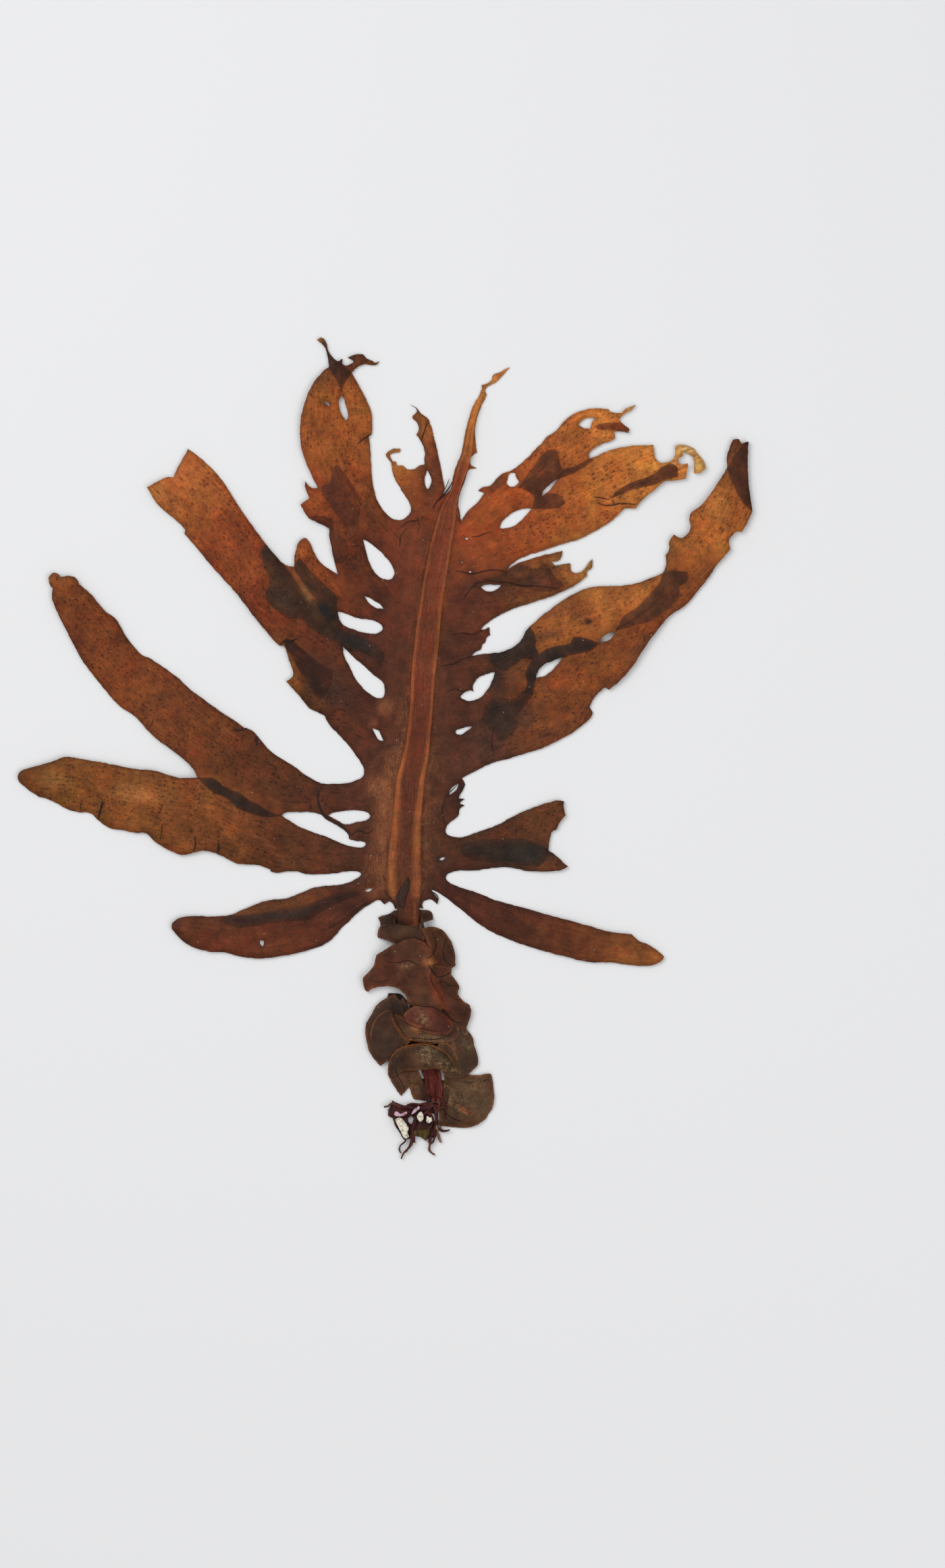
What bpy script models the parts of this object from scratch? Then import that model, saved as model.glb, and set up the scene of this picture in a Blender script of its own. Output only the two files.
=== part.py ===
"""Wakame seaweed, one whole dried plant pressed flat: blade, midrib and stipe, sporophylls, holdfast, crusts.

The plant lies on its back. +Y runs from the holdfast to the tip, +X to the right of the midrib, +Z away from
the surface that it rests on. Outlines are in millimetres in the plane of the blade.
"""

import math

import bmesh
import bpy
import numpy as np
from mathutils import Vector
from mathutils.geometry import delaunay_2d_cdt

# Driving dimensions, in millimetres
MM = 0.001
GAP = 0.3
BLADE_THICKNESS = 0.65
OVERLAP_STEP = 0.45
BLADE_WAVE = 1.5
FLAT_HALF_WIDTH = 16.0
WAVE_FULL_AT = 52.0
MIDRIB_HEIGHT = 0.95
STIPE_HEIGHT = 1.6
FRILL_THICKNESS = 0.8
FRILL_STEP = 0.55
CLUSTER_CLEARANCE = 0.75
CLUSTER_SHOULDER = 6.0
HOLDFAST_THICKNESS = 1.1
CRUST_HEIGHT = 1.5
EDGE_TOLERANCE = 0.1
BLADE_GRID = 7.0
FRILL_GRID = 3.2
HOLDFAST_GRID = 2.5

# Corners that an outline shares with the edge of an overlap
LEFT_CROSSING = (-54.2, -9.1)
LEFT_CROSSING_END = (-30.0, -20.0)
LOWER_PAIR = (-45.0, -48.9)
RIGHT_PAIR = (47.3, -30.0)
RIGHT_CROSSING = (80.2, 50.0)
SLIT_INNER, SLIT_OUTER = (61.7, 29.9), (66.8, 33.4)
EYE_LEFT, EYE_RIGHT = (43.5, 19.7), (51.4, 25.8)
UPPER_CROSSING = (58.8, 83.2)
SPLIT_LOW, SPLIT_HIGH = (45.2, 72.3), (50.7, 77.8)
LENS_RIGHT = (42.5, 68.9)
FOLD_TOP, FOLD_SIDE = (98.9, 80.4), (106.3, 68.0)
TIP_LEFT, TIP_RIGHT = (-16.2, 109.8), (-9.7, 108.2)
POINTED_LOBE = (-26.4, 51.9)
BROKEN_LOBE = (-29.2, 29.3)

# An outline is a list of runs. A run is a smooth curve that starts where the run before it ended, and runs
# meet in corners. This one goes clockwise round the whole blade from the left of the neck.
BLADE_EDGE = [
    # lowest left lobes
    [(2.2, -45.5), (1.2, -44.8)],
    [(-0.1, -45.7)],
    [(-1.5, -44.5), (-4.0, -45.4), (-8.0, -48.2), (-10.7, -50.9), (-12.7, -52.7), (-14.2, -54.6),
     (-17.4, -57.2), (-23.2, -59.3), (-30.0, -60.7), (-36.5, -61.4), (-42.0, -60.8), (-46.0, -59.7),
     (-50.8, -59.4), (-56.2, -57.8), (-59.0, -55.7), (-61.5, -52.9), (-61.6, -51.4), (-59.8, -49.8),
     (-56.0, -49.1), (-50.0, -49.3), LOWER_PAIR],
    [(-40.1, -46.9), (-34.5, -44.7), (-28.2, -43.9), (-25.0, -42.7), (-20.5, -40.9), (-15.0, -40.2),
     (-11.5, -39.7), (-8.5, -38.4), (-6.9, -37.0), (-8.3, -36.2), (-12.0, -36.3), (-16.0, -36.9),
     (-22.7, -36.9), (-25.4, -36.3), (-28.3, -36.2), (-31.0, -36.6), (-33.1, -36.3)],
    # long lower left lobe
    [(-33.3, -35.6)],
    [(-36.9, -34.3), (-40.4, -34.2), (-43.1, -33.8), (-46.0, -32.3), (-49.0, -30.8)],
    [(-53.0, -30.2), (-56.5, -31.1), (-59.0, -31.4), (-62.6, -29.9), (-66.0, -28.0), (-69.2, -25.1),
     (-71.7, -25.1), (-74.9, -24.4), (-79.7, -23.6), (-83.4, -20.9), (-84.6, -19.6), (-89.5, -18.9),
     (-91.5, -18.4), (-94.0, -17.0), (-98.0, -15.0), (-100.0, -14.6), (-103.5, -12.2), (-105.6, -10.5),
     (-106.2, -8.9), (-105.5, -7.3), (-102.0, -6.0), (-96.5, -4.5), (-92.6, -3.1), (-88.0, -3.6),
     (-84.0, -4.3), (-78.5, -5.3), (-72.0, -6.6), (-67.2, -6.9), (-62.5, -8.3), (-59.0, -9.1),
     LEFT_CROSSING],
    # long upper left lobe with a torn tip
    [(-55.6, -6.4), (-59.7, -2.5), (-64.7, 1.1), (-68.8, 4.8), (-72.0, 8.3), (-77.2, 12.1),
     (-81.8, 17.3), (-87.6, 25.0), (-91.1, 31.5), (-95.1, 39.6), (-96.3, 43.0), (-96.0, 45.6)],
    [(-96.9, 46.6), (-97.3, 48.8)],
    [(-95.9, 50.2), (-94.6, 49.9), (-93.8, 49.0)],
    [(-91.2, 49.3), (-89.5, 48.9), (-88.4, 46.9)],
    [(-84.9, 43.8), (-80.8, 39.0), (-78.0, 37.0), (-74.9, 31.9), (-70.5, 26.6), (-68.2, 25.6),
     (-60.0, 19.9), (-56.1, 16.3), (-51.5, 12.9), (-46.9, 9.6), (-42.0, 6.4), (-40.6, 5.3),
     (-38.6, 4.7), (-37.0, 3.0), (-35.0, 0.6), (-33.1, -1.5), (-27.0, -5.4), (-21.2, -9.4),
     (-18.0, -10.7), (-13.0, -10.8), (-9.5, -10.3), (-6.3, -8.6), (-6.0, -7.0), (-6.9, -4.9),
     (-9.2, -1.5), (-12.3, 2.3), (-15.4, 5.4), (-17.3, 7.9)],
    # short broken lobe
    [(-17.6, 9.0), (-20.0, 10.0), (-21.9, 11.1), (-25.0, 14.8), (-28.6, 18.8)],
    [(-26.8, 20.2), (-26.6, 21.8), (-27.4, 24.0), (-28.3, 26.9), BROKEN_LOBE],
    # broad left lobe
    [(-30.4, 29.0)],
    [(-32.3, 30.8), (-37.3, 36.9), (-43.1, 44.4), (-50.4, 52.5), (-55.0, 58.1), (-58.1, 61.7)],
    [(-57.7, 62.5), (-62.7, 67.3), (-65.8, 70.0), (-67.3, 72.3), (-68.8, 74.9)],
    [(-65.0, 77.1), (-62.7, 77.9), (-61.2, 77.8)],
    [(-60.0, 80.6), (-58.5, 83.3), (-57.0, 86.1)],
    [(-52.3, 82.5), (-47.7, 77.7), (-42.0, 69.0), (-37.7, 62.9), (-32.7, 56.3), (-29.5, 52.9),
     (-28.5, 52.4), POINTED_LOBE],
    # small pointed lobe
    [(-26.0, 55.5), (-24.9, 59.1), (-23.1, 60.3), (-21.9, 59.3), (-20.5, 56.0), (-18.8, 53.3),
     (-16.0, 51.2), (-13.7, 49.8)],
    # torn and folded lobe
    [(-15.0, 55.1), (-16.0, 60.0), (-16.2, 63.1)],
    [(-19.5, 64.8), (-22.3, 66.0)],
    [(-23.7, 68.5), (-24.5, 70.0)],
    [(-23.4, 70.7), (-22.0, 71.8)],
    [(-22.9, 74.3), (-23.2, 76.9)],
    [(-22.0, 75.4), (-21.1, 74.7)],
    [(-19.4, 74.9)],
    # tall upper lobe with a curled and torn tip
    [(-21.3, 78.6), (-23.6, 84.0), (-24.5, 89.0), (-24.3, 95.2), (-23.0, 100.0), (-21.0, 104.6),
     (-18.1, 108.3), TIP_LEFT],
    [(-16.7, 113.0), (-17.4, 115.5), (-19.7, 117.7)],
    [(-18.4, 118.3), (-17.6, 118.0)],
    [(-16.8, 116.4), (-16.4, 114.3), (-15.4, 112.9), (-13.8, 111.5), (-12.2, 112.2)],
    [(-12.4, 110.8), (-11.4, 110.2), (-9.9, 110.6), (-9.1, 111.4), (-10.9, 112.5)],
    [(-8.5, 113.4), (-6.4, 113.5)],
    [(-5.1, 112.1), (-3.5, 111.6), (-2.7, 111.0), (-1.6, 111.5)],
    [(-2.5, 110.4), (-4.0, 110.4), (-6.5, 110.5), (-8.7, 109.2), TIP_RIGHT],
    [(-7.3, 104.1), (-5.3, 100.0), (-3.9, 96.4), (-3.8, 90.4)],
    [(-4.5, 89.8), (-4.2, 85.0), (-3.7, 77.0), (-2.6, 72.0), (-0.5, 68.3), (2.3, 65.8), (4.8, 65.5),
     (7.0, 67.2), (7.4, 69.4), (5.0, 73.8), (2.6, 78.0), (1.7, 81.9)],
    # broken lobes beside the tip of the midrib
    [(0.3, 84.2), (0.9, 85.3), (2.8, 86.2), (4.4, 86.1)],
    [(4.2, 85.2), (2.5, 84.9), (1.4, 84.2), (2.2, 82.4)],
    [(3.1, 82.5), (3.5, 81.2)],
    [(5.4, 81.2), (6.5, 80.2), (8.5, 80.2), (10.0, 81.3), (11.4, 81.5)],
    [(11.3, 86.2), (10.3, 88.5), (9.0, 90.2)],
    [(9.8, 91.7), (9.2, 93.8), (7.9, 95.4), (9.2, 96.9), (8.8, 97.9)],
    [(7.2, 98.8)],
    [(9.0, 98.0), (10.3, 96.5), (12.6, 94.7)],
    [(13.7, 91.5), (14.8, 86.9), (15.8, 82.3), (16.9, 76.5), (17.2, 75.2), (16.5, 72.3)],
    # tip of the midrib, with the flake past its end
    [(18.8, 74.2), (20.0, 79.6), (22.1, 85.0), (23.5, 92.3), (25.6, 98.8), (27.3, 101.8),
     (28.0, 103.2), (27.9, 104.4)],
    [(30.8, 105.9), (31.2, 107.3), (33.8, 108.6), (36.0, 109.8)],
    [(33.5, 106.7), (31.7, 105.2), (29.3, 103.9), (29.0, 102.9), (29.4, 101.8)],
    [(27.7, 98.1), (26.5, 94.6), (26.0, 91.5), (26.2, 88.5), (26.6, 85.2)],
    [(25.0, 83.8), (24.8, 81.5), (26.5, 80.6)],
    [(24.2, 80.0), (23.1, 76.9), (21.9, 73.8), (21.2, 70.8), (21.2, 67.7), (22.1, 65.2)],
    # upper right lobe
    [(23.8, 68.0), (26.2, 70.0), (28.8, 73.4)],
    [(26.9, 74.0)],
    [(28.4, 75.0), (30.6, 75.6), (32.2, 77.3), (34.0, 79.0), (36.0, 79.6), (37.5, 80.4), (41.0, 83.3),
     (44.5, 87.0), (47.1, 89.8), (49.4, 91.3), (51.9, 94.2), (55.0, 96.4), (59.0, 97.6), (62.0, 97.8),
     (64.8, 97.5)],
    [(65.2, 96.8), (68.4, 96.5)],
    [(69.4, 97.6), (72.8, 98.9)],
    [(71.5, 97.5), (69.6, 96.4), (68.6, 95.6)],
    [(67.8, 94.6), (69.2, 92.8), (70.8, 91.8)],
    [(70.3, 90.6)],
    [(68.8, 91.1), (66.2, 91.0)],
    [(66.6, 89.4), (65.0, 88.2), (63.0, 87.6), (61.0, 86.5), (59.5, 85.3), UPPER_CROSSING],
    # second right lobe
    [(61.5, 84.1), (64.0, 85.3), (70.0, 86.8), (77.7, 87.2)],
    [(77.8, 85.2), (78.2, 83.2), (79.5, 82.2), (81.5, 82.2), (83.0, 82.8)],
    [(83.9, 84.5), (83.9, 86.7), (84.7, 87.2), (88.0, 86.8), (89.4, 86.1)],
    [(90.6, 84.4), (92.0, 82.8), (92.8, 80.5)],
    [(91.0, 79.0), (89.2, 79.0)],
    [(89.4, 81.5), (89.0, 83.9), (88.1, 84.3)],
    [(86.2, 85.2)],
    [(86.2, 84.2), (85.0, 83.4)],
    [(84.8, 82.2), (85.4, 81.5), (87.6, 82.0)],
    [(87.4, 79.5), (86.9, 77.4)],
    [(83.3, 76.9), (80.8, 76.5), (78.0, 74.3), (75.0, 71.8), (72.3, 68.8)],
    [(69.2, 68.8)],
    [(65.0, 64.9), (60.0, 61.9), (55.3, 59.7), (50.8, 58.4), (46.1, 56.8), (40.0, 54.8), (36.5, 52.6),
     (35.1, 50.8)],
    # torn right lobe
    [(37.9, 52.8), (43.1, 54.5), (51.2, 56.6)],
    [(50.9, 54.6), (50.0, 53.7), (48.2, 53.4)],
    [(49.0, 52.4), (51.0, 52.6), (53.5, 52.9)],
    [(53.8, 50.8), (55.4, 50.1), (57.2, 50.8), (58.8, 53.0), (60.0, 54.2)],
    [(59.8, 51.6), (58.4, 50.6), (58.5, 49.4)],
    [(55.5, 47.0), (49.6, 44.0), (42.3, 41.5), (36.5, 39.6), (31.5, 37.0), (28.3, 34.6), (27.7, 33.8)],
    [(28.7, 33.8), (30.1, 34.5)],
    [(30.4, 32.2)],
    [(29.5, 31.6), (29.0, 30.1), (28.3, 29.6), (27.7, 28.0)],
    [(26.0, 27.2), (24.8, 26.0)],
    # broad right lobes that cross
    [(28.1, 26.7), (33.1, 27.2), (36.8, 28.6), (39.2, 30.5), (41.2, 33.9), (44.5, 37.0), (49.0, 40.5),
     (54.0, 43.8), (59.0, 45.9), (64.0, 46.4), (69.0, 46.5), (73.5, 47.4), RIGHT_CROSSING],
    [(81.3, 52.2), (81.1, 55.2)],
    [(82.2, 57.0), (82.2, 59.2), (83.6, 61.3)],
    [(85.3, 60.2), (87.3, 61.3), (88.4, 63.3), (88.0, 65.3), (88.3, 67.4), (91.0, 69.4), (94.6, 73.8),
     FOLD_TOP],
    [(98.9, 84.0), (99.6, 86.3), (100.8, 88.7), (102.4, 88.8), (103.0, 87.5)],
    [(105.1, 88.2)],
    [(104.9, 82.0), (105.2, 75.0), FOLD_SIDE],
    [(104.6, 64.3), (103.2, 62.0)],
    [(101.2, 61.8), (99.4, 59.3), (100.0, 57.0)],
    [(96.1, 52.5), (93.5, 48.8), (90.5, 45.0), (87.0, 40.9), (82.3, 37.7), (78.7, 33.5), (74.8, 28.2),
     (72.1, 23.8), (69.5, 20.6), (67.0, 18.0)],
    [(64.7, 16.5)],
    [(63.7, 17.0), (61.3, 15.0), (59.6, 12.5), (59.2, 11.2), (60.1, 9.7), (59.2, 8.1), (55.0, 4.5),
     (49.9, 1.6), (45.0, -0.7), (40.0, -2.2), (35.8, -3.5), (30.8, -4.9), (24.6, -7.9), (22.2, -9.2)],
    # torn stub
    [(23.2, -11.0)],
    [(22.5, -12.7), (21.2, -15.1)],
    [(23.1, -15.3)],
    [(21.6, -16.4), (23.0, -17.0)],
    [(21.5, -18.3), (21.3, -20.0), (19.2, -21.7), (17.7, -23.2), (17.5, -24.8), (18.6, -25.8),
     (22.1, -26.3), (26.2, -25.0), (31.9, -23.0), (36.5, -20.6), (42.3, -17.9), (47.7, -16.1),
     (49.5, -15.6), (51.8, -15.8)],
    # two pointed lobes, one over the other
    [(51.7, -17.5), (52.2, -20.0)],
    [(50.4, -22.1), (49.6, -24.1)],
    [(48.2, -24.9), (47.5, -27.5), RIGHT_PAIR],
    [(50.4, -32.5), (53.0, -34.8)],
    [(50.0, -36.0), (44.0, -36.2), (40.0, -35.9), (35.8, -35.0), (31.2, -35.2), (26.9, -35.8),
     (20.0, -36.2), (17.8, -37.2), (17.6, -38.4), (20.0, -40.1), (26.9, -42.5), (32.7, -44.8),
     (38.5, -46.3), (46.2, -48.5), (54.6, -50.7), (61.0, -52.6), (65.0, -53.7), (71.4, -54.4)],
    # lowest right lobe
    [(73.2, -56.2), (76.5, -57.5), (79.1, -59.5), (80.7, -60.8), (79.8, -62.2), (77.0, -63.4),
     (70.0, -63.2), (65.0, -62.5), (59.7, -62.5), (52.0, -60.8), (45.0, -59.0), (36.9, -56.3),
     (31.5, -54.0), (26.9, -51.2), (22.0, -47.2), (18.5, -44.4), (14.9, -42.0), (13.3, -41.5)],
    # torn curl and neck
    [(14.4, -42.9), (15.3, -44.2), (15.1, -45.7)],
    [(14.3, -44.9), (12.8, -44.3), (11.4, -44.6), (10.8, -45.8), (11.0, -46.8)],
    [(2.9, -46.9)],
]

# Gaps between lobes that close again, and holes torn in them
BLADE_HOLES = [
    # under the long upper left lobe
    [[(-28.8, -19.2), (-25.4, -19.0), (-21.2, -19.1), (-18.6, -19.7)],
     [(-17.0, -21.1), (-15.0, -22.3), (-12.7, -23.3), (-11.5, -24.6), (-10.6, -25.6), (-10.6, -26.7),
      (-8.8, -27.3), (-6.0, -27.7), (-5.5, -28.4), (-6.7, -29.3), (-10.8, -28.7), (-16.2, -26.5),
      (-20.0, -25.2), (-25.0, -23.1), LEFT_CROSSING_END]],
    [[(-15.0, -19.3), (-12.3, -18.7), (-8.1, -18.5), (-5.0, -19.2), (-4.3, -20.2), (-5.2, -21.2),
      (-8.1, -21.9), (-11.2, -22.6), (-13.8, -21.4), (-16.5, -20.0)]],
    # left of the midrib, from the base up
    [[(-1.9, 4.6), (-1.2, 3.1), (-0.4, 1.6)], [(-1.6, 1.8), (-2.7, 3.1), (-3.7, 5.3)]],
    [[(-9.6, 26.2), (-6.5, 23.7), (-3.5, 20.8), (-0.6, 18.5), (-0.1, 17.1), (-0.3, 14.8), (-1.2, 13.9),
      (-2.3, 14.0), (-5.0, 15.6), (-7.3, 17.9), (-9.2, 20.8), (-10.4, 23.5), (-11.7, 25.8),
      (-12.3, 29.0)]],
    [[(-11.2, 38.4), (-8.5, 37.3), (-5.0, 36.7), (-2.3, 36.0), (-0.6, 34.4), (-1.5, 33.0),
      (-3.9, 32.6), (-6.5, 33.0), (-9.6, 34.0), (-11.9, 35.0), (-13.3, 36.9), (-13.7, 39.0)]],
    [[(-3.5, 42.4), (-1.5, 41.1), (-0.5, 39.8)], [(-2.3, 39.9), (-4.2, 41.1), (-6.0, 43.6)]],
    [[(-4.5, 59.0), (-2.0, 57.0), (0.0, 55.0), (2.0, 52.4), (2.8, 50.0), (1.8, 48.5), (-0.1, 48.4),
      (-1.9, 49.2), (-3.6, 51.2), (-5.0, 54.5), (-6.4, 60.0)]],
    [[(-11.7, 100.3), (-11.4, 98.7), (-10.8, 96.6), (-10.7, 95.0), (-11.4, 94.3), (-12.2, 95.4),
      (-13.1, 97.6), (-13.4, 99.6), (-12.5, 101.6)]],
    [[(12.7, 79.0), (13.4, 77.3), (13.3, 75.8), (12.3, 74.3)], [(11.6, 75.6), (11.5, 77.8), (12.1, 80.0)]],
    # right of the midrib, from the top down
    [[(36.0, 75.3), (37.5, 75.2), (38.7, 76.5), (37.9, 78.1), (37.6, 79.2)],
     [(36.3, 79.0), (35.6, 78.0), (35.1, 76.2)]],
    [[(56.9, 94.2), (58.5, 95.1), (60.8, 95.1)], [(60.0, 93.8), (59.3, 91.9)], [(57.4, 92.1),
      (56.0, 93.1)]],
    [[(46.0, 74.2), (47.7, 75.9), SPLIT_HIGH], [(49.0, 76.0), (47.3, 73.9), SPLIT_LOW]],
    [[(33.7, 64.9), (36.3, 67.3), (39.0, 68.6), LENS_RIGHT], [(40.0, 65.9), (37.6, 64.0), (35.0, 63.1),
      (33.2, 63.2)]],
    [[(28.6, 46.6), (31.0, 46.8), (33.8, 46.7)], [(32.2, 45.3), (30.4, 44.8), (28.8, 45.1), (27.7, 46.1)]],
    [[(44.1, 21.4), (46.0, 23.6), (48.6, 24.8), EYE_RIGHT], [(49.4, 23.2), (46.4, 20.5), EYE_LEFT]],
    [[(63.6, 31.6), SLIT_OUTER], [(64.6, 31.2), SLIT_INNER]],
    [[(29.6, 21.0), (27.3, 20.0), (26.0, 18.8), (25.4, 17.2), (25.6, 15.8)], [(24.4, 16.2),
      (22.6, 15.3), (21.8, 14.4), (22.8, 13.5), (25.0, 13.2), (27.3, 14.0), (29.4, 16.0), (31.0, 19.0),
      (31.8, 21.6)]],
    [[(22.6, 5.4), (25.3, 5.8)], [(23.6, 4.2), (21.5, 3.3), (20.4, 3.9), (20.6, 4.7)]],
    [[(19.2, -12.2), (21.3, -10.6)], [(20.9, -12.2), (19.8, -13.4), (18.6, -14.1), (18.4, -13.3)]],
    [[(16.4, -32.2), (17.5, -32.2)], [(16.6, -32.9), (15.5, -32.8)]],
    # in the lowest left lobes
    [[(-4.8, -41.2), (-3.4, -41.2)], [(-4.6, -42.0), (-5.9, -41.8)]],
    [[(-35.1, -56.2), (-35.3, -57.9)], [(-36.1, -57.2), (-36.2, -56.2)]],
]

# Where one lobe lies over another or is folded back, as (height in layers, outline)
BLADE_OVERLAPS = [
    # long left lobes
    (1, [[(-51.2, -9.1), (-49.6, -9.4), (-47.3, -10.8), (-44.6, -12.7), (-42.3, -13.3), (-39.6, -15.4),
          (-36.5, -16.9), (-34.2, -18.6), LEFT_CROSSING_END],
         [(-34.6, -20.4), (-38.9, -19.2), (-41.9, -18.1), (-43.9, -16.5), (-45.8, -14.8),
          (-48.5, -13.9), (-51.2, -12.1), LEFT_CROSSING]]),
    # lowest left lobes
    (1, [[(-47.0, -49.6), (-47.4, -50.5), (-45.2, -51.7), (-40.1, -52.3), (-34.9, -51.3),
          (-28.5, -50.6), (-22.0, -49.8), (-17.8, -47.3), (-11.3, -44.2), (-7.0, -42.7)],
         [(-10.4, -42.1), (-15.0, -43.1), (-20.0, -44.8), (-25.0, -46.6), (-30.1, -47.6),
          (-34.9, -48.2), (-40.1, -48.9), LOWER_PAIR]]),
    # short broken lobe under the broad one
    (1, [[(-28.6, 31.2), (-27.3, 30.8), (-23.8, 28.1), (-19.2, 24.2), (-15.5, 22.0)],
         [(-15.5, 19.0), (-17.0, 15.5), (-19.0, 13.2)],
         [(-21.5, 17.3), (-25.2, 22.6), (-27.0, 26.0), BROKEN_LOBE]]),
    # broad left lobe over the small pointed one
    (1, [[(-35.3, 57.0), (-35.2, 53.0), (-34.0, 50.0), (-33.3, 47.0), (-34.4, 44.6), (-33.8, 41.9),
          (-28.0, 37.3), (-24.2, 37.0), (-21.5, 34.2), (-16.5, 31.2), (-13.2, 29.9), (-12.2, 27.6)],
         [(-9.0, 27.6), (-5.5, 26.8), (-3.0, 25.5), (-1.4, 23.0)],
         [(-0.6, 26.0), (-1.6, 28.6), (-6.2, 31.2), (-10.0, 32.3), (-12.3, 34.0), (-12.6, 37.0),
          (-13.9, 40.0), (-14.2, 43.5), (-18.1, 47.3), (-22.3, 51.5), (-24.8, 54.5)],
         [POINTED_LOBE],
         [(-24.8, 49.2), (-21.3, 44.2), (-19.4, 42.3)],
         [(-22.3, 43.1), (-26.2, 48.5), (-29.5, 52.9)],
         [(-33.0, 59.5)]]),
    # torn and folded lobe
    (1, [[(-18.1, 75.3), (-16.2, 75.9), (-15.2, 78.0), (-15.8, 81.4)],
         [(-14.6, 80.3), (-13.8, 81.6)],
         [(-11.2, 78.0), (-8.5, 74.3), (-7.3, 70.0), (-7.8, 65.8), (-8.3, 61.8), (-10.9, 59.3)],
         [(-11.3, 63.7), (-14.6, 67.9), (-17.4, 72.1), (-18.4, 74.2)]]),
    (1, [[(-20.7, 66.4), (-17.4, 66.4), (-15.5, 65.7), (-14.6, 62.4), (-11.5, 59.7)],
         [(-11.0, 55.5), (-12.8, 53.2), (-16.5, 53.0)],
         [(-17.2, 63.0), (-22.8, 65.2)]]),
    # folded tip of the tall upper lobe
    (1, [[(-15.0, 107.4), (-13.8, 105.6), (-12.6, 102.6)],
         [(-11.7, 105.4), TIP_RIGHT],
         [(-11.4, 109.5), (-12.7, 110.9), (-15.0, 110.6), TIP_LEFT]]),
    # upper right lobe and the flap folded over it
    (1, [[(40.8, 74.2), (43.3, 71.8), LENS_RIGHT],
         [(46.2, 68.7), (50.0, 69.2), (51.9, 70.6), (50.4, 72.7), (47.8, 73.2), SPLIT_LOW],
         [SPLIT_HIGH],
         [(53.5, 78.7), (57.9, 81.2), (60.2, 83.0)],
         [UPPER_CROSSING],
         [(55.7, 81.2), (51.0, 79.9)],
         [(50.1, 83.5), (49.4, 86.0)],
         [(46.6, 85.2), (44.2, 82.7), (40.0, 76.9), (38.4, 74.8)]]),
    (1, [[(61.2, 92.9), (64.0, 93.5), (67.9, 93.6), (71.5, 92.6)],
         [(71.0, 90.0)],
         [(67.0, 91.4), (61.2, 91.7)]]),
    # fold along the second right lobe
    (1, [[(67.8, 74.2), (71.4, 76.3), (77.7, 78.7), (79.7, 80.5), (82.4, 82.0)],
         [(84.3, 81.0), (84.8, 77.9)],
         [(81.5, 77.4), (78.1, 75.8), (72.3, 74.5), (66.9, 72.4), (64.8, 71.6)]]),
    # torn right lobe over the one below
    (1, [[(26.9, 47.9), (30.0, 48.3), (33.1, 49.2), (36.2, 50.9), (39.0, 52.6), (43.5, 51.2),
          (45.6, 52.3), (47.6, 51.6), (48.6, 49.6), (51.6, 46.6)],
         [(49.2, 45.4), (45.0, 44.9), (38.5, 46.4), (33.2, 46.4)],
         [(29.0, 45.9), (25.4, 46.2)]]),
    # root of the broad right lobes
    (1, [[(36.0, 29.3), (39.6, 32.2), (41.2, 35.4)],
         [(43.2, 32.4), (43.5, 28.5), (44.4, 27.4)],
         [(43.4, 25.2), (39.6, 25.3), (35.0, 22.1), (33.0, 22.3), (30.6, 24.4), (30.6, 27.9)]]),
    (1, [[(56.5, 31.6), (54.6, 31.5), (53.4, 29.8), (47.7, 28.5), (44.0, 26.3), (41.9, 23.8),
          (40.8, 21.0), (41.1, 18.5), (40.3, 16.3), (37.0, 13.6), (33.8, 13.9), (31.0, 13.4),
          (29.0, 11.2), (28.0, 7.8)],
         [(30.8, 4.4), (33.4, 1.2)],
         [(35.6, 3.0), (38.4, 6.6), (37.2, 8.3), (39.5, 10.8), (42.2, 14.4), EYE_LEFT],
         [EYE_RIGHT],
         [(55.0, 26.7), (59.3, 27.8), SLIT_INNER]]),
    # broad right lobe crossing the largest one
    (1, [[(82.3, 50.7), (84.5, 50.8), (87.5, 50.3)],
         [(87.4, 48.6), (86.7, 47.2), (84.9, 46.6)],
         [(84.9, 43.8), (83.3, 41.3), (80.4, 38.7), (76.5, 36.2), (72.5, 35.2), SLIT_OUTER],
         [(68.9, 37.5), (72.7, 40.0), (76.2, 43.5), (79.3, 47.2), RIGHT_CROSSING]]),
    # edge of the largest lobe folded back
    (1, [[(100.1, 76.9), (101.9, 73.3), (104.0, 69.8), FOLD_SIDE],
         [(107.5, 78.0), (106.5, 90.0)],
         [(103.4, 87.0), (101.0, 83.7), FOLD_TOP]]),
    # two pointed lobes
    (1, [[(46.6, -31.5), (45.8, -33.4), (44.6, -34.6)],
         [(40.0, -34.2), (36.0, -33.4), (31.0, -33.4), (26.0, -32.8), (21.6, -30.6)],
         [(23.0, -28.3), (28.0, -27.2), (34.6, -26.9), (40.8, -27.1), RIGHT_PAIR]]),
]

# Midrib, then stipe, from the tip down: (Y, left edge, right edge)
MIDRIB_STATIONS = [
    (99.0, 26.4, 27.5), (94.6, 24.7, 26.1), (90.0, 23.7, 25.6), (85.0, 22.7, 25.2), (80.0, 20.8, 23.9),
    (75.0, 19.5, 22.0), (70.0, 16.6, 20.8), (65.0, 14.8, 20.6), (60.0, 13.3, 19.7), (50.0, 11.3, 18.1),
    (40.0, 9.6, 16.6), (30.0, 8.3, 15.8), (20.0, 7.4, 14.7), (10.0, 6.9, 14.0), (0.0, 5.6, 13.1),
    (-5.0, 4.3, 12.6), (-10.0, 2.9, 11.6), (-20.0, 2.0, 10.8), (-30.0, 0.8, 10.6), (-38.0, 0.2, 10.8),
    (-43.0, 0.9, 10.4), (-46.0, 3.3, 9.9), (-50.0, 3.4, 9.9), (-56.0, 4.0, 10.2), (-66.0, 5.6, 11.6),
    (-78.0, 7.6, 13.0), (-90.0, 9.8, 14.8), (-96.0, 11.4, 16.2), (-102.8, 12.0, 16.7),
]
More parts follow.
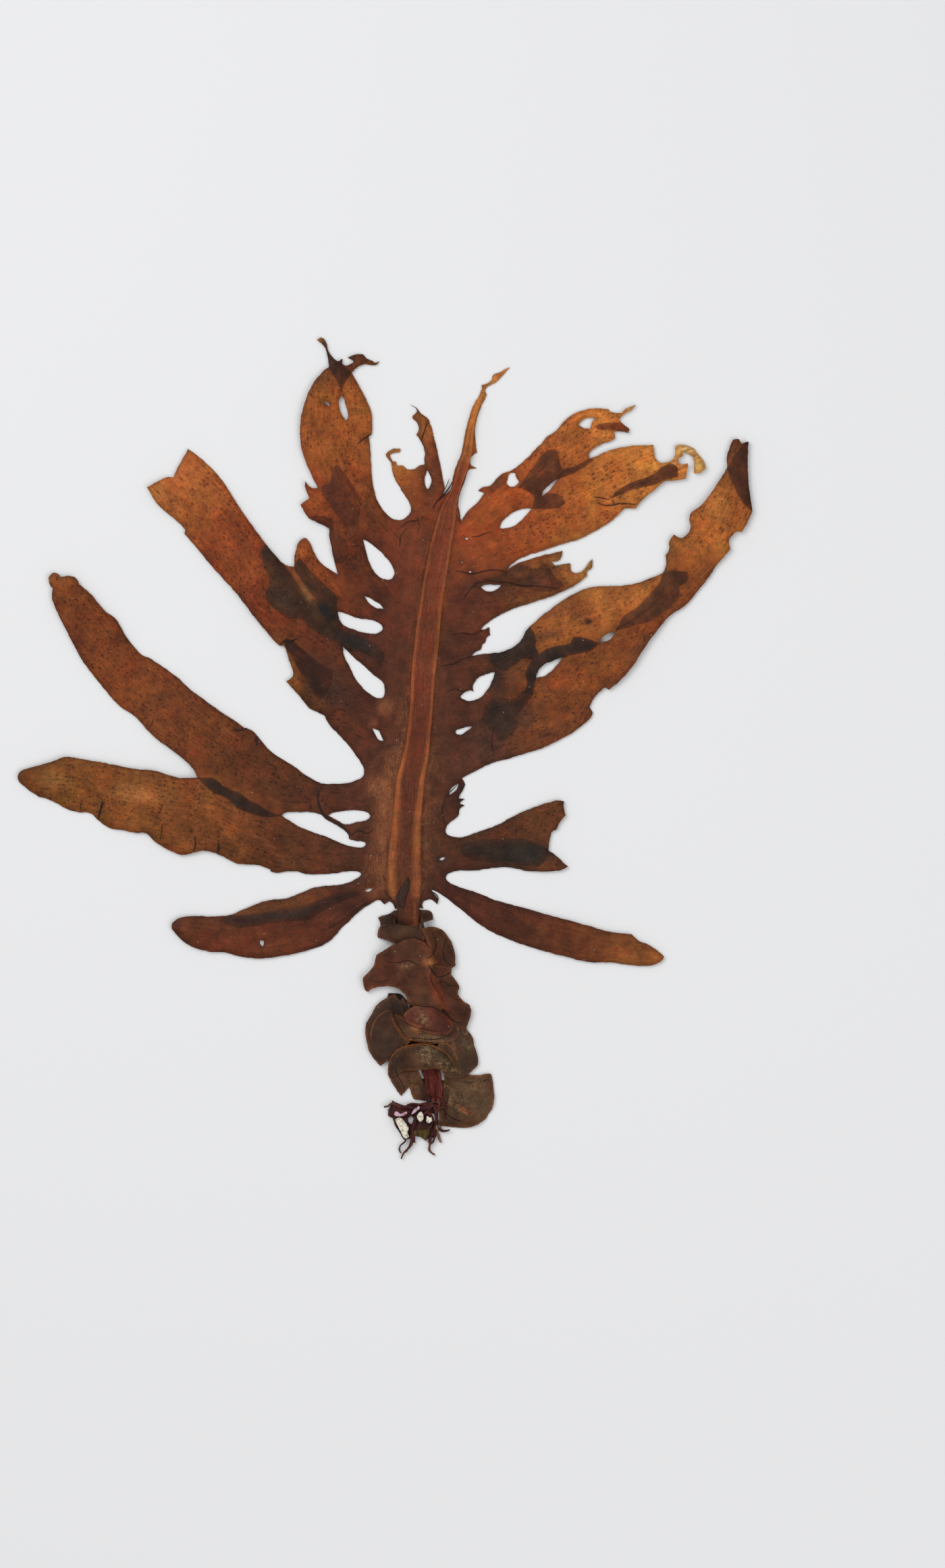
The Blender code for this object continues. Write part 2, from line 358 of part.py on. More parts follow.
# Across the midrib: a ridge along each side and a shallow trough between them
MIDRIB_PROFILE = [(1.0, 0.35), (0.9, 0.86), (0.68, 1.0), (0.4, 0.7), (0.0, 0.6), (-0.4, 0.7), (-0.68, 1.0),
                  (-0.9, 0.86), (-1.0, 0.35)]
MIDRIB_LANDS_AT = -54.0
MIDRIB_LEAVES_AT = -47.0
MIDRIB_TIP_TAPER = 25.0
CLUSTER_OPENS_AT, CLUSTER_CLOSES_AT = -99.5, -95.0
NECK_OPENS_AT, NECK_CLOSES_AT = -48.5, -50.6

# Sporophylls as (height in layers, outline), the lowest first
SPOROPHYLLS = [
    # wings beside the neck
    (0, [[(1.0, -48.6), (-0.4, -48.9), (-2.0, -49.5)],
         [(-1.4, -51.3), (-1.2, -52.6)],
         [(3.0, -53.4), (3.1, -50.0), (2.9, -47.3)]]),
    (0, [[(10.3, -50.5), (10.4, -53.2)],
         [(11.4, -52.6), (11.2, -50.9)],
         [(12.7, -50.4), (13.9, -50.1)],
         [(13.4, -47.9), (11.2, -47.3), (10.3, -47.4)]]),
    # lower right leaf
    (0, [[(17.2, -103.2)],
         [(15.8, -103.3)],
         [(15.7, -109.9)],
         [(18.5, -110.1), (22.5, -110.4), (26.0, -109.8), (28.6, -108.2), (30.3, -105.9),
          (31.5, -102.8), (31.5, -99.8), (31.1, -96.6), (30.6, -94.8)],
         [(29.4, -94.8), (26.5, -95.2), (22.0, -94.6)],
         [(19.0, -93.4), (17.1, -94.6)]]),
    # lower left leaves
    (0, [[(0.9, -94.2), (1.5, -96.3), (2.9, -98.8), (4.7, -101.2)],
         [(5.6, -100.1), (7.0, -98.5)],
         [(7.6, -100.4), (8.2, -102.2)],
         [(11.2, -102.4)],
         [(10.9, -97.0), (9.0, -92.0)],
         [(4.0, -91.5)]]),
    # right round leaf
    (1, [[(25.2, -83.8), (25.8, -86.5), (26.8, -89.6), (26.8, -92.0), (25.4, -93.7), (23.3, -95.4),
          (20.5, -96.1), (17.6, -95.6)],
         [(16.4, -93.4), (15.0, -90.0)],
         [(16.0, -84.0), (19.0, -80.5), (23.5, -81.7)]]),
    # left round leaf
    (1, [[(0.0, -73.0), (-2.5, -75.0), (-4.0, -77.7), (-5.5, -80.4), (-5.7, -82.9), (-5.0, -86.9),
          (-3.5, -90.0), (-1.3, -92.5)],
         [(0.8, -91.0), (4.0, -89.0)],
         [(8.0, -84.0), (7.0, -76.0)],
         [(5.2, -72.5), (4.4, -73.4)],
         [(3.3, -72.1), (2.9, -71.5)]]),
    # dark band across the neck
    (1, [[(-1.9, -53.0), (-2.1, -54.4), (-1.9, -55.4)],
         [(1.2, -56.3), (2.7, -57.0)],
         [(10.0, -58.0)],
         [(12.0, -54.0), (10.5, -52.5)],
         [(7.0, -51.5), (3.0, -51.1), (0.0, -51.5), (-1.2, -51.8)]]),
    # large lower leaf
    (2, [[(1.4, -90.0), (0.9, -92.5), (1.1, -94.6), (2.2, -95.8)],
         [(5.5, -94.0), (9.0, -93.6), (15.0, -93.1)],
         [(18.0, -94.2), (21.3, -94.2)],
         [(20.3, -91.6), (18.5, -88.9), (15.8, -86.9), (12.0, -86.0), (7.0, -86.4), (3.6, -87.4)]]),
    # right frills
    (2, [[(19.2, -66.2), (20.0, -67.1), (21.5, -69.6), (21.1, -71.5), (22.9, -74.0), (24.3, -74.7),
          (24.9, -76.5), (24.5, -78.6), (23.5, -81.7)],
         [(20.5, -81.4), (18.6, -78.5)],
         [(16.0, -74.5), (13.0, -68.5), (12.5, -63.5)],
         [(16.0, -62.0), (19.3, -64.2)]]),
    # right shoulder leaf
    (2, [[(13.8, -52.2), (16.5, -53.2), (18.9, -56.0), (20.2, -60.0), (20.4, -63.4)],
         [(19.4, -64.2)],
         [(15.0, -64.0), (11.5, -61.5)],
         [(12.6, -58.6), (12.0, -56.0), (10.5, -52.6)]]),
    # folded band between the round leaves
    (2, [[(4.0, -82.5), (6.0, -84.6)],
         [(10.0, -85.2), (15.0, -85.6), (20.0, -85.0), (21.6, -83.2), (21.4, -81.2)],
         [(19.5, -78.6), (14.0, -77.0), (6.0, -78.0), (2.4, -77.0)]]),
    # large upper leaf
    (3, [[(0.0, -58.8), (-2.5, -60.6), (-3.0, -62.8), (-5.0, -65.6), (-6.3, -66.8), (-6.4, -68.4),
          (-5.7, -70.6), (-4.9, -71.0)],
         [(-3.8, -70.2), (0.0, -69.4), (3.5, -69.8), (5.8, -71.7), (7.0, -74.6)],
         [(12.0, -76.0), (17.5, -76.0)],
         [(15.0, -71.5), (13.0, -66.5), (14.2, -62.5), (13.5, -58.5), (11.0, -56.0), (7.5, -55.1),
          (2.7, -57.0)]]),
    # domed leaf below it
    (4, [[(6.2, -76.4), (8.6, -74.9), (12.0, -74.7), (16.0, -75.9), (19.4, -79.0)],
         [(19.8, -81.6), (18.0, -83.4)],
         [(12.0, -82.6), (7.0, -80.0), (4.4, -78.6)]]),
]

# Holdfast: its plate, the gaps in it, and the branches, as rows of (X, Y, Z, radius)
HOLDFAST_EDGE = [
    [(15.3, -103.3)],
    [(15.3, -109.6), (15.0, -111.4), (13.9, -113.3), (13.0, -113.0)],
    [(11.7, -114.1)],
    [(10.1, -112.9), (8.2, -112.9)],
    [(7.4, -113.4), (5.2, -113.5), (4.3, -111.8), (3.0, -109.8), (2.2, -107.6)],
    [(1.0, -107.0), (0.9, -105.4)],
    [(2.3, -102.5)],
    [(4.0, -103.4), (5.6, -104.0), (8.3, -103.3)],
]
HOLDFAST_HOLES = [
    [[(7.6, -107.0), (8.4, -108.0), (7.7, -109.3), (6.9, -109.0), (6.6, -107.8), (7.0, -107.1)]],
    [[(14.3, -106.3), (14.6, -107.6), (14.4, -109.2), (13.9, -108.0), (13.3, -106.7), (13.5, -106.2)]],
]
HAPTERA = [
    [(14.2, -103.9, 1.4, 0.8), (10.4, -104.9, 1.5, 0.75), (7.0, -104.4, 1.4, 0.7), (4.2, -104.2, 1.3, 0.6),
     (2.3, -103.3, 1.2, 0.5), (1.0, -104.0, 1.1, 0.4), (-0.3, -104.4, 1.0, 0.3)],
    [(12.8, -103.9, 1.4, 0.8), (9.6, -105.6, 1.4, 0.7), (8.7, -108.0, 1.4, 0.7), (8.0, -110.6, 1.3, 0.7),
     (7.7, -112.8, 1.2, 0.7), (7.8, -114.1, 1.1, 0.6), (7.3, -115.4, 1.0, 0.52), (6.4, -116.7, 0.9, 0.46),
     (5.3, -117.8, 0.8, 0.38), (4.7, -119.4, 0.6, 0.28)],
    [(14.4, -104.0, 1.4, 0.75), (14.9, -106.4, 1.4, 0.6), (14.8, -109.0, 1.3, 0.6),
     (14.1, -111.2, 1.2, 0.6),
     (13.0, -113.4, 1.1, 0.55), (13.0, -115.1, 1.0, 0.45), (12.8, -116.7, 0.9, 0.4),
     (13.5, -117.6, 0.7, 0.32), (14.4, -118.2, 0.6, 0.26)],
    [(14.8, -111.0, 1.2, 0.5), (14.5, -112.6, 1.1, 0.42), (13.8, -114.5, 1.0, 0.36),
     (13.1, -115.2, 0.9, 0.32)],
    [(14.9, -109.6, 1.2, 0.55), (15.1, -111.6, 1.0, 0.5), (15.6, -113.2, 0.8, 0.48),
     (16.2, -114.6, 0.6, 0.4)],
    [(14.6, -110.0, 1.1, 0.5), (16.4, -111.2, 1.0, 0.42), (18.2, -111.2, 0.9, 0.36),
     (18.7, -110.8, 0.8, 0.3)],
    [(8.0, -112.0, 1.1, 0.55), (8.4, -113.4, 1.0, 0.42), (8.5, -114.7, 0.8, 0.3)],
    [(5.2, -111.6, 1.1, 0.5), (5.4, -113.2, 1.0, 0.36), (5.9, -113.9, 0.8, 0.3), (5.4, -114.7, 0.7, 0.27),
     (4.5, -115.5, 0.6, 0.26), (4.1, -116.7, 0.5, 0.25), (4.6, -117.7, 0.5, 0.25)],
]
HAPTERON_SIDES = 7

# Crusts that grew on the holdfast: (node, outline)
WHITE_CRUSTS = [
    ("white_crust_left", [[(4.4, -107.3), (5.4, -108.0), (6.2, -109.2), (6.9, -110.2), (6.6, -111.8),
                           (6.9, -112.8), (6.2, -113.2), (5.4, -112.9), (4.5, -111.2), (3.4, -109.0),
                           (2.9, -107.8)]]),
    ("white_crust_middle", [[(9.7, -106.0), (10.5, -105.5), (11.0, -106.3), (11.0, -108.1),
                             (10.3, -108.5), (9.5, -107.8), (9.1, -106.9)]]),
    ("white_crust_right", [[(12.3, -106.7), (12.9, -107.1), (13.5, -107.2), (13.6, -108.0),
                            (13.1, -108.8), (12.4, -108.9), (11.9, -108.2)]]),
]
PINK_CRUSTS = [
    ("pink_crust_left", [[(3.4, -105.5), (4.4, -106.2), (5.6, -105.9), (6.3, -105.6)],
                         [(6.3, -106.2), (4.9, -106.8), (3.6, -106.9), (2.8, -106.6), (2.7, -105.8)]]),
    ("pink_crust_right", [[(8.2, -105.2), (9.1, -104.3), (9.8, -103.9)],
                          [(10.2, -104.5), (9.3, -105.3), (8.3, -106.2), (7.7, -106.3)]]),
]
PINK_HEIGHT = 0.6
CRUST_SEAT = HOLDFAST_THICKNESS + 2 * GAP + 0.95


def smooth_run(points, spacing):
    """Points along a centripetal curve through the given ones, no further apart than the spacing."""
    if len(points) == 2:
        return [points[0]]
    nodes = [np.array(p, float) for p in points]
    nodes = [2 * nodes[0] - nodes[1]] + nodes + [2 * nodes[-1] - nodes[-2]]
    found = []
    for a, b, c, d in zip(nodes, nodes[1:], nodes[2:], nodes[3:]):
        t1 = math.sqrt(np.linalg.norm(b - a))
        t2 = t1 + math.sqrt(np.linalg.norm(c - b))
        t3 = t2 + math.sqrt(np.linalg.norm(d - c))
        count = max(2, math.ceil(np.linalg.norm(c - b) / spacing))
        for k in range(count):
            t = t1 + (t2 - t1) * k / count
            ab = a + (b - a) * t / t1
            bc = b + (c - b) * (t - t1) / (t2 - t1)
            cd = c + (d - c) * (t - t2) / (t3 - t2)
            abc = ab + (bc - ab) * t / t2
            bcd = bc + (cd - bc) * (t - t1) / (t3 - t1)
            point = abc + (bcd - abc) * (t - t1) / (t2 - t1)
            found.append((float(point[0]), float(point[1])))
    return found


def thinned(points, tolerance):
    """The points of an open line that keep its shape within the tolerance."""
    if len(points) < 3:
        return points[:-1]
    line = np.array(points)
    start, along = line[0], line[-1] - line[0]
    length = max(np.linalg.norm(along), 1e-9)
    offset = line[1:-1] - start
    away = np.abs(offset[:, 0] * along[1] - offset[:, 1] * along[0]) / length
    if np.linalg.norm(along) < 1e-6:
        away = np.linalg.norm(offset, axis=1)
    worst = int(np.argmax(away))
    if away[worst] < tolerance:
        return [points[0]]
    middle = worst + 1
    return thinned(points[: middle + 1], tolerance) + thinned(points[middle:], tolerance)


def closed_outline(runs, tolerance):
    """One closed loop of points from smooth runs that meet in corners."""
    loop = []
    start = runs[-1][-1]
    for run in runs:
        points = [start] + run
        start = run[-1]
        fine = smooth_run(points, 0.5) + [start]
        loop += thinned(fine, tolerance)
    return loop


def inside(loop, points):
    """True for each of the points that lies inside the closed loop."""
    corners = np.array(loop)
    x, y = points[:, 0], points[:, 1]
    found = np.zeros(len(points), bool)
    for (ax, ay), (bx, by) in zip(corners, np.roll(corners, -1, axis=0)):
        if ay == by:
            continue
        crosses = (ay > y) != (by > y)
        found ^= crosses & (x < (bx - ax) * (y - ay) / (by - ay) + ax)
    return found


def grid_points(loops, spacing):
    """A triangular grid over the loops, clear of their corners."""
    corners = np.concatenate([np.array(loop) for loop in loops])
    low, high = corners.min(axis=0), corners.max(axis=0)
    found = []
    row_height = spacing * math.sqrt(0.75)
    for row in range(int((high[1] - low[1]) / row_height) + 1):
        y = low[1] + row * row_height
        shift = spacing / 2 if row % 2 else 0.0
        for column in range(int((high[0] - low[0]) / spacing) + 1):
            x = low[0] + shift + column * spacing
            near = np.abs(corners - (x, y)).max(axis=1)
            if near.min() > spacing * 0.45:
                found.append((x, y))
    return found


def smoothstep(low, high, value):
    t = min(max((value - low) / (high - low), 0.0), 1.0)
    return t * t * (3 - 2 * t)


def midrib_at(y):
    """Left and right edge of the midrib or stipe at a height along the plant."""
    rows = MIDRIB_STATIONS[::-1]
    ys = [row[0] for row in rows]
    left = float(np.interp(y, ys, [row[1] for row in rows]))
    return left, float(np.interp(y, ys, [row[2] for row in rows]))


def off_midrib(x, y):
    left, right = midrib_at(y)
    return max(left - x, x - right, 0.0)


def blade_floor(x, y):
    """Height of the blade's underside: flat beside the midrib, with slow waves out along the lobes."""
    amount = smoothstep(FLAT_HALF_WIDTH, WAVE_FULL_AT, off_midrib(x, y))
    wave = math.sin(0.085 * x + 0.03 * y + 0.6) * math.cos(0.07 * y - 0.02 * x)
    wave += 0.4 * math.sin(0.15 * y + 0.05 * x)
    return BLADE_WAVE * amount * (0.5 + wave / 2.8)


def cluster_floor(x, y):
    """Height of the sporophylls' underside: they arch over the stipe and come down beside it."""
    over = smoothstep(CLUSTER_SHOULDER, 1.6, off_midrib(x, y))
    over *= smoothstep(CLUSTER_OPENS_AT, CLUSTER_CLOSES_AT, y) * smoothstep(NECK_OPENS_AT, NECK_CLOSES_AT, y)
    ripple = 0.35 * (1 + math.sin(0.55 * x + 0.2 * y) * math.cos(0.4 * y - 0.15 * x))
    rim = smoothstep(5.0, 12.0, off_midrib(x, y))
    return (STIPE_HEIGHT + CLUSTER_CLEARANCE) * over + ripple * rim


def cluster_fall(x, y):
    """How much of each layer's height is left, less towards the outer rim of the cluster."""
    return 1.0 - 0.55 * smoothstep(2.0, 13.0, off_midrib(x, y))


def level_of(centres, outline, holes, layers):
    """Layer count of each triangle centre, or -1 outside the sheet."""
    level = np.where(inside(outline, centres), 0, -1) if outline else np.full(len(centres), -1)
    for height, loop in layers:
        within = inside(loop, centres)
        if outline:
            within &= level >= 0
        level = np.where(within, np.maximum(level, height), level)
    for hole in holes:
        level[inside(hole, centres)] = -1
    return level


def layered_sheet(name, outline, holes, layers, grid, floor, top):
    """A sheet with steps where layers lie on it, cut alike on both faces.

    floor(x, y) is its underside and top(x, y, level) its upper side.
    """
    loops = [outline] if outline else []
    loops += holes + [loop for _, loop in layers]
    points = [p for loop in loops for p in loop]
    edges = []
    for loop in loops:
        start = len(edges)
        edges += [(start + i, start + (i + 1) % len(loop)) for i in range(len(loop))]
    points += grid_points(loops, grid)
    flat, _, triangles, _, _, _ = delaunay_2d_cdt([Vector(p) for p in points], edges, [], 0, 1e-4)
    flat = np.array([(v.x, v.y) for v in flat])
    triangles = np.array([list(t) for t in triangles])
    level = level_of(flat[triangles].mean(axis=1), outline, holes, layers)
    kept = [(tuple(int(v) for v in t), int(h)) for t, h in zip(triangles, level) if h >= 0]

    mesh = bmesh.new()
    made = {}

    def vertex(index, height):
        if (index, height) not in made:
            x, y = (float(v) for v in flat[index])
            z = floor(x, y) if height < 0 else top(x, y, height)
            made[index, height] = mesh.verts.new((x * MM, y * MM, z * MM))
        return made[index, height]

    edge_level = {}
    for corners, height in kept:
        mesh.faces.new([vertex(i, height) for i in corners])
        mesh.faces.new([vertex(i, -1) for i in reversed(corners)])
        for a, b in zip(corners, corners[1:] + corners[:1]):
            edge_level[a, b] = height
    for (a, b), height in edge_level.items():
        beside = edge_level.get((b, a), -1)
        for low in range(beside, height):
            wall = [vertex(a, low), vertex(b, low), vertex(b, low + 1), vertex(a, low + 1)]
            mesh.faces.new(wall[:3])
            mesh.faces.new([wall[0], wall[2], wall[3]])
    return object_from(name, mesh)


def object_from(name, mesh):
    data = bpy.data.meshes.new(name)
    mesh.to_mesh(data)
    mesh.free()
    made = bpy.data.objects.new(name, data)
    bpy.context.scene.collection.objects.link(made)
    return made


def paint(made, colour, roughness, metallic=0.0):
    """A plain Principled material of the node's own."""
    material = bpy.data.materials.new(made.name)
    material.use_nodes = True
    shader = material.node_tree.nodes["Principled BSDF"]
    shader.inputs["Base Color"].default_value = (*colour, 1.0)
    shader.inputs["Roughness"].default_value = roughness
    shader.inputs["Metallic"].default_value = metallic
    material.diffuse_color = (*colour, 1.0)
    made.data.materials.append(material)
    return made


def blade():
    outline = closed_outline(BLADE_EDGE, EDGE_TOLERANCE)
    holes = [closed_outline(runs, EDGE_TOLERANCE) for runs in BLADE_HOLES]
    layers = [(height, closed_outline(runs, EDGE_TOLERANCE * 1.5)) for height, runs in BLADE_OVERLAPS]

    def top(x, y, level):
        return blade_floor(x, y) + BLADE_THICKNESS + OVERLAP_STEP * level

    made = layered_sheet("blade", outline, holes, layers, BLADE_GRID, blade_floor, top)
    return paint(made, (0.23, 0.072, 0.025), 0.55)


def midrib_stipe():
    """A strap that lies on the blade up to its tip and carries on below it as the stipe."""
    seat = BLADE_THICKNESS + GAP
    sections = []
    for y, left, right in MIDRIB_STATIONS:
        landed = smoothstep(MIDRIB_LEAVES_AT, MIDRIB_LANDS_AT, y)
        base = seat * (1 - landed)
        height = MIDRIB_HEIGHT + (STIPE_HEIGHT - MIDRIB_HEIGHT) * landed
        height *= 1 - 0.5 * smoothstep(MIDRIB_STATIONS[0][0] - MIDRIB_TIP_TAPER, MIDRIB_STATIONS[0][0], y)
        centre, half = (left + right) / 2, (right - left) / 2
        section = [(centre - 0.94 * half, y, base), (centre + 0.94 * half, y, base)]
        section += [(centre + u * half, y, base + v * height) for u, v in MIDRIB_PROFILE]
        sections.append(section)
    mesh = bmesh.new()
    rings = [[mesh.verts.new([c * MM for c in point]) for point in section] for section in sections]
    for upper, lower in zip(rings, rings[1:]):
        for i in range(len(upper)):
            j = (i + 1) % len(upper)
            mesh.faces.new((upper[i], upper[j], lower[j], lower[i]))
    mesh.faces.new(rings[0][::-1])
    mesh.faces.new(rings[-1])
    bmesh.ops.recalc_face_normals(mesh, faces=mesh.faces)
    made = object_from("midrib_stipe", mesh)
    made.data.shade_smooth()
    made.data.set_sharp_from_angle(angle=math.radians(50))
    return paint(made, (0.16, 0.045, 0.024), 0.5)


def sporophylls():
    """The frills at the base, pressed into one stack that arches over the stipe."""
    layers = [(height, closed_outline(runs, EDGE_TOLERANCE)) for height, runs in SPOROPHYLLS]

    def top(x, y, level):
        return cluster_floor(x, y) + FRILL_THICKNESS + FRILL_STEP * level * cluster_fall(x, y)

    made = layered_sheet("sporophylls", [], [], layers, FRILL_GRID, cluster_floor, top)
    return paint(made, (0.062, 0.027, 0.018), 0.5)


def hapteron(name, rows):
    """A tapering branch of the holdfast, closed at both ends."""
    path = np.array(rows)
    fine = []
    for a, b in zip(path, path[1:]):
        steps = max(1, math.ceil(np.linalg.norm((b - a)[:2]) / 1.3))
        fine += [a + (b - a) * k / steps for k in range(steps)]
    fine.append(path[-1])
    mesh = bmesh.new()
    rings = []
    for i, (x, y, z, radius) in enumerate(fine):
        ahead = (fine[min(i + 1, len(fine) - 1)] - fine[max(i - 1, 0)])[:3]
        forward = Vector(ahead).normalized()
        side = forward.cross(Vector((0, 0, 1))).normalized()
        up = side.cross(forward)
        ring = []
        for k in range(HAPTERON_SIDES):
            angle = 2 * math.pi * k / HAPTERON_SIDES
            offset = side * math.cos(angle) * radius + up * math.sin(angle) * radius
            ring.append(mesh.verts.new((Vector((x, y, max(z, radius))) + offset) * MM))
        rings.append(ring)
    for first, second in zip(rings, rings[1:]):
        for k in range(HAPTERON_SIDES):
            n = (k + 1) % HAPTERON_SIDES
            mesh.faces.new((first[k], first[n], second[n], second[k]))
    mesh.faces.new(rings[0])
    mesh.faces.new(rings[-1][::-1])
    bmesh.ops.recalc_face_normals(mesh, faces=mesh.faces)
    return object_from(name, mesh)


def holdfast():
    """A small plate under the end of the stipe and the branches that grip with."""

    def top(x, y, level):
        return HOLDFAST_THICKNESS

    def floor(x, y):
        return 0.0

    outline = closed_outline(HOLDFAST_EDGE, EDGE_TOLERANCE)
    holes = [closed_outline(runs, EDGE_TOLERANCE) for runs in HOLDFAST_HOLES]
    made = layered_sheet("holdfast", outline, holes, [], HOLDFAST_GRID, floor, top)
    branches = bpy.data.collections.new("haptera")
    bpy.context.scene.collection.children.link(branches)
    for i, rows in enumerate(HAPTERA):
        branch = hapteron(f"hapteron_{i}", rows)
        bpy.context.scene.collection.objects.unlink(branch)
        branches.objects.link(branch)
    union = made.modifiers.new("haptera", "BOOLEAN")
    union.operation = "UNION"
    union.operand_type = "COLLECTION"
    union.collection = branches
    union.solver = "EXACT"
    apply_modifiers(made)
    for branch in list(branches.objects):
        bpy.data.objects.remove(branch)
    bpy.data.collections.remove(branches)
    return paint(made, (0.055, 0.016, 0.022), 0.45)


def apply_modifiers(made):
    """Keeps the shape that the modifiers give as the object's own mesh."""
    graph = bpy.context.evaluated_depsgraph_get()
    kept = bpy.data.meshes.new_from_object(made.evaluated_get(graph))
    old = made.data
    made.modifiers.clear()
    made.data = kept
    bpy.data.meshes.remove(old)


def crust(name, runs, height, colour):
    """A rounded lump seated just above the holdfast."""
    outline = closed_outline(runs, EDGE_TOLERANCE)
    middle = np.array(outline).mean(axis=0)
    mesh = bmesh.new()
    rings = []
    for scale, lift in ((0.9, 0.0), (1.0, 0.3), (0.86, 0.75), (0.45, 1.0)):
        ring = []
        for x, y in outline:
            spot = middle + (np.array((x, y)) - middle) * scale
            ring.append(mesh.verts.new((spot[0] * MM, spot[1] * MM, (CRUST_SEAT + lift * height) * MM)))
        rings.append(ring)
    for lower, upper in zip(rings, rings[1:]):
        for i in range(len(lower)):
            j = (i + 1) % len(lower)
            mesh.faces.new((lower[i], lower[j], upper[j]))
            mesh.faces.new((lower[i], upper[j], upper[i]))
    mesh.faces.new(rings[0][::-1])
    mesh.faces.new(rings[-1])
    bmesh.ops.recalc_face_normals(mesh, faces=mesh.faces)
    return paint(object_from(name, mesh), colour, 0.9)


def centred(nodes):
    """Moves all nodes so that the middle of their common box is above the origin and its bottom at zero."""
    corners = np.concatenate([np.array([v.co[:] for v in node.data.vertices]) for node in nodes])
    low, high = corners.min(axis=0), corners.max(axis=0)
    shift = Vector((-(low[0] + high[0]) / 2, -(low[1] + high[1]) / 2, -low[2]))
    for node in nodes:
        node.location = shift


def main():
    for old in list(bpy.data.objects):
        bpy.data.objects.remove(old)
    nodes = [blade(), midrib_stipe(), sporophylls(), holdfast()]
    nodes += [crust(name, runs, CRUST_HEIGHT, (0.78, 0.76, 0.64)) for name, runs in WHITE_CRUSTS]
    nodes += [crust(name, runs, PINK_HEIGHT, (0.60, 0.36, 0.40)) for name, runs in PINK_CRUSTS]
    centred(nodes)


main()
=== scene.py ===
"""Wakame seaweed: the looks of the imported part.

Finer sheets with their layers, creases, specks and colours replace the plain solids and keep their form.
Outlines are in millimetres in the plane of the blade, as in the CAD.
"""

import math

import bpy
import numpy as np
from mathutils import Matrix, Vector, kdtree, noise
from mathutils.geometry import delaunay_2d_cdt


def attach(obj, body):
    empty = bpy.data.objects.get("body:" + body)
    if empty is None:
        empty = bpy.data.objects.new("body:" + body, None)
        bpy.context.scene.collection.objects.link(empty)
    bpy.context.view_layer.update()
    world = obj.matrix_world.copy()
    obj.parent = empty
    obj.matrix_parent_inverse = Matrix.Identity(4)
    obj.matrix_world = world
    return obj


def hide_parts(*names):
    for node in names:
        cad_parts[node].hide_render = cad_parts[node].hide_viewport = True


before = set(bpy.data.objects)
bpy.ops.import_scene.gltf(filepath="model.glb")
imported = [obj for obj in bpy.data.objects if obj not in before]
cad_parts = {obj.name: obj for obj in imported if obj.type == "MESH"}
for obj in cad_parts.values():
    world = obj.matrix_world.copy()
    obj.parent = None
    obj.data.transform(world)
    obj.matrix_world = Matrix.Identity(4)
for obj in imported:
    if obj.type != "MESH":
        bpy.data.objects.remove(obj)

MM = 0.001
# From the outlines to the shared frame, in millimetres
SHIFT = (-0.069, 0.601, 0.0)

# Dimensions, in millimetres, as in the CAD
GAP = 0.3
BLADE_THICKNESS = 0.65
OVERLAP_STEP = 0.45
BLADE_WAVE = 1.5
FLAT_HALF_WIDTH = 16.0
WAVE_FULL_AT = 52.0
MIDRIB_HEIGHT = 0.95
STIPE_HEIGHT = 1.6
FRILL_THICKNESS = 0.8
FRILL_STEP = 0.55
CLUSTER_CLEARANCE = 0.75
CLUSTER_SHOULDER = 6.0
HOLDFAST_THICKNESS = 1.1
CRUST_HEIGHT = 1.5
MIDRIB_SEAT = BLADE_THICKNESS + GAP

# How far apart the points of the finer pieces are, in millimetres, and how far their edges are frayed
BLADE_SPACING = 0.8
BLADE_EDGE_SPACING = 0.55
BLADE_HOLE_SPACING = 0.45
FRILL_SPACING = 0.36
FRILL_EDGE_SPACING = 0.3
HOLDFAST_SPACING = 0.35
HOLDFAST_EDGE_SPACING = 0.25
CRUST_EDGE_SPACING = 0.22
COARSE_RAG = 0.16
FINE_RAG = 0.11
# Without it the fraying would be another one each run
RAG_SEED = 7

PROFILE_STEPS = 4
BRANCH_SIDES = 10

# The cross-section of a crease, as (across, up), and how deep its foot lies in the piece
RIDGE_PROFILE = [(-1.0, 0.0), (-0.6, 0.75), (0.0, 1.0), (0.6, 0.75), (1.0, 0.0)]
RIDGE_SUNK = 0.04

# Rings of a crust from its foot to its crown, as (share of the outline, share of the height)
CRUST_STEPS = [(0.9, 0.0), (1.0, 0.25), (0.97, 0.55), (0.86, 0.8), (0.66, 0.95), (0.42, 1.0), (0.2, 1.0)]

# Painted shade: how dark the underside, the walls at the edge and the walls of steps are beside the upper
# side
UNDER_SHADE = 0.9
RIM_SHADE = 0.72
STEP_SHADE = 0.6

# A distance beyond any on the plant, the one given to a point that is in no layer, and how far apart the
# patterns of two lobes are
FAR = 1e9
NO_LAYER = 99.0
LOBE_OFFSET = 61.0

# Spacing of the pressed-in cloth's threads, in metres
THREAD_SPACING = 0.00042

# Surface, lights and camera, in metres and watts
SURFACE_SIZE = 8.0
SURFACE_BELOW = 0.0002
LIGHT_SIZE = 0.9
LIGHTS = [("key", (-0.55, 0.5, 1.1), 8.0), ("fill", (0.65, -0.45, 1.1), 5.0)]
CAMERA_DISTANCE = 1.5
FRAME_MIDDLE = (0.0253, -0.0109)
FRAME_HEIGHT = 0.45391
# In millimetres
SENSOR_HEIGHT = 36.0

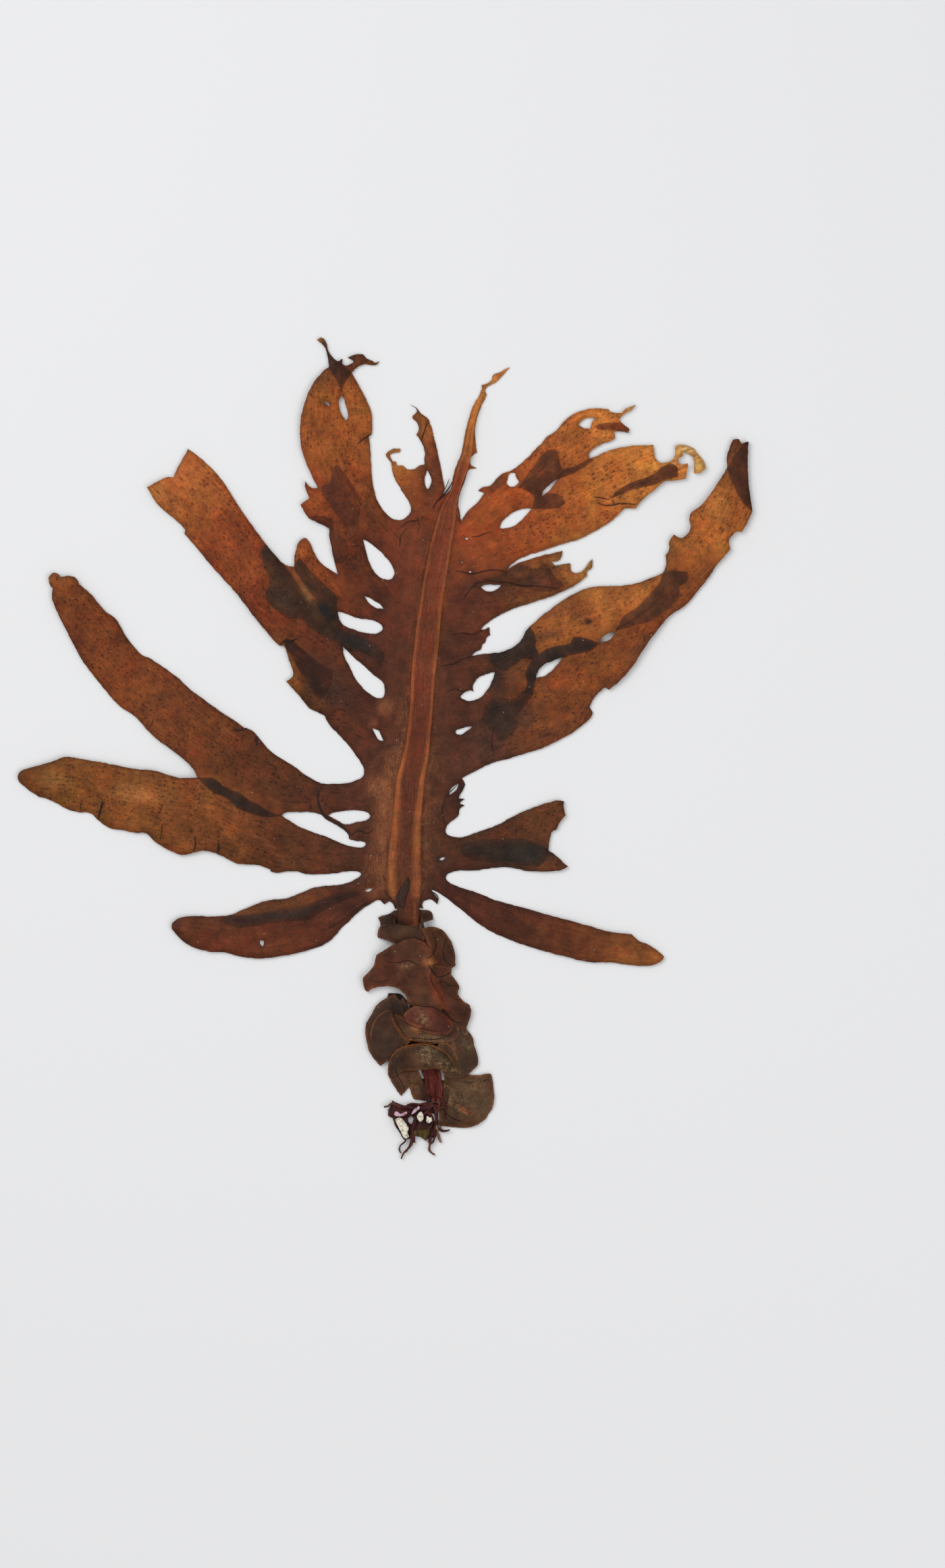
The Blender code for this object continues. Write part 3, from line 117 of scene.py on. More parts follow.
# Corners that an outline shares with the edge of an overlap
LEFT_CROSSING = (-54.2, -9.1)
LEFT_CROSSING_END = (-30.0, -20.0)
LOWER_PAIR = (-45.0, -48.9)
RIGHT_PAIR = (47.3, -30.0)
RIGHT_CROSSING = (80.2, 50.0)
SLIT_INNER, SLIT_OUTER = (61.7, 29.9), (66.8, 33.4)
EYE_LEFT, EYE_RIGHT = (43.5, 19.7), (51.4, 25.8)
UPPER_CROSSING = (58.8, 83.2)
SPLIT_LOW, SPLIT_HIGH = (45.2, 72.3), (50.7, 77.8)
LENS_RIGHT = (42.5, 68.9)
FOLD_TOP, FOLD_SIDE = (98.9, 80.4), (106.3, 68.0)
TIP_LEFT, TIP_RIGHT = (-16.2, 109.8), (-9.7, 108.2)
POINTED_LOBE = (-26.4, 51.9)
BROKEN_LOBE = (-29.2, 29.3)

# An outline is a list of runs. A run is a smooth curve that starts where the run before it ended, and runs
# meet in corners. This one goes clockwise round the whole blade from the left of the neck.
BLADE_EDGE = [
    # lowest left lobes
    [(2.2, -45.5), (1.2, -44.8)],
    [(-0.1, -45.7)],
    [(-1.5, -44.5), (-4.0, -45.4), (-8.0, -48.2), (-10.7, -50.9), (-12.7, -52.7), (-14.2, -54.6),
     (-17.4, -57.2), (-23.2, -59.3), (-30.0, -60.7), (-36.5, -61.4), (-42.0, -60.8), (-46.0, -59.7),
     (-50.8, -59.4), (-56.2, -57.8), (-59.0, -55.7), (-61.5, -52.9), (-61.6, -51.4), (-59.8, -49.8),
     (-56.0, -49.1), (-50.0, -49.3), LOWER_PAIR],
    [(-40.1, -46.9), (-34.5, -44.7), (-28.2, -43.9), (-25.0, -42.7), (-20.5, -40.9), (-15.0, -40.2),
     (-11.5, -39.7), (-8.5, -38.4), (-6.9, -37.0), (-8.3, -36.2), (-12.0, -36.3), (-16.0, -36.9),
     (-22.7, -36.9), (-25.4, -36.3), (-28.3, -36.2), (-31.0, -36.6), (-33.1, -36.3)],
    # long lower left lobe
    [(-33.3, -35.6)],
    [(-36.9, -34.3), (-40.4, -34.2), (-43.1, -33.8), (-46.0, -32.3), (-49.0, -30.8)],
    [(-53.0, -30.2), (-56.5, -31.1), (-59.0, -31.4), (-62.6, -29.9), (-66.0, -28.0), (-69.2, -25.1),
     (-71.7, -25.1), (-74.9, -24.4), (-79.7, -23.6), (-83.4, -20.9), (-84.6, -19.6), (-89.5, -18.9),
     (-91.5, -18.4), (-94.0, -17.0), (-98.0, -15.0), (-100.0, -14.6), (-103.5, -12.2), (-105.6, -10.5),
     (-106.2, -8.9), (-105.5, -7.3), (-102.0, -6.0), (-96.5, -4.5), (-92.6, -3.1), (-88.0, -3.6),
     (-84.0, -4.3), (-78.5, -5.3), (-72.0, -6.6), (-67.2, -6.9), (-62.5, -8.3), (-59.0, -9.1),
     LEFT_CROSSING],
    # long upper left lobe with a torn tip
    [(-55.6, -6.4), (-59.7, -2.5), (-64.7, 1.1), (-68.8, 4.8), (-72.0, 8.3), (-77.2, 12.1),
     (-81.8, 17.3), (-87.6, 25.0), (-91.1, 31.5), (-95.1, 39.6), (-96.3, 43.0), (-96.0, 45.6)],
    [(-96.9, 46.6), (-97.3, 48.8)],
    [(-95.9, 50.2), (-94.6, 49.9), (-93.8, 49.0)],
    [(-91.2, 49.3), (-89.5, 48.9), (-88.4, 46.9)],
    [(-84.9, 43.8), (-80.8, 39.0), (-78.0, 37.0), (-74.9, 31.9), (-70.5, 26.6), (-68.2, 25.6),
     (-60.0, 19.9), (-56.1, 16.3), (-51.5, 12.9), (-46.9, 9.6), (-42.0, 6.4), (-40.6, 5.3),
     (-38.6, 4.7), (-37.0, 3.0), (-35.0, 0.6), (-33.1, -1.5), (-27.0, -5.4), (-21.2, -9.4),
     (-18.0, -10.7), (-13.0, -10.8), (-9.5, -10.3), (-6.3, -8.6), (-6.0, -7.0), (-6.9, -4.9),
     (-9.2, -1.5), (-12.3, 2.3), (-15.4, 5.4), (-17.3, 7.9)],
    # short broken lobe
    [(-17.6, 9.0), (-20.0, 10.0), (-21.9, 11.1), (-25.0, 14.8), (-28.6, 18.8)],
    [(-26.8, 20.2), (-26.6, 21.8), (-27.4, 24.0), (-28.3, 26.9), BROKEN_LOBE],
    # broad left lobe
    [(-30.4, 29.0)],
    [(-32.3, 30.8), (-37.3, 36.9), (-43.1, 44.4), (-50.4, 52.5), (-55.0, 58.1), (-58.1, 61.7)],
    [(-57.7, 62.5), (-62.7, 67.3), (-65.8, 70.0), (-67.3, 72.3), (-68.8, 74.9)],
    [(-65.0, 77.1), (-62.7, 77.9), (-61.2, 77.8)],
    [(-60.0, 80.6), (-58.5, 83.3), (-57.0, 86.1)],
    [(-52.3, 82.5), (-47.7, 77.7), (-42.0, 69.0), (-37.7, 62.9), (-32.7, 56.3), (-29.5, 52.9),
     (-28.5, 52.4), POINTED_LOBE],
    # small pointed lobe
    [(-26.0, 55.5), (-24.9, 59.1), (-23.1, 60.3), (-21.9, 59.3), (-20.5, 56.0), (-18.8, 53.3),
     (-16.0, 51.2), (-13.7, 49.8)],
    # torn and folded lobe
    [(-15.0, 55.1), (-16.0, 60.0), (-16.2, 63.1)],
    [(-19.5, 64.8), (-22.3, 66.0)],
    [(-23.7, 68.5), (-24.5, 70.0)],
    [(-23.4, 70.7), (-22.0, 71.8)],
    [(-22.9, 74.3), (-23.2, 76.9)],
    [(-22.0, 75.4), (-21.1, 74.7)],
    [(-19.4, 74.9)],
    # tall upper lobe with a curled and torn tip
    [(-21.3, 78.6), (-23.6, 84.0), (-24.5, 89.0), (-24.3, 95.2), (-23.0, 100.0), (-21.0, 104.6),
     (-18.1, 108.3), TIP_LEFT],
    [(-16.7, 113.0), (-17.4, 115.5), (-19.7, 117.7)],
    [(-18.4, 118.3), (-17.6, 118.0)],
    [(-16.8, 116.4), (-16.4, 114.3), (-15.4, 112.9), (-13.8, 111.5), (-12.2, 112.2)],
    [(-12.4, 110.8), (-11.4, 110.2), (-9.9, 110.6), (-9.1, 111.4), (-10.9, 112.5)],
    [(-8.5, 113.4), (-6.4, 113.5)],
    [(-5.1, 112.1), (-3.5, 111.6), (-2.7, 111.0), (-1.6, 111.5)],
    [(-2.5, 110.4), (-4.0, 110.4), (-6.5, 110.5), (-8.7, 109.2), TIP_RIGHT],
    [(-7.3, 104.1), (-5.3, 100.0), (-3.9, 96.4), (-3.8, 90.4)],
    [(-4.5, 89.8), (-4.2, 85.0), (-3.7, 77.0), (-2.6, 72.0), (-0.5, 68.3), (2.3, 65.8), (4.8, 65.5),
     (7.0, 67.2), (7.4, 69.4), (5.0, 73.8), (2.6, 78.0), (1.7, 81.9)],
    # broken lobes beside the tip of the midrib
    [(0.3, 84.2), (0.9, 85.3), (2.8, 86.2), (4.4, 86.1)],
    [(4.2, 85.2), (2.5, 84.9), (1.4, 84.2), (2.2, 82.4)],
    [(3.1, 82.5), (3.5, 81.2)],
    [(5.4, 81.2), (6.5, 80.2), (8.5, 80.2), (10.0, 81.3), (11.4, 81.5)],
    [(11.3, 86.2), (10.3, 88.5), (9.0, 90.2)],
    [(9.8, 91.7), (9.2, 93.8), (7.9, 95.4), (9.2, 96.9), (8.8, 97.9)],
    [(7.2, 98.8)],
    [(9.0, 98.0), (10.3, 96.5), (12.6, 94.7)],
    [(13.7, 91.5), (14.8, 86.9), (15.8, 82.3), (16.9, 76.5), (17.2, 75.2), (16.5, 72.3)],
    # tip of the midrib, with the flake past its end
    [(18.8, 74.2), (20.0, 79.6), (22.1, 85.0), (23.5, 92.3), (25.6, 98.8), (27.3, 101.8),
     (28.0, 103.2), (27.9, 104.4)],
    [(30.8, 105.9), (31.2, 107.3), (33.8, 108.6), (36.0, 109.8)],
    [(33.5, 106.7), (31.7, 105.2), (29.3, 103.9), (29.0, 102.9), (29.4, 101.8)],
    [(27.7, 98.1), (26.5, 94.6), (26.0, 91.5), (26.2, 88.5), (26.6, 85.2)],
    [(25.0, 83.8), (24.8, 81.5), (26.5, 80.6)],
    [(24.2, 80.0), (23.1, 76.9), (21.9, 73.8), (21.2, 70.8), (21.2, 67.7), (22.1, 65.2)],
    # upper right lobe
    [(23.8, 68.0), (26.2, 70.0), (28.8, 73.4)],
    [(26.9, 74.0)],
    [(28.4, 75.0), (30.6, 75.6), (32.2, 77.3), (34.0, 79.0), (36.0, 79.6), (37.5, 80.4), (41.0, 83.3),
     (44.5, 87.0), (47.1, 89.8), (49.4, 91.3), (51.9, 94.2), (55.0, 96.4), (59.0, 97.6), (62.0, 97.8),
     (64.8, 97.5)],
    [(65.2, 96.8), (68.4, 96.5)],
    [(69.4, 97.6), (72.8, 98.9)],
    [(71.5, 97.5), (69.6, 96.4), (68.6, 95.6)],
    [(67.8, 94.6), (69.2, 92.8), (70.8, 91.8)],
    [(70.3, 90.6)],
    [(68.8, 91.1), (66.2, 91.0)],
    [(66.6, 89.4), (65.0, 88.2), (63.0, 87.6), (61.0, 86.5), (59.5, 85.3), UPPER_CROSSING],
    # second right lobe
    [(61.5, 84.1), (64.0, 85.3), (70.0, 86.8), (77.7, 87.2)],
    [(77.8, 85.2), (78.2, 83.2), (79.5, 82.2), (81.5, 82.2), (83.0, 82.8)],
    [(83.9, 84.5), (83.9, 86.7), (84.7, 87.2), (88.0, 86.8), (89.4, 86.1)],
    [(90.6, 84.4), (92.0, 82.8), (92.8, 80.5)],
    [(91.0, 79.0), (89.2, 79.0)],
    [(89.4, 81.5), (89.0, 83.9), (88.1, 84.3)],
    [(86.2, 85.2)],
    [(86.2, 84.2), (85.0, 83.4)],
    [(84.8, 82.2), (85.4, 81.5), (87.6, 82.0)],
    [(87.4, 79.5), (86.9, 77.4)],
    [(83.3, 76.9), (80.8, 76.5), (78.0, 74.3), (75.0, 71.8), (72.3, 68.8)],
    [(69.2, 68.8)],
    [(65.0, 64.9), (60.0, 61.9), (55.3, 59.7), (50.8, 58.4), (46.1, 56.8), (40.0, 54.8), (36.5, 52.6),
     (35.1, 50.8)],
    # torn right lobe
    [(37.9, 52.8), (43.1, 54.5), (51.2, 56.6)],
    [(50.9, 54.6), (50.0, 53.7), (48.2, 53.4)],
    [(49.0, 52.4), (51.0, 52.6), (53.5, 52.9)],
    [(53.8, 50.8), (55.4, 50.1), (57.2, 50.8), (58.8, 53.0), (60.0, 54.2)],
    [(59.8, 51.6), (58.4, 50.6), (58.5, 49.4)],
    [(55.5, 47.0), (49.6, 44.0), (42.3, 41.5), (36.5, 39.6), (31.5, 37.0), (28.3, 34.6), (27.7, 33.8)],
    [(28.7, 33.8), (30.1, 34.5)],
    [(30.4, 32.2)],
    [(29.5, 31.6), (29.0, 30.1), (28.3, 29.6), (27.7, 28.0)],
    [(26.0, 27.2), (24.8, 26.0)],
    # broad right lobes that cross
    [(28.1, 26.7), (33.1, 27.2), (36.8, 28.6), (39.2, 30.5), (41.2, 33.9), (44.5, 37.0), (49.0, 40.5),
     (54.0, 43.8), (59.0, 45.9), (64.0, 46.4), (69.0, 46.5), (73.5, 47.4), RIGHT_CROSSING],
    [(81.3, 52.2), (81.1, 55.2)],
    [(82.2, 57.0), (82.2, 59.2), (83.6, 61.3)],
    [(85.3, 60.2), (87.3, 61.3), (88.4, 63.3), (88.0, 65.3), (88.3, 67.4), (91.0, 69.4), (94.6, 73.8),
     FOLD_TOP],
    [(98.9, 84.0), (99.6, 86.3), (100.8, 88.7), (102.4, 88.8), (103.0, 87.5)],
    [(105.1, 88.2)],
    [(104.9, 82.0), (105.2, 75.0), FOLD_SIDE],
    [(104.6, 64.3), (103.2, 62.0)],
    [(101.2, 61.8), (99.4, 59.3), (100.0, 57.0)],
    [(96.1, 52.5), (93.5, 48.8), (90.5, 45.0), (87.0, 40.9), (82.3, 37.7), (78.7, 33.5), (74.8, 28.2),
     (72.1, 23.8), (69.5, 20.6), (67.0, 18.0)],
    [(64.7, 16.5)],
    [(63.7, 17.0), (61.3, 15.0), (59.6, 12.5), (59.2, 11.2), (60.1, 9.7), (59.2, 8.1), (55.0, 4.5),
     (49.9, 1.6), (45.0, -0.7), (40.0, -2.2), (35.8, -3.5), (30.8, -4.9), (24.6, -7.9), (22.2, -9.2)],
    # torn stub
    [(23.2, -11.0)],
    [(22.5, -12.7), (21.2, -15.1)],
    [(23.1, -15.3)],
    [(21.6, -16.4), (23.0, -17.0)],
    [(21.5, -18.3), (21.3, -20.0), (19.2, -21.7), (17.7, -23.2), (17.5, -24.8), (18.6, -25.8),
     (22.1, -26.3), (26.2, -25.0), (31.9, -23.0), (36.5, -20.6), (42.3, -17.9), (47.7, -16.1),
     (49.5, -15.6), (51.8, -15.8)],
    # two pointed lobes, one over the other
    [(51.7, -17.5), (52.2, -20.0)],
    [(50.4, -22.1), (49.6, -24.1)],
    [(48.2, -24.9), (47.5, -27.5), RIGHT_PAIR],
    [(50.4, -32.5), (53.0, -34.8)],
    [(50.0, -36.0), (44.0, -36.2), (40.0, -35.9), (35.8, -35.0), (31.2, -35.2), (26.9, -35.8),
     (20.0, -36.2), (17.8, -37.2), (17.6, -38.4), (20.0, -40.1), (26.9, -42.5), (32.7, -44.8),
     (38.5, -46.3), (46.2, -48.5), (54.6, -50.7), (61.0, -52.6), (65.0, -53.7), (71.4, -54.4)],
    # lowest right lobe
    [(73.2, -56.2), (76.5, -57.5), (79.1, -59.5), (80.7, -60.8), (79.8, -62.2), (77.0, -63.4),
     (70.0, -63.2), (65.0, -62.5), (59.7, -62.5), (52.0, -60.8), (45.0, -59.0), (36.9, -56.3),
     (31.5, -54.0), (26.9, -51.2), (22.0, -47.2), (18.5, -44.4), (14.9, -42.0), (13.3, -41.5)],
    # torn curl and neck
    [(14.4, -42.9), (15.3, -44.2), (15.1, -45.7)],
    [(14.3, -44.9), (12.8, -44.3), (11.4, -44.6), (10.8, -45.8), (11.0, -46.8)],
    [(2.9, -46.9)],
]

# Gaps between lobes that close again, and holes torn in them
BLADE_HOLES = [
    # under the long upper left lobe
    [[(-28.8, -19.2), (-25.4, -19.0), (-21.2, -19.1), (-18.6, -19.7)],
     [(-17.0, -21.1), (-15.0, -22.3), (-12.7, -23.3), (-11.5, -24.6), (-10.6, -25.6), (-10.6, -26.7),
      (-8.8, -27.3), (-6.0, -27.7), (-5.5, -28.4), (-6.7, -29.3), (-10.8, -28.7), (-16.2, -26.5),
      (-20.0, -25.2), (-25.0, -23.1), LEFT_CROSSING_END]],
    [[(-15.0, -19.3), (-12.3, -18.7), (-8.1, -18.5), (-5.0, -19.2), (-4.3, -20.2), (-5.2, -21.2),
      (-8.1, -21.9), (-11.2, -22.6), (-13.8, -21.4), (-16.5, -20.0)]],
    # left of the midrib, from the base up
    [[(-1.9, 4.6), (-1.2, 3.1), (-0.4, 1.6)], [(-1.6, 1.8), (-2.7, 3.1), (-3.7, 5.3)]],
    [[(-9.6, 26.2), (-6.5, 23.7), (-3.5, 20.8), (-0.6, 18.5), (-0.1, 17.1), (-0.3, 14.8), (-1.2, 13.9),
      (-2.3, 14.0), (-5.0, 15.6), (-7.3, 17.9), (-9.2, 20.8), (-10.4, 23.5), (-11.7, 25.8),
      (-12.3, 29.0)]],
    [[(-11.2, 38.4), (-8.5, 37.3), (-5.0, 36.7), (-2.3, 36.0), (-0.6, 34.4), (-1.5, 33.0),
      (-3.9, 32.6), (-6.5, 33.0), (-9.6, 34.0), (-11.9, 35.0), (-13.3, 36.9), (-13.7, 39.0)]],
    [[(-3.5, 42.4), (-1.5, 41.1), (-0.5, 39.8)], [(-2.3, 39.9), (-4.2, 41.1), (-6.0, 43.6)]],
    [[(-4.5, 59.0), (-2.0, 57.0), (0.0, 55.0), (2.0, 52.4), (2.8, 50.0), (1.8, 48.5), (-0.1, 48.4),
      (-1.9, 49.2), (-3.6, 51.2), (-5.0, 54.5), (-6.4, 60.0)]],
    [[(-11.7, 100.3), (-11.4, 98.7), (-10.8, 96.6), (-10.7, 95.0), (-11.4, 94.3), (-12.2, 95.4),
      (-13.1, 97.6), (-13.4, 99.6), (-12.5, 101.6)]],
    [[(12.7, 79.0), (13.4, 77.3), (13.3, 75.8), (12.3, 74.3)], [(11.6, 75.6), (11.5, 77.8), (12.1, 80.0)]],
    # right of the midrib, from the top down
    [[(36.0, 75.3), (37.5, 75.2), (38.7, 76.5), (37.9, 78.1), (37.6, 79.2)],
     [(36.3, 79.0), (35.6, 78.0), (35.1, 76.2)]],
    [[(56.9, 94.2), (58.5, 95.1), (60.8, 95.1)], [(60.0, 93.8), (59.3, 91.9)], [(57.4, 92.1),
      (56.0, 93.1)]],
    [[(46.0, 74.2), (47.7, 75.9), SPLIT_HIGH], [(49.0, 76.0), (47.3, 73.9), SPLIT_LOW]],
    [[(33.7, 64.9), (36.3, 67.3), (39.0, 68.6), LENS_RIGHT], [(40.0, 65.9), (37.6, 64.0), (35.0, 63.1),
      (33.2, 63.2)]],
    [[(28.6, 46.6), (31.0, 46.8), (33.8, 46.7)], [(32.2, 45.3), (30.4, 44.8), (28.8, 45.1), (27.7, 46.1)]],
    [[(44.1, 21.4), (46.0, 23.6), (48.6, 24.8), EYE_RIGHT], [(49.4, 23.2), (46.4, 20.5), EYE_LEFT]],
    [[(63.4, 32.0), SLIT_OUTER], [(64.8, 30.9), SLIT_INNER]],  # wider than in the CAD
    [[(29.6, 21.0), (27.3, 20.0), (26.0, 18.8), (25.4, 17.2), (25.6, 15.8)], [(24.4, 16.2),
      (22.6, 15.3), (21.8, 14.4), (22.8, 13.5), (25.0, 13.2), (27.3, 14.0), (29.4, 16.0), (31.0, 19.0),
      (31.8, 21.6)]],
    [[(22.6, 5.4), (25.3, 5.8)], [(23.6, 4.2), (21.5, 3.3), (20.4, 3.9), (20.6, 4.7)]],
    [[(19.2, -12.2), (21.3, -10.6)], [(20.9, -12.2), (19.8, -13.4), (18.6, -14.1), (18.4, -13.3)]],
    [[(16.4, -32.2), (17.5, -32.2)], [(16.6, -32.9), (15.5, -32.8)]],
    # in the lowest left lobes
    [[(-4.8, -41.2), (-3.4, -41.2)], [(-4.6, -42.0), (-5.9, -41.8)]],
    [[(-35.1, -56.2), (-35.3, -57.9)], [(-36.1, -57.2), (-36.2, -56.2)]],
]

# Where one lobe lies over another or is folded back, as (height in layers, outline)
BLADE_OVERLAPS = [
    # long left lobes
    (1, [[(-51.2, -9.1), (-49.6, -9.4), (-47.3, -10.8), (-44.6, -12.7), (-42.3, -13.3), (-39.6, -15.4),
          (-36.5, -16.9), (-34.2, -18.6), LEFT_CROSSING_END],
         [(-34.6, -20.4), (-38.9, -19.2), (-41.9, -18.1), (-43.9, -16.5), (-45.8, -14.8),
          (-48.5, -13.9), (-51.2, -12.1), LEFT_CROSSING]]),
    # lowest left lobes
    (1, [[(-47.0, -49.6), (-47.4, -50.5), (-45.2, -51.7), (-40.1, -52.3), (-34.9, -51.3),
          (-28.5, -50.6), (-22.0, -49.8), (-17.8, -47.3), (-11.3, -44.2), (-7.0, -42.7)],
         [(-10.4, -42.1), (-15.0, -43.1), (-20.0, -44.8), (-25.0, -46.6), (-30.1, -47.6),
          (-34.9, -48.2), (-40.1, -48.9), LOWER_PAIR]]),
    # short broken lobe under the broad one
    (1, [[(-28.6, 31.2), (-27.3, 30.8), (-23.8, 28.1), (-19.2, 24.2), (-15.5, 22.0)],
         [(-15.5, 19.0), (-17.0, 15.5), (-19.0, 13.2)],
         [(-21.5, 17.3), (-25.2, 22.6), (-27.0, 26.0), BROKEN_LOBE]]),
    # broad left lobe over the small pointed one
    (1, [[(-35.3, 57.0), (-35.2, 53.0), (-34.0, 50.0), (-33.3, 47.0), (-34.4, 44.6), (-33.8, 41.9),
          (-28.0, 37.3), (-24.2, 37.0), (-21.5, 34.2), (-16.5, 31.2), (-13.2, 29.9), (-12.2, 27.6)],
         [(-9.0, 27.6), (-5.5, 26.8), (-3.0, 25.5), (-1.4, 23.0)],
         [(-0.6, 26.0), (-1.6, 28.6), (-6.2, 31.2), (-10.0, 32.3), (-12.3, 34.0), (-12.6, 37.0),
          (-13.9, 40.0), (-14.2, 43.5), (-18.1, 47.3), (-22.3, 51.5), (-24.8, 54.5)],
         [POINTED_LOBE],
         [(-24.8, 49.2), (-21.3, 44.2), (-19.4, 42.3)],
         [(-22.3, 43.1), (-26.2, 48.5), (-29.5, 52.9)],
         [(-33.0, 59.5)]]),
    # torn and folded lobe
    (1, [[(-18.1, 75.3), (-16.2, 75.9), (-15.2, 78.0), (-15.8, 81.4)],
         [(-14.6, 80.3), (-13.8, 81.6)],
         [(-11.2, 78.0), (-8.5, 74.3), (-7.3, 70.0), (-7.8, 65.8), (-8.3, 61.8), (-10.9, 59.3)],
         [(-11.3, 63.7), (-14.6, 67.9), (-17.4, 72.1), (-18.4, 74.2)]]),
    (1, [[(-20.7, 66.4), (-17.4, 66.4), (-15.5, 65.7), (-14.6, 62.4), (-11.5, 59.7)],
         [(-11.0, 55.5), (-12.8, 53.2), (-16.5, 53.0)],
         [(-17.2, 63.0), (-22.8, 65.2)]]),
    # folded tip of the tall upper lobe
    (1, [[(-15.0, 107.4), (-13.8, 105.6), (-12.6, 102.6)],
         [(-11.7, 105.4), TIP_RIGHT],
         [(-11.4, 109.5), (-12.7, 110.9), (-15.0, 110.6), TIP_LEFT]]),
    # upper right lobe and the flap folded over it
    (1, [[(40.8, 74.2), (43.3, 71.8), LENS_RIGHT],
         [(46.2, 68.7), (50.0, 69.2), (51.9, 70.6), (50.4, 72.7), (47.8, 73.2), SPLIT_LOW],
         [SPLIT_HIGH],
         [(53.5, 78.7), (57.9, 81.2), (60.2, 83.0)],
         [UPPER_CROSSING],
         [(55.7, 81.2), (51.0, 79.9)],
         [(50.1, 83.5), (49.4, 86.0)],
         [(46.6, 85.2), (44.2, 82.7), (40.0, 76.9), (38.4, 74.8)]]),
    (1, [[(61.2, 92.9), (64.0, 93.5), (67.9, 93.6), (71.5, 92.6)],
         [(71.0, 90.0)],
         [(67.0, 91.4), (61.2, 91.7)]]),
    # fold along the second right lobe
    (1, [[(67.8, 74.2), (71.4, 76.3), (77.7, 78.7), (79.7, 80.5), (82.4, 82.0)],
         [(84.3, 81.0), (84.8, 77.9)],
         [(81.5, 77.4), (78.1, 75.8), (72.3, 74.5), (66.9, 72.4), (64.8, 71.6)]]),
    # torn right lobe over the one below
    (1, [[(26.9, 47.9), (30.0, 48.3), (33.1, 49.2), (36.2, 50.9), (39.0, 52.6), (43.5, 51.2),
          (45.6, 52.3), (47.6, 51.6), (48.6, 49.6), (51.6, 46.6)],
         [(49.2, 45.4), (45.0, 44.9), (38.5, 46.4), (33.2, 46.4)],
         [(29.0, 45.9), (25.4, 46.2)]]),
    # root of the broad right lobes
    (1, [[(36.0, 29.3), (39.6, 32.2), (41.2, 35.4)],
         [(43.2, 32.4), (43.5, 28.5), (44.4, 27.4)],
         [(43.4, 25.2), (39.6, 25.3), (35.0, 22.1), (33.0, 22.3), (30.6, 24.4), (30.6, 27.9)]]),
    (1, [[(56.5, 31.6), (54.6, 31.5), (53.4, 29.8), (47.7, 28.5), (44.0, 26.3), (41.9, 23.8),
          (40.8, 21.0), (41.1, 18.5), (40.3, 16.3), (37.0, 13.6), (33.8, 13.9), (31.0, 13.4),
          (29.0, 11.2), (28.0, 7.8)],
         [(30.8, 4.4), (33.4, 1.2)],
         [(35.6, 3.0), (38.4, 6.6), (37.2, 8.3), (39.5, 10.8), (42.2, 14.4), EYE_LEFT],
         [EYE_RIGHT],
         [(55.0, 26.7), (59.3, 27.8), SLIT_INNER]]),
    # broad right lobe crossing the largest one
    (1, [[(82.3, 50.7), (84.5, 50.8), (87.5, 50.3)],
         [(87.4, 48.6), (86.7, 47.2), (84.9, 46.6)],
         [(84.9, 43.8), (83.3, 41.3), (80.4, 38.7), (76.5, 36.2), (72.5, 35.2), SLIT_OUTER],
         [(68.9, 37.5), (72.7, 40.0), (76.2, 43.5), (79.3, 47.2), RIGHT_CROSSING]]),
    # edge of the largest lobe folded back
    (1, [[(100.1, 76.9), (101.9, 73.3), (104.0, 69.8), FOLD_SIDE],
         [(107.5, 78.0), (106.5, 90.0)],
         [(103.4, 87.0), (101.0, 83.7), FOLD_TOP]]),
    # two pointed lobes
    (1, [[(46.6, -31.5), (45.8, -33.4), (44.6, -34.6)],
         [(40.0, -34.2), (36.0, -33.4), (31.0, -33.4), (26.0, -32.8), (21.6, -30.6)],
         [(23.0, -28.3), (28.0, -27.2), (34.6, -26.9), (40.8, -27.1), RIGHT_PAIR]]),
]

# Midrib, then stipe, from the tip down: (Y, left edge, right edge)
MIDRIB_STATIONS = [
    (99.0, 26.4, 27.5), (94.6, 24.7, 26.1), (90.0, 23.7, 25.6), (85.0, 22.7, 25.2), (80.0, 20.8, 23.9),
    (75.0, 19.5, 22.0), (70.0, 16.6, 20.8), (65.0, 14.8, 20.6), (60.0, 13.3, 19.7), (50.0, 11.3, 18.1),
    (40.0, 9.6, 16.6), (30.0, 8.3, 15.8), (20.0, 7.4, 14.7), (10.0, 6.9, 14.0), (0.0, 5.6, 13.1),
    (-5.0, 4.3, 12.6), (-10.0, 2.9, 11.6), (-20.0, 2.0, 10.8), (-30.0, 0.8, 10.6), (-38.0, 0.2, 10.8),
    (-43.0, 0.9, 10.4), (-46.0, 3.3, 9.9), (-50.0, 3.4, 9.9), (-56.0, 4.0, 10.2), (-66.0, 5.6, 11.6),
    (-78.0, 7.6, 13.0), (-90.0, 9.8, 14.8), (-96.0, 11.4, 16.2), (-102.8, 12.0, 16.7),
]
# Across the midrib: a ridge along each side and a shallow trough between them
MIDRIB_PROFILE = [(1.0, 0.35), (0.9, 0.86), (0.68, 1.0), (0.4, 0.7), (0.0, 0.6), (-0.4, 0.7), (-0.68, 1.0),
                  (-0.9, 0.86), (-1.0, 0.35)]
MIDRIB_LANDS_AT = -54.0
MIDRIB_LEAVES_AT = -47.0
MIDRIB_TIP_TAPER = 25.0
CLUSTER_OPENS_AT, CLUSTER_CLOSES_AT = -99.5, -95.0
NECK_OPENS_AT, NECK_CLOSES_AT = -48.5, -50.6

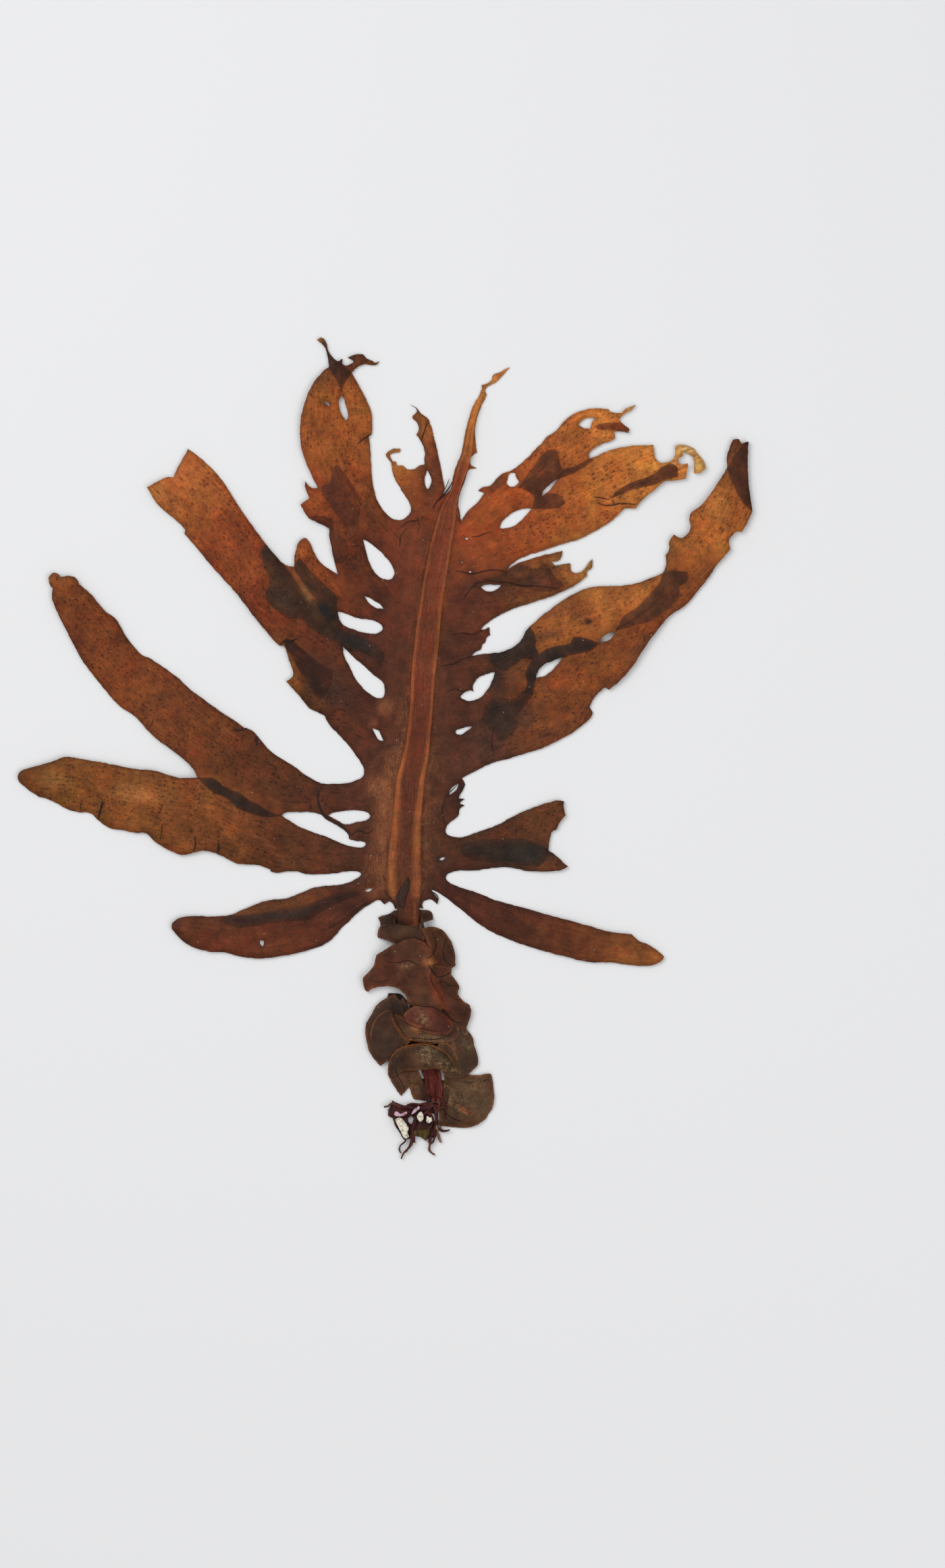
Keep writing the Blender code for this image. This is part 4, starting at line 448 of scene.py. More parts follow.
# Sporophylls as (height in layers, outline), the lowest first
SPOROPHYLLS = [
    # wings beside the neck
    (0, [[(1.0, -48.6), (-0.4, -48.9), (-2.0, -49.5)],
         [(-1.4, -51.3), (-1.2, -52.6)],
         [(3.0, -53.4), (3.1, -50.0), (2.9, -47.3)]]),
    (0, [[(10.3, -50.5), (10.4, -53.2)],
         [(11.4, -52.6), (11.2, -50.9)],
         [(12.7, -50.4), (13.9, -50.1)],
         [(13.4, -47.9), (11.2, -47.3), (10.3, -47.4)]]),
    # lower right leaf
    (0, [[(17.2, -103.2)],
         [(15.8, -103.3)],
         [(15.7, -109.9)],
         [(18.5, -110.1), (22.5, -110.4), (26.0, -109.8), (28.6, -108.2), (30.3, -105.9),
          (31.5, -102.8), (31.5, -99.8), (31.1, -96.6), (30.6, -94.8)],
         [(29.4, -94.8), (26.5, -95.2), (22.0, -94.6)],
         [(19.0, -93.4), (17.1, -94.6)]]),
    # lower left leaves
    (0, [[(0.9, -94.2), (1.5, -96.3), (2.9, -98.8), (4.7, -101.2)],
         [(5.6, -100.1), (7.0, -98.5)],
         [(7.6, -100.4), (8.2, -102.2)],
         [(11.2, -102.4)],
         [(10.9, -97.0), (9.0, -92.0)],
         [(4.0, -91.5)]]),
    # right round leaf
    (1, [[(25.2, -83.8), (25.8, -86.5), (26.8, -89.6), (26.8, -92.0), (25.4, -93.7), (23.3, -95.4),
          (20.5, -96.1), (17.6, -95.6)],
         [(16.4, -93.4), (15.0, -90.0)],
         [(16.0, -84.0), (19.0, -80.5), (23.5, -81.7)]]),
    # left round leaf
    (1, [[(0.0, -73.0), (-2.5, -75.0), (-4.0, -77.7), (-5.5, -80.4), (-5.7, -82.9), (-5.0, -86.9),
          (-3.5, -90.0), (-1.3, -92.5)],
         [(0.8, -91.0), (4.0, -89.0)],
         [(8.0, -84.0), (7.0, -76.0)],
         [(5.2, -72.5), (4.4, -73.4)],
         [(3.3, -72.1), (2.9, -71.5)]]),
    # dark band across the neck
    (1, [[(-1.9, -53.0), (-2.1, -54.4), (-1.9, -55.4)],
         [(1.2, -56.3), (2.7, -57.0)],
         [(10.0, -58.0)],
         [(12.0, -54.0), (10.5, -52.5)],
         [(7.0, -51.5), (3.0, -51.1), (0.0, -51.5), (-1.2, -51.8)]]),
    # large lower leaf
    (2, [[(1.4, -90.0), (0.9, -92.5), (1.1, -94.6), (2.2, -95.8)],
         [(5.5, -94.0), (9.0, -93.6), (15.0, -93.1)],
         [(18.0, -94.2), (21.3, -94.2)],
         [(20.3, -91.6), (18.5, -88.9), (15.8, -86.9), (12.0, -86.0), (7.0, -86.4), (3.6, -87.4)]]),
    # right frills
    (2, [[(19.2, -66.2), (20.0, -67.1), (21.5, -69.6), (21.1, -71.5), (22.9, -74.0), (24.3, -74.7),
          (24.9, -76.5), (24.5, -78.6), (23.5, -81.7)],
         [(20.5, -81.4), (18.6, -78.5)],
         [(16.0, -74.5), (13.0, -68.5), (12.5, -63.5)],
         [(16.0, -62.0), (19.3, -64.2)]]),
    # right shoulder leaf
    (2, [[(13.8, -52.2), (16.5, -53.2), (18.9, -56.0), (20.2, -60.0), (20.4, -63.4)],
         [(19.4, -64.2)],
         [(15.0, -64.0), (11.5, -61.5)],
         [(12.6, -58.6), (12.0, -56.0), (10.5, -52.6)]]),
    # folded band between the round leaves
    (2, [[(4.0, -82.5), (6.0, -84.6)],
         [(10.0, -85.2), (15.0, -85.6), (20.0, -85.0), (21.6, -83.2), (21.4, -81.2)],
         [(19.5, -78.6), (14.0, -77.0), (6.0, -78.0), (2.4, -77.0)]]),
    # large upper leaf
    (3, [[(0.0, -58.8), (-2.5, -60.6), (-3.0, -62.8), (-5.0, -65.6), (-6.3, -66.8), (-6.4, -68.4),
          (-5.7, -70.6), (-4.9, -71.0)],
         [(-3.8, -70.2), (0.0, -69.4), (3.5, -69.8), (5.8, -71.7), (7.0, -74.6)],
         [(12.0, -76.0), (17.5, -76.0)],
         [(15.0, -71.5), (13.0, -66.5), (14.2, -62.5), (13.5, -58.5), (11.0, -56.0), (7.5, -55.1),
          (2.7, -57.0)]]),
    # domed leaf below it
    (4, [[(6.2, -76.4), (8.6, -74.9), (12.0, -74.7), (16.0, -75.9), (19.4, -79.0)],
         [(19.8, -81.6), (18.0, -83.4)],
         [(12.0, -82.6), (7.0, -80.0), (4.4, -78.6)]]),
]

# Holdfast: its plate, the gaps in it, and the branches, as rows of (X, Y, Z, radius)
HOLDFAST_EDGE = [
    [(15.3, -103.3)],
    [(15.3, -109.6), (15.0, -111.4), (13.9, -113.3), (13.0, -113.0)],
    [(11.7, -114.1)],
    [(10.1, -112.9), (8.2, -112.9)],
    [(7.4, -113.4), (5.2, -113.5), (4.3, -111.8), (3.0, -109.8), (2.2, -107.6)],
    [(1.0, -107.0), (0.9, -105.4)],
    [(2.3, -102.5)],
    [(4.0, -103.4), (5.6, -104.0), (8.3, -103.3)],
]
HOLDFAST_HOLES = [
    [[(7.6, -107.0), (8.4, -108.0), (7.7, -109.3), (6.9, -109.0), (6.6, -107.8), (7.0, -107.1)]],
    [[(14.3, -106.3), (14.6, -107.6), (14.4, -109.2), (13.9, -108.0), (13.3, -106.7), (13.5, -106.2)]],
]
HAPTERA = [
    [(14.2, -103.9, 1.4, 0.8), (10.4, -104.9, 1.5, 0.75), (7.0, -104.4, 1.4, 0.7), (4.2, -104.2, 1.3, 0.6),
     (2.3, -103.3, 1.2, 0.5), (1.0, -104.0, 1.1, 0.4), (-0.3, -104.4, 1.0, 0.3)],
    [(12.8, -103.9, 1.4, 0.8), (9.6, -105.6, 1.4, 0.7), (8.7, -108.0, 1.4, 0.7), (8.0, -110.6, 1.3, 0.7),
     (7.7, -112.8, 1.2, 0.7), (7.8, -114.1, 1.1, 0.6), (7.3, -115.4, 1.0, 0.52), (6.4, -116.7, 0.9, 0.46),
     (5.3, -117.8, 0.8, 0.38), (4.7, -119.4, 0.6, 0.28)],
    [(14.4, -104.0, 1.4, 0.75), (14.9, -106.4, 1.4, 0.6), (14.8, -109.0, 1.3, 0.6),
     (14.1, -111.2, 1.2, 0.6),
     (13.0, -113.4, 1.1, 0.55), (13.0, -115.1, 1.0, 0.45), (12.8, -116.7, 0.9, 0.4),
     (13.5, -117.6, 0.7, 0.32), (14.4, -118.2, 0.6, 0.26)],
    [(14.8, -111.0, 1.2, 0.5), (14.5, -112.6, 1.1, 0.42), (13.8, -114.5, 1.0, 0.36),
     (13.1, -115.2, 0.9, 0.32)],
    [(14.9, -109.6, 1.2, 0.55), (15.1, -111.6, 1.0, 0.5), (15.6, -113.2, 0.8, 0.48),
     (16.2, -114.6, 0.6, 0.4)],
    [(14.6, -110.0, 1.1, 0.5), (16.4, -111.2, 1.0, 0.42), (18.2, -111.2, 0.9, 0.36),
     (18.7, -110.8, 0.8, 0.3)],
    [(8.0, -112.0, 1.1, 0.55), (8.4, -113.4, 1.0, 0.42), (8.5, -114.7, 0.8, 0.3)],
    [(5.2, -111.6, 1.1, 0.5), (5.4, -113.2, 1.0, 0.36), (5.9, -113.9, 0.8, 0.3), (5.4, -114.7, 0.7, 0.27),
     (4.5, -115.5, 0.6, 0.26), (4.1, -116.7, 0.5, 0.25), (4.6, -117.7, 0.5, 0.25)],
]

# Crusts that grew on the holdfast: (node, outline)
WHITE_CRUSTS = [
    ("white_crust_left", [[(4.4, -107.3), (5.4, -108.0), (6.2, -109.2), (6.9, -110.2), (6.6, -111.8),
                           (6.9, -112.8), (6.2, -113.2), (5.4, -112.9), (4.5, -111.2), (3.4, -109.0),
                           (2.9, -107.8)]]),
    ("white_crust_middle", [[(9.7, -106.0), (10.5, -105.5), (11.0, -106.3), (11.0, -108.1),
                             (10.3, -108.5), (9.5, -107.8), (9.1, -106.9)]]),
    ("white_crust_right", [[(12.3, -106.7), (12.9, -107.1), (13.5, -107.2), (13.6, -108.0),
                            (13.1, -108.8), (12.4, -108.9), (11.9, -108.2)]]),
]
PINK_CRUSTS = [
    ("pink_crust_left", [[(3.4, -105.5), (4.4, -106.2), (5.6, -105.9), (6.3, -105.6)],
                         [(6.3, -106.2), (4.9, -106.8), (3.6, -106.9), (2.8, -106.6), (2.7, -105.8)]]),
    ("pink_crust_right", [[(8.2, -105.2), (9.1, -104.3), (9.8, -103.9)],
                          [(10.2, -104.5), (9.3, -105.3), (8.3, -106.2), (7.7, -106.3)]]),
]
PINK_HEIGHT = 0.6
CRUST_SEAT = HOLDFAST_THICKNESS + 2 * GAP + 0.95

MIDRIB_Y = [row[0] for row in MIDRIB_STATIONS[::-1]]
MIDRIB_LEFT = [row[1] for row in MIDRIB_STATIONS[::-1]]
MIDRIB_RIGHT = [row[2] for row in MIDRIB_STATIONS[::-1]]

# Colours, as sRGB values out of 255
OVERLAP_TONES = [
    (53, 34, 26), (53, 32, 25), (64, 35, 25), (68, 44, 28), (102, 52, 30), (93, 46, 26), (68, 36, 22),
    (100, 55, 31), (130, 64, 33), (92, 47, 25), (96, 54, 30), (54, 37, 30), (50, 35, 29), (88, 51, 30),
    (83, 45, 28), (47, 34, 27),
]
FRILL_TONES = [
    (46, 33, 28), (54, 41, 33), (72, 51, 37), (73, 51, 37), (63, 46, 35), (57, 41, 32), (62, 43, 32),
    (62, 45, 33), (71, 43, 28), (71, 43, 27), (72, 51, 37), (73, 44, 31), (80, 42, 33),
]
# What the red, green and blue are multiplied by in the blade, the sporophylls and the overlaps
BLADE_WARMTH = (0.84, 0.75, 0.61)
FRILL_WARMTH = (1.16, 1.0, 0.84)
OVERLAP_DEPTH = (0.78, 0.72, 0.66)
# Dark overlaps that fade out below a height along the plant, as how far in from their edge they are full
SOFT_OVERLAPS = {2: 1.4, 13: 2.2, 16: 2.2}
SOFT_BELOW = 15.0
MARGIN_TONE = (150, 88, 48)
HOLDFAST_TONE = (72, 34, 33)
FLAP_TONE = (84, 66, 30)
WHITE_TONE = (236, 231, 214)
PINK_TONE = (206, 172, 186)
GOLD_TONE = (202, 180, 128)
FIBRE_TONE = (174, 116, 74)
BAND_TONE = (158, 88, 50)
BAND_LOW_TONE = (166, 95, 54)
TROUGH_TONE = (114, 57, 38)
TROUGH_LOW_TONE = (92, 48, 33)
TIP_TONE = (208, 132, 66)
# Tones of the web beside the midrib, by height along the plant
WEB_Y = [-44, -20, 0, 30, 60]
WEB_LEFT_TONES = [(96, 56, 38), (116, 70, 46), (96, 55, 37), (88, 49, 34), (116, 58, 37)]
WEB_RIGHT_TONES = [(84, 49, 35), (94, 54, 37), (88, 50, 35), (92, 50, 34), (122, 62, 38)]
STIPE_TONE = (92, 38, 32)
NECK_TONE = (90, 47, 32)
NECK_LIGHT_TONE = (140, 76, 42)
NECK_DARK_TONE = (56, 38, 31)
TROUGH_WARM_TONE = (146, 72, 46)
MIDRIB_MIDDLE_TONE = (84, 48, 38)
SPEAR_TONE = (52, 36, 30)
FRAYED_TONE = (148, 86, 52)
DUST_TONE = (196, 168, 132)
FRILL_WEB_TONE = (64, 42, 31)
BRANCH_TIP_TONE = (150, 110, 84)
TANGLE_TONES = [(66, 32, 32), (92, 42, 38), (92, 42, 38)]
WHITE_PIT_TONE = (168, 150, 120)
PINK_PIT_TONE = (120, 84, 96)
# The one branch of the holdfast that is pale all along
PALE_BRANCH = 4
PALE_BRANCH_TONE = (140, 110, 84)

# Each lobe's axis from the midrib out, as rows of (X, Y, tone)
LOBES = [
    [(-5, -44, (84, 44, 30)), (-20, -52, (94, 48, 30)), (-40, -56, (102, 52, 30)), (-60, -53, (98, 52, 33))],
    [(-22, -43.5, (112, 64, 36)), (-42, -47.5, (116, 70, 36))],
    [(-6, -32, (88, 49, 34)), (-30, -29, (104, 59, 34)), (-50, -20, (138, 81, 41)), (-75, -15, (132, 80, 37)),
     (-90, -11, (135, 83, 37)), (-105, -9, (120, 71, 34))],
    [(-8, -12, (88, 47, 34)), (-28, -10, (98, 56, 33)), (-42, -3, (104, 57, 30)), (-52, 4, (116, 64, 31)),
     (-66, 15, (132, 73, 37)), (-80, 30, (130, 70, 34)), (-92, 44, (124, 66, 31)), (-95, 49, (156, 94, 46))],
    [(-5, 8, (86, 45, 32)), (-14, 12, (88, 47, 29)), (-22, 17, (88, 50, 26)), (-28, 21, (146, 92, 42))],
    [(-5, 24, (84, 46, 34)), (-20, 34, (108, 54, 33)), (-33, 44, (126, 63, 32)), (-45, 62, (142, 69, 31)),
     (-60, 77, (190, 115, 61))],
    [(-4, 37, (92, 47, 33)), (-14, 42, (126, 64, 32)), (-21, 52, (132, 67, 31)), (-24, 59, (158, 86, 39))],
    [(-2, 46, (98, 50, 33)), (-9, 56, (100, 50, 27)), (-13, 66, (122, 62, 33)), (-21, 71, (160, 82, 40))],
    [(2, 60, (112, 56, 33)), (-8, 72, (124, 66, 34)), (-14, 86, (164, 92, 43)), (-14, 98, (170, 97, 45)),
     (-14, 112, (110, 62, 34))],
    [(11, 66, (120, 60, 33)), (7, 75, (164, 90, 44)), (4, 81, (194, 118, 60))],
    [(12, 70, (104, 55, 32)), (13, 82, (122, 66, 38)), (10, 91, (160, 95, 50)), (9, 98, (150, 96, 54))],
    [(18, 70, (138, 66, 38)), (21, 80, (160, 86, 46)), (25, 92, (198, 120, 60)), (30, 104, (222, 150, 86))],
    [(22, 60, (144, 69, 35)), (34, 71, (176, 90, 40)), (48, 84, (176, 96, 45)), (58, 92, (196, 120, 56)),
     (68, 95, (206, 136, 68))],
    [(22, 53, (126, 63, 35)), (40, 61, (164, 84, 39)), (58, 72, (188, 111, 52)), (74, 80, (198, 125, 60)),
     (86, 84, (206, 144, 74))],
    [(22, 44, (94, 48, 33)), (36, 46, (102, 56, 34)), (50, 50, (138, 84, 42)), (58, 52, (190, 126, 66))],
    [(19, 33, (92, 49, 34)), (28, 31, (106, 56, 35))],
    [(18, 25, (84, 46, 34)), (32, 27, (102, 58, 35)), (50, 35, (166, 100, 48)), (66, 40, (178, 110, 54)),
     (82, 52, (168, 102, 50)), (94, 64, (186, 114, 53)), (103, 84, (118, 66, 36))],
    [(16, -2, (82, 45, 33)), (30, 3, (86, 48, 33)), (44, 8, (132, 74, 35)), (58, 20, (137, 76, 36)),
     (74, 34, (131, 71, 34)), (90, 50, (144, 82, 39))],
    [(12, -14, (78, 44, 32)), (22, -15, (70, 36, 28))],
    [(13, -29, (80, 44, 31)), (30, -25, (82, 46, 28)), (50, -18, (112, 67, 35))],
    [(40, -34, (90, 53, 33)), (52, -34, (112, 65, 35))],
    [(13, -40, (74, 38, 29)), (36, -50, (82, 43, 28)), (60, -57, (108, 60, 34)), (79, -60, (162, 100, 51))],
    [(8, -42, (80, 44, 32)), (6, -20, (96, 54, 37)), (10, 0, (88, 49, 34)), (11, 25, (93, 50, 34)),
     (15, 50, (121, 61, 38)), (18, 66, (136, 67, 37))],
]

# Broad changes of tone inside lobes, as (X, Y, reach along X, reach along Y, turn in degrees, tone, strength)
VEILS = [
    (-16, 17, 9, 5, -35, (62, 40, 30), 0.75),
    (-22, 24, 4, 3, -35, (60, 40, 30), 0.6),
    (38, 8, 9, 4.5, 25, (74, 46, 32), 0.65),
    (28, -3, 10, 4, 15, (80, 46, 32), 0.5),
    (34, 17, 4, 5, 0, (84, 50, 32), 0.6),
    (33, 24, 3, 2, 0, (66, 42, 30), 0.4),
    (-9, 31, 4, 1.6, -15, (48, 36, 30), 0.9),
    (-17.4, 38.6, 1.6, 3.0, 35, (26, 22, 24), 1.0),
    (-42, 56, 4, 9, 40, (150, 78, 37), 0.4),
    (52, 8, 6, 1.8, 15, (150, 84, 44), 0.4),
    (92, 72, 4, 3, 45, (172, 108, 52), 0.4),
    (-72, -14, 9, 2.5, -8, (166, 112, 62), 0.45),
    (-96, -9.5, 5, 2.5, -10, (160, 110, 58), 0.45),
    (22, 56, 6, 4, 20, (140, 66, 33), 0.35),
    (8, 58, 5, 8, 10, (110, 52, 33), 0.5),
    (-40, -57, 12, 2.5, 0, (124, 58, 30), 0.5),
    (14.2, 84, 0.9, 8, -9, (96, 52, 33), 0.7),
    (-23.5, 47.5, 6.5, 1.8, -52, (104, 68, 42), 0.85),
    (84, 83, 3, 3, 0, (216, 152, 88), 0.5),
    (88, 86, 4, 1.4, 0, (226, 178, 120), 0.8),
    (91, 81.5, 2, 3.4, 15, (220, 164, 96), 0.8),
    (71, 98, 2.4, 1.2, 25, (220, 168, 104), 0.9),
    (69, 92, 2.4, 2, 0, (190, 120, 64), 0.4),
    (57, 52.6, 3, 2.4, 30, (204, 146, 84), 0.6),
    (50, 53.4, 2.4, 1.6, 0, (200, 140, 76), 0.5),
    (-18.6, 117.6, 1.4, 1.0, 0, (190, 140, 84), 0.7),
    (3, 85.4, 2.4, 1.2, 0, (196, 136, 72), 0.7),
    (6, 81, 5, 0.9, 5, (204, 142, 78), 0.5),
    (-14, 112, 4, 2.5, 0, (62, 40, 28), 0.8),
    (-17.5, 116, 1.4, 2, 20, (84, 50, 30), 0.7),
    (29, 1, 3, 4, 0, (60, 38, 28), 0.35),
    (46, 88, 3, 2, 45, (180, 106, 46), 0.4),
    (53, 39, 6, 2.2, 12, (124, 66, 34), 0.5),
    (95, 70, 4, 5, 30, (196, 122, 56), 0.45),
    (62, 14.5, 8, 1.8, 46, (84, 50, 33), 0.55),
    (48, 3.5, 8, 1.8, 22, (80, 48, 32), 0.5),
    (73, 28, 5, 1.6, 55, (88, 52, 33), 0.5),
    (32.2, 76, 4, 1.5, 52, (72, 40, 29), 0.8),
    (39, -31.5, 11, 3.6, 5, (52, 40, 34), 0.7),
    (31, 3.5, 6, 5, 35, (66, 44, 33), 0.5),
    (-32, -49, 18, 2.4, 8, (70, 44, 33), 0.5),
    (28, 47.2, 5, 0.9, 15, (50, 32, 27), 0.7),
]

# Creases, folds and tears as (width, tone, points)
# The dark tones are partly the folds' own colour and partly painted shade in the folds
CREASES = [
    (0.95, (46, 31, 25), [(-37.4, 2.9), (-37.0, 0.2)]),
    (0.9, (50, 33, 26), [(-19.2, -12.3), (-19.4, -15.4), (-18.9, -17.4), (-18.0, -19.5), (-16.1, -21.0),
                         (-13.4, -22.7), (-11.4, -24.2), (-9.6, -25.8)]),
    (0.5, (58, 36, 27), [(-44.4, 4.7), (-42.4, 4.6), (-39.8, 5.3)]),
    (0.7, (40, 28, 24), [(-81.6, -15.8), (-82.2, -18.2), (-82.9, -20.9)]),
    (0.35, (66, 42, 30), [(-87.6, -15.4), (-88.0, -17.0), (-88.1, -18.6)]),
    (0.35, (78, 50, 32), [(-64.4, -22.3), (-64.6, -24.8), (-65.0, -27.2)]),
    (0.7, (56, 37, 28), [(-55.0, -26.0), (-54.8, -28.5), (-55.4, -30.4)]),
    (0.6, (46, 32, 26), [(-48.3, -27.7), (-48.1, -29.4), (-48.3, -30.8)]),
    (0.4, (84, 48, 30), [(-68.3, 5.2), (-67.4, 6.6), (-66.9, 8.0)]),
    (0.6, (46, 30, 24), [(-30.4, 29.4), (-28.9, 30.6), (-27.6, 30.2), (-25.4, 31.2)]),
    (0.45, (58, 36, 28), [(-16.9, 7.9), (-15.4, 9.6), (-13.3, 10.8), (-11.2, 10.0)]),
    (0.35, (62, 38, 28), [(-15.6, 5.6), (-14.0, 5.0), (-12.6, 6.6), (-10.8, 7.0)]),
    (0.5, (66, 38, 28), [(-17.8, -53.3), (-14.6, -51.7), (-11.3, -49.5), (-8.1, -47.2), (-4.9, -45.3)]),
    (0.4, (60, 36, 27), [(-3.9, 90.3), (-5.8, 89.2), (-8.0, 87.5)]),
    (0.35, (66, 38, 28), [(30.5, 62.0), (28.6, 61.5), (27.0, 60.8), (25.0, 60.6)]),
    (0.4, (58, 33, 27), [(34.8, 50.5), (32.4, 51.0), (29.8, 50.9), (25.4, 50.0), (20.5, 50.8)]),
    (0.4, (56, 33, 27), [(28.2, 33.6), (25.2, 32.4), (22.4, 32.8), (19.6, 32.4)]),
    (0.4, (54, 32, 27), [(25.6, 26.3), (22.4, 25.2), (20.0, 24.0), (16.0, 23.2)]),
    (0.35, (54, 33, 27), [(24.9, 16.4), (22.6, 15.9), (20.2, 16.6), (17.8, 15.6)]),
    (0.45, (52, 32, 26), [(29.2, 47.7), (27.0, 47.3), (25.2, 46.0), (22.6, 42.4)]),
    (0.4, (70, 42, 28), [(60.2, 72.1), (62.4, 71.9), (64.9, 71.3)]),
    (0.5, (72, 44, 28), [(61.2, 70.4), (64.2, 69.6), (68.0, 70.2), (72.4, 70.0)]),
    (0.35, (60, 36, 26), [(12.6, 94.5), (11.3, 91.0), (10.6, 88.5), (11.6, 86.2)]),
    (0.5, (44, 28, 26), [(19.4, 76.4), (18.4, 74.6), (16.6, 72.4), (14.8, 70.6), (13.8, 68.8)]),
    (0.3, (96, 56, 36), [(18.6, 77.4), (17.6, 75.0), (16.4, 72.8)]),
    (0.35, (64, 38, 28), [(11.5, 66.6), (9.4, 65.4), (6.6, 65.0), (4.4, 63.2)]),
    (0.35, (62, 38, 28), [(6.4, 63.2), (4.6, 60.8), (4.2, 57.6)]),
    (0.35, (90, 54, 36), [(9.4, 66.0), (9.8, 63.4), (9.2, 61.0)]),
    (0.45, (56, 36, 28), [(21.0, -11.2), (18.0, -14.2), (16.6, -18.0), (17.2, -22.6)]),
    (0.4, (50, 34, 28), [(-9.6, -25.8), (-7.8, -24.4), (-5.0, -25.2), (-3.4, -24.0)]),
    (0.4, (60, 36, 28), [(31.5, -2.8), (30.9, 1.0), (31.2, 3.8)]),
    (0.35, (74, 46, 31), [(66.6, 33.8), (71.0, 36.2), (76.4, 40.0), (80.8, 45.2)]),
    (0.35, (100, 60, 34), [(44.4, 54.4), (45.6, 52.8), (47.8, 52.0)]),
    (0.4, (50, 32, 26), [(28.4, 48.4), (31.4, 47.7), (35.2, 47.4), (39.6, 46.5), (44.6, 46.3), (50.2, 45.6)]),
    (0.4, (58, 38, 30), [(13.4, -42.0), (14.6, -42.7), (15.4, -43.9), (15.0, -45.5)]),
]

# Redder, paler and greener areas of the sporophylls, as (X, Y, reach along X, reach along Y, turn in degrees,
# tone, strength)
FRILL_PATCHES = [
    (15.2, -71, 1.5, 6.0, 24, (132, 56, 32), 0.7), (12.6, -62.2, 1.8, 1.4, 0, (160, 96, 54), 0.8),
    (12.4, -59.4, 1.4, 2.6, 10, (104, 58, 36), 0.6), (23, -101, 8, 7, 0, (74, 58, 36), 0.25),
    (8.8, -81.3, 1.5, 0.8, -35, (150, 100, 70), 0.8), (18.6, -62.0, 2.4, 2.4, 0, (58, 34, 25), 0.5),
    (17.6, -76.6, 2.4, 2.0, 0, (70, 36, 26), 0.5), (4.0, -74.5, 2.0, 2.4, 0, (42, 28, 25), 0.6),
    (22.6, -105.2, 2.0, 0.7, -38, (170, 96, 58), 0.8), (28.5, -103.5, 2.6, 4.5, 10, (92, 68, 50), 0.5),
    (3.4, -97.0, 2.0, 2.6, 0, (92, 60, 44), 0.4), (16.5, -68.0, 1.2, 1.6, 0, (66, 36, 27), 0.5),
    (1.0, -66.5, 5.0, 1.6, 8, (84, 46, 34), 0.4), (-3.6, -88.0, 1.6, 4.0, -25, (64, 40, 28), 0.5),
    (14.0, -83.9, 6.0, 0.9, -4, (110, 82, 58), 0.5), (19.5, -82.5, 2.0, 2.4, 20, (64, 38, 28), 0.6),
]
